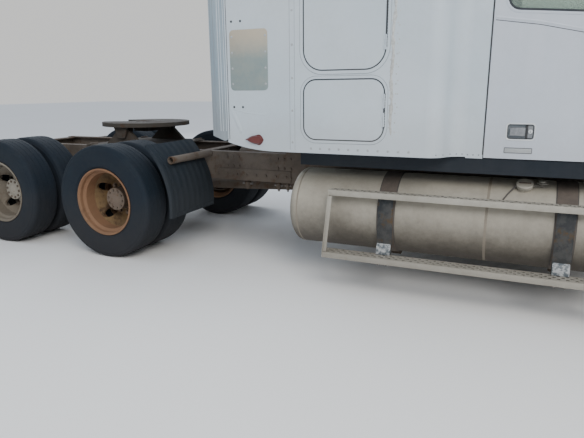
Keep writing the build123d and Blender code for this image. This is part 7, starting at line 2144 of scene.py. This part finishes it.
@dataclass
class Running:
    """Chassis detail: rail bolts, valves, tank beads, coupling bolts and lamp glasses."""

    rail_y: float = 0.432
    joint_x: tuple[float, ...] = (-3.86, -3.0, -2.31, -1.7, -1.21, -0.69, 0.62, 1.76, 2.35, 3.56)
    joint_z: tuple[float, ...] = (0.68, 0.765, 0.85)
    patch_x: tuple[float, float] = (-1.36, -0.56)
    patch_z: tuple[float, float] = (0.6375, 0.742)
    valves: tuple[tuple[float, float], ...] = ((-1.02, 0.03), (-0.7, 0.024), (-0.61, 0.018))
    valve_y: float = 0.395
    air_y: float = 0.235
    air_z: float = 0.765
    air_beads: tuple[float, ...] = (-1.402, -1.115, -0.828)
    air_cocks: tuple[float, ...] = (-1.25, -0.96)
    tail_y: tuple[float, ...] = (0.48, 0.564)
    tail_z: float = 0.82
    drop_x: float = -0.566
    drop_z: float = 1.093
    drop_length: float = 0.142
    drop_half: float = 0.034
    brow_z: float = 2.83
    brow_pitch: float = 0.32

    def rails(self, shop: Workshop) -> bpy.types.Object:
        """Bolt rows at the crossmembers, a bolted patch rail, and small valves under both rails."""
        parts = Kit(shop)
        bolt = hexagon(0.022, 0.0, 0.011)
        for _, side in SIDES:
            turn = (math.radians(-90 * side), 0.0, 0.0)
            for x in self.joint_x:
                for z in self.joint_z:
                    parts.row(bolt, FRAME, 3, (0.062, 0.0, 0.0),
                        (x, side * (self.rail_y - 0.0005), z), turn=turn)
            low, high = sorted((side * (self.rail_y - 0.0004), side * (self.rail_y + 0.0075)))
            strip = Shape().box((self.patch_x[0], low, self.patch_z[0]),
                (self.patch_x[1], high, self.patch_z[1]))
            parts.part("rail_patch", strip, FRAME, bevel=0.0015)
            parts.row(bolt, FRAME, 8, (0.1, 0.0, 0.0),
                (-1.31, side * (self.rail_y + 0.007), 0.69), turn=turn)
            for x, r in self.valves:
                y = side * self.valve_y
                body = Shape().turned([(0.6352, 0.0), (0.6352, r * 0.6), (0.622, r * 0.6),
                        (0.62, r), (0.588, r), (0.584, r * 0.8), (0.566, r * 0.72),
                        (0.564, r * 0.4), (0.55, r * 0.4), (0.55, 0.0)], (x, y, 0.0),
                    "Z", 20, False)
                parts.part("valve_body", body, FRAME)
                port = Shape().tube([(x - r * 1.7, y, 0.604), (x + r * 1.7, y, 0.604)], r * 0.34, 6)
                parts.part("valve_port", port, STEEL)
        return joined("rail_detail", parts)

    def air_tanks(self, shop: Workshop) -> bpy.types.Object:
        """Weld beads, ports and drain cocks of the air reservoirs."""
        parts = Kit(shop)
        for way in (1, -1):
            y = way * self.air_y
            for x in self.air_beads:
                bead = Shape().turned([(x - 0.006, 0.1052), (x, 0.1068), (x + 0.006, 0.1052)],
                    (0, y, self.air_z), "X", 48, False)
                parts.part("air_bead", bead, FRAME)
            for x in self.air_cocks:
                port = Shape().turned([(0.655, 0.0), (0.655, 0.009), (0.645, 0.009), (0.643, 0.014),
                        (0.634, 0.014), (0.634, 0.0)], (x, y, 0.0), "Z", 6, False)
                parts.part("drain_cock", port, STEEL)
        return joined("air_tank_detail", parts)

    def coupling(self, shop: Workshop) -> list[bpy.types.Object]:
        """Bolts on the base, and rivets and grease grooves on the top plate."""
        base = Kit(shop)
        for side in (1, -1):
            for x in (-2.86, -2.09):
                base.row(hexagon(0.027, 0.0, 0.014), FRAME, 4, (0.0, side * 0.028, 0.0),
                    (x, side * 0.362, 0.9085))
        plate = [shop.row(dome(0.009, 0.0035, 10), STEEL, 2, (0.0, 0.5, 0.0),
                (-2.24, -0.25, 1.1262))]
        for y in (0.14, 0.2):
            for side in (1, -1):
                groove = Shape().box((-2.74, side * y - 0.0045, 1.129),
                    (-2.36, side * y + 0.0045, 1.1304))
                plate.append(shop.part("grease_groove", groove, GREASE_DARK))
        return [joined("coupling_base_bolts", base), joined("coupling_plate_detail", plate)]

    def lenses(self, shop: Workshop) -> bpy.types.Object:
        """Amber brow lenses, ringed tail lamps and rims of the teardrop lamps."""
        parts = Kit(shop)
        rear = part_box("marker_lamps")[0][0]
        for k in range(-2, 3):
            cap = Shape().turned([(1.93, 0.0335), (1.984, 0.0335), (1.993, 0.0295),
                    (1.9985, 0.0165), (2.0, 0.0)], (0.0, self.brow_pitch * k, self.brow_z), "X",
                32, closed=False)
            parts.part("brow_lens", cap, LAMP_AMBER, smooth=50)
        for side in (1, -1):
            for y in self.tail_y:
                for r, w in ((0.036, 0.0016), (0.025, 0.0014), (0.014, 0.0014)):
                    ring = Shape().turned([(rear + 0.0012, r - w), (rear + 0.0002, r),
                            (rear + 0.0012, r + w)], (0, side * y, self.tail_z), "X", 32, False)
                    parts.part("tail_ring", ring, LAMP_RED)
            drop = [(self.drop_x + self.drop_length * t,
                    self.drop_half * math.sin(math.pi * t ** 2.53))
                for t in (k / 18 for k in range(19))]
            loop = [(x, self.drop_z + w) for x, w in drop] + [(x, self.drop_z - w)
                for x, w in drop[-2:0:-1]]
            rim = ring_strip(loop[::-1], [(-0.002, 0.001), (0.0, 0.004), (0.0042, 0.0035),
                    (0.005, -0.0005)], side * SLEEPER_HALF)
            parts.part("drop_rim", rim, LAMP_RED, smooth=60)
        return joined("lamp_glasses", parts)

    def build(self, shop: Workshop) -> None:
        """Builds the chassis detail and hands it over."""
        shop.place(self.rails(shop), "chassis", "rusty_frame")
        shop.place(self.air_tanks(shop), "chassis", "rusty_frame")
        base, plate = self.coupling(shop)
        shop.place(base, "chassis", "greasy_steel")
        shop.place(plate, "coupling_plate", "greasy_steel")
        shop.place(self.lenses(shop), "chassis", "lamp_red")


@dataclass
class Outfit:
    """Cab fittings: mirror panes and clamps, screen rubber, wipers, silencer guard."""

    stack: tuple[float, float] = (-0.93, 0.88)
    guard_z: tuple[float, float] = (1.42, 2.43)
    guard_radius: float = 0.127
    slot_columns: int = 15
    slot_rows: int = 20
    slot_pitch: float = 0.049
    band_z: tuple[float, ...] = (1.368, 2.47)
    band_radius: float = 0.1232
    mirror_x: float = 1.966
    mirror_y: float = 1.315
    panes: tuple[tuple[float, float], ...] = ((1.985, 2.235), (2.25, 2.356))
    arm_z: tuple[float, ...] = (1.93, 2.41)
    clamp_y: tuple[float, ...] = (1.13, 1.245)
    screen_x: float = 2.24
    screen_bow: float = 0.055
    screen_half: float = 0.89
    screen_corners: tuple[tuple[float, float], ...] = ((0.021, 1.95), (0.862, 1.95), (0.835, 2.605),
        (0.021, 2.605))

    def mirrors(self, shop: Workshop) -> None:
        """Reflecting panes and clamps on both mirror heads."""
        for word, side in SIDES:
            low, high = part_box(f"mirror_{word}")
            x = self.mirror_x - (high[0] - low[0]) / 2
            y, parts = side * self.mirror_y, []
            for z0, z1 in self.panes:
                pane = Shape().prism(rounded(y - 0.08, y + 0.08, z0, z1, 0.018, 5), x + 0.0008,
                    x + 0.003, "X")
                parts.append(shop.part("mirror_pane", pane, MIRROR))
            for z in self.arm_z:
                for yy in self.clamp_y:
                    band = Shape().turned([(side * yy - 0.008, 0.0125), (side * yy + 0.008, 0.0125),
                            (side * yy + 0.008, 0.0105), (side * yy - 0.008, 0.0105)],
                        (self.mirror_x, 0.0, z), "Y", 20)
                    parts.append(shop.part("mirror_clamp", band, STEEL))
            shop.place(joined(f"mirror_detail_{word}", parts), f"side_door_{word}", "bright_metal")

    def screen_point(self, y: float, z: float, off: float) -> Point:
        """Place on the windscreen, a distance off its outer face."""
        lean = SCREEN_LEAN
        x = self.screen_x - lean * (z - BELT_Z) - self.screen_bow * (y / self.screen_half) ** 2
        return (x + off, y, z + off * lean)

    def screen(self, shop: Workshop) -> bpy.types.Object:
        """Rubber round both panes, and the wipers parked along the bottom."""
        parts = Kit(shop)
        for side in (1, -1):
            loop = []
            for i, (y0, z0) in enumerate(self.screen_corners):
                y1, z1 = self.screen_corners[(i + 1) % 4]
                loop += [(y0 + (y1 - y0) * k / 10, z0 + (z1 - z0) * k / 10) for k in range(10)]
            rings = []
            inner, outer = offset_loop(loop, -0.006), offset_loop(loop, 0.007)
            for (yi, zi), (yo, zo) in zip(inner, outer):
                rings.append([self.screen_point(side * yi, zi, -0.006),
                        self.screen_point(side * yi, zi, -0.001),
                        self.screen_point(side * (yi + yo) / 2, (zi + zo) / 2, 0.0012),
                        self.screen_point(side * yo, zo, -0.001),
                        self.screen_point(side * yo, zo, -0.006)])
            parts.part("screen_rubber", Shape().loft(rings, caps=False, closed=True),
                SEAM, smooth=60)
            arm = [self.screen_point(side * 0.1, 1.93, 0.006),
                self.screen_point(side * 0.26, 1.962, 0.01),
                self.screen_point(side * 0.4, 1.986, 0.01)]
            parts.part("wiper_arm", Shape().tube(arm, 0.0042, 8), BLACK)
            blade = [self.screen_point(side * (0.12 + 0.06 * k), 1.982 + 0.002 * k, 0.0035)
                for k in range(10)]
            parts.part("wiper_blade", Shape().tube(blade, 0.0034, 6), BLACK)
        return joined("screen_fittings", parts)

    def guard(self, shop: Workshop) -> bpy.types.Object:
        """Perforated half guard round the silencer, with a band above and below it."""
        cx, cy = self.stack
        parts = Kit(shop)
        rings = []
        for z in self.guard_z:
            outer = [(cx + self.guard_radius * math.cos(t), cy + self.guard_radius * math.sin(t), z)
                for t in (math.radians(5 + 170 * k / 40) for k in range(41))]
            inner = [(cx + (p[0] - cx) * 0.985, cy + (p[1] - cy) * 0.985, z) for p in outer[::-1]]
            rings.append(outer + inner)
        parts.part("stack_guard", Shape().loft(rings), BRIGHT, smooth=40)
        slot = Shape().box((-0.0006, -0.0032, -0.017), (0.0006, 0.0032, 0.017))
        for k in range(self.slot_columns):
            a = math.radians(15 + 150 * k / (self.slot_columns - 1))
            parts.row(slot, SEAM, self.slot_rows, (0.0, 0.0, self.slot_pitch),
                (cx + self.guard_radius * math.cos(a), cy + self.guard_radius * math.sin(a),
                    self.guard_z[0] + 0.035 + self.slot_pitch / 2 * (k % 2)), turn=(0.0, 0.0, a))
        r = self.band_radius
        for z in self.band_z:
            band = Shape().turned([(z - 0.016, r - 0.003), (z - 0.015, r + 0.0015),
                    (z + 0.015, r + 0.0015), (z + 0.016, r - 0.003)], (cx, cy, 0.0), "Z", 48)
            parts.part("stack_band", band, STEEL, smooth=40)
        return joined("stack_fittings", parts)

    def build(self, shop: Workshop) -> None:
        """Builds all fittings."""
        self.mirrors(shop)
        shop.place(self.screen(shop), "chassis", "black_plastic")
        shop.place(self.guard(shop), "chassis", "bright_metal")


@dataclass
class StudioSet:
    """Camera at the photograph's place, a pale floor, and soft even light."""

    place: Point = (1.3317, -4.6106, 1.4403)
    yaw: float = 0.4243
    pitch: float = 0.2414
    roll: float = 0.0084
    lens: float = 32.206
    floor_half: float = 60.0
    pale: Colour = (0.8, 0.8, 0.79)
    sky_low: Colour = (0.52, 0.52, 0.52)
    sky_high: Colour = (0.8, 0.88, 1.0)
    sky_strength: float = 0.95

    def camera(self) -> None:
        """Places the camera from its yaw, pitch and roll."""
        ahead = Vector((-math.sin(self.yaw) * math.cos(self.pitch),
                math.cos(self.yaw) * math.cos(self.pitch), -math.sin(self.pitch)))
        right = Vector((math.cos(self.yaw), math.sin(self.yaw), 0.0))
        down = ahead.cross(right)
        across = math.cos(self.roll) * right + math.sin(self.roll) * down
        below = -math.sin(self.roll) * right + math.cos(self.roll) * down
        turn = Matrix((across, -below, -ahead)).transposed().to_4x4()
        data = bpy.data.cameras.new("view")
        data.sensor_width = 36.0
        data.sensor_fit = "HORIZONTAL"
        data.lens = self.lens
        data.clip_end = 500.0
        cam = bpy.data.objects.new("view", data)
        cam.matrix_world = Matrix.Translation(self.place) @ turn
        bpy.context.scene.collection.objects.link(cam)
        bpy.context.scene.camera = cam

    def floor(self, shop: Workshop) -> None:
        """Pale floor that keeps the vehicle's shadow."""
        h = self.floor_half
        slab = Shape().add([(-h, -h, 0.0), (h, -h, 0.0), (h, h, 0.0), (-h, h, 0.0)], [(0, 1, 2, 3)])
        obj = slab.object("studio_floor")
        shop.coat(obj, GROUND)

    def world(self) -> None:
        """Soft sky: even light from above, and a plain pale backdrop behind the vehicle."""
        world = bpy.data.worlds.new("studio")
        world.use_nodes = True
        bpy.context.scene.world = world
        tree = world.node_tree
        tree.nodes.clear()
        net = Net(tree)
        out = tree.nodes.new("ShaderNodeOutputWorld")
        seen = net.node("ShaderNodeBackground", {"Color": (*self.pale, 1.0), "Strength": 1.0})
        height = net.node("ShaderNodeSeparateXYZ",
            {"Vector": net.node("ShaderNodeTexCoord").outputs["Generated"]})
        sky = net.mix(net.ramp(height.outputs["Z"], -0.15, 0.8), self.sky_low, self.sky_high)
        light = net.node("ShaderNodeBackground", {"Color": sky, "Strength": self.sky_strength})
        path = net.node("ShaderNodeLightPath")
        direct = net.math("MAXIMUM", path.outputs["Is Camera Ray"],
            path.outputs["Is Transmission Ray"])
        chosen = net.node("ShaderNodeMixShader", {0: direct, 1: light.outputs[0],
                2: seen.outputs[0]})
        net.link(chosen.outputs[0], out.inputs["Surface"])

    def lamps(self) -> None:
        """One large key from behind the camera, on its right, and a weak fill from the far side."""
        for name, spot, aim, size, power, tint in (("key", (5.5, -8.5, 8.0), (0.2, -1.2, 1.2), 6.0,
                1020.0, (1.0, 0.97, 0.92)), ("fill", (-9.0, 6.0, 7.0), (-1.0, 0.0, 1.0), 7.0, 420.0,
                (0.92, 0.96, 1.0))):
            data = bpy.data.lights.new(name, "AREA")
            data.shape = "SQUARE"
            data.size = size
            data.energy = power
            data.color = tint
            lamp = bpy.data.objects.new(name, data)
            way = (Vector(aim) - Vector(spot)).normalized()
            lamp.matrix_world = Matrix.Translation(spot) @ way.to_track_quat("-Z",
                "Y").to_matrix().to_4x4()
            bpy.context.scene.collection.objects.link(lamp)

    def build(self, shop: Workshop) -> None:
        """Sets up camera, floor, world and lamps."""
        self.camera()
        self.floor(shop)
        self.world()
        self.lamps()


class Tractor:
    """The whole vehicle: each sub-assembly in building order."""

    def __init__(self, shop: Workshop) -> None:
        """Keeps the shared tools."""
        self.shop = shop

    def finishes(self) -> None:
        """Gives every CAD node its finish, and the glass its own."""
        for finish, names in NODE_FINISH:
            for name in names:
                for word in ("left", "right") if name.endswith("*") else ("",):
                    self.shop.coat(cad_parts[name.replace("*", word)], finish)
        pane = self.shop.paints.glass("cab_glass_tinted", (0.55, 0.66, 0.6), 0.06, 0.8)
        for node in ("windscreen", "door_glass_left", "door_glass_right"):
            self.shop.coat(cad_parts[node], pane)

    def wheels(self) -> None:
        """All six wheel sets."""
        for place, rim, disc, hub in (("front", GREY_WHEEL, GREY_WHEEL, PALE_HUB),
                ("forward", RUSTY_WHEEL, WHEEL_DISC, RUSTY_HUB),
                ("rear", GREY_WHEEL, GREY_WHEEL, PALE_HUB)):
            for _, side in SIDES:
                Wheel(place, rim, disc, hub).build(side, self.shop)

    def tanks(self) -> None:
        """Tanks, straps and steps; a node that holds both sides is replaced by one joined piece."""
        built = [FuelTank().build(side, self.shop) for _, side in SIDES]
        for i, (name, slot, node) in enumerate((("fuel_tank_pair", "tank_alloy", "fuel_tanks"),
                ("strap_set", "rusty_frame", "tank_straps"),
                ("step_set", "tank_alloy", "tank_steps"))):
            pair = joined(name, [built[0][i], built[1][i]])
            self.shop.place(pair, "chassis", slot, node)

    def fenders(self) -> None:
        """Quarter fenders and mud flaps of both sides, as one piece."""
        parts = []
        for _, side in SIDES:
            parts += [QuarterFender().build(side, self.shop), MudFlap().build(side, self.shop)]
        self.shop.place(joined("fenders_flaps_set", parts), "chassis", "black_plastic",
            "fenders_and_flaps")

    def body(self) -> None:
        """Trim on the sleeper, the doors and the bonnet."""
        for word, side in SIDES:
            self.shop.place(SleeperSide().build(side, self.shop), "chassis", "cab_paint")
            self.shop.place(DoorTrim().build(side, self.shop), f"side_door_{word}", "door_paint")
            self.shop.place(DoorTrim().jamb(side, self.shop), "chassis", "black_plastic")
        self.shop.place(FrontEnd().build(self.shop), "tilt_bonnet", "bright_metal")
        self.shop.place(FrontEnd().screen(self.shop), "tilt_bonnet", "black_plastic")

    def fittings(self) -> None:
        """The inside, the chassis detail and the cab's fittings."""
        for part in (CabInside(), Running(), Outfit()):
            part.build(self.shop)

    def build(self) -> None:
        """Builds everything in order."""
        self.finishes()
        for step in (self.wheels, self.tanks, self.fenders, self.body, self.fittings):
            log.info("building %s", step.__name__)
            step()


def main() -> None:
    """Builds the set and the vehicle."""
    logging.basicConfig(level=logging.INFO, format="%(message)s")
    shop = Workshop()
    StudioSet().build(shop)
    Tractor(shop).build()


if __name__ == "__main__":
    main()
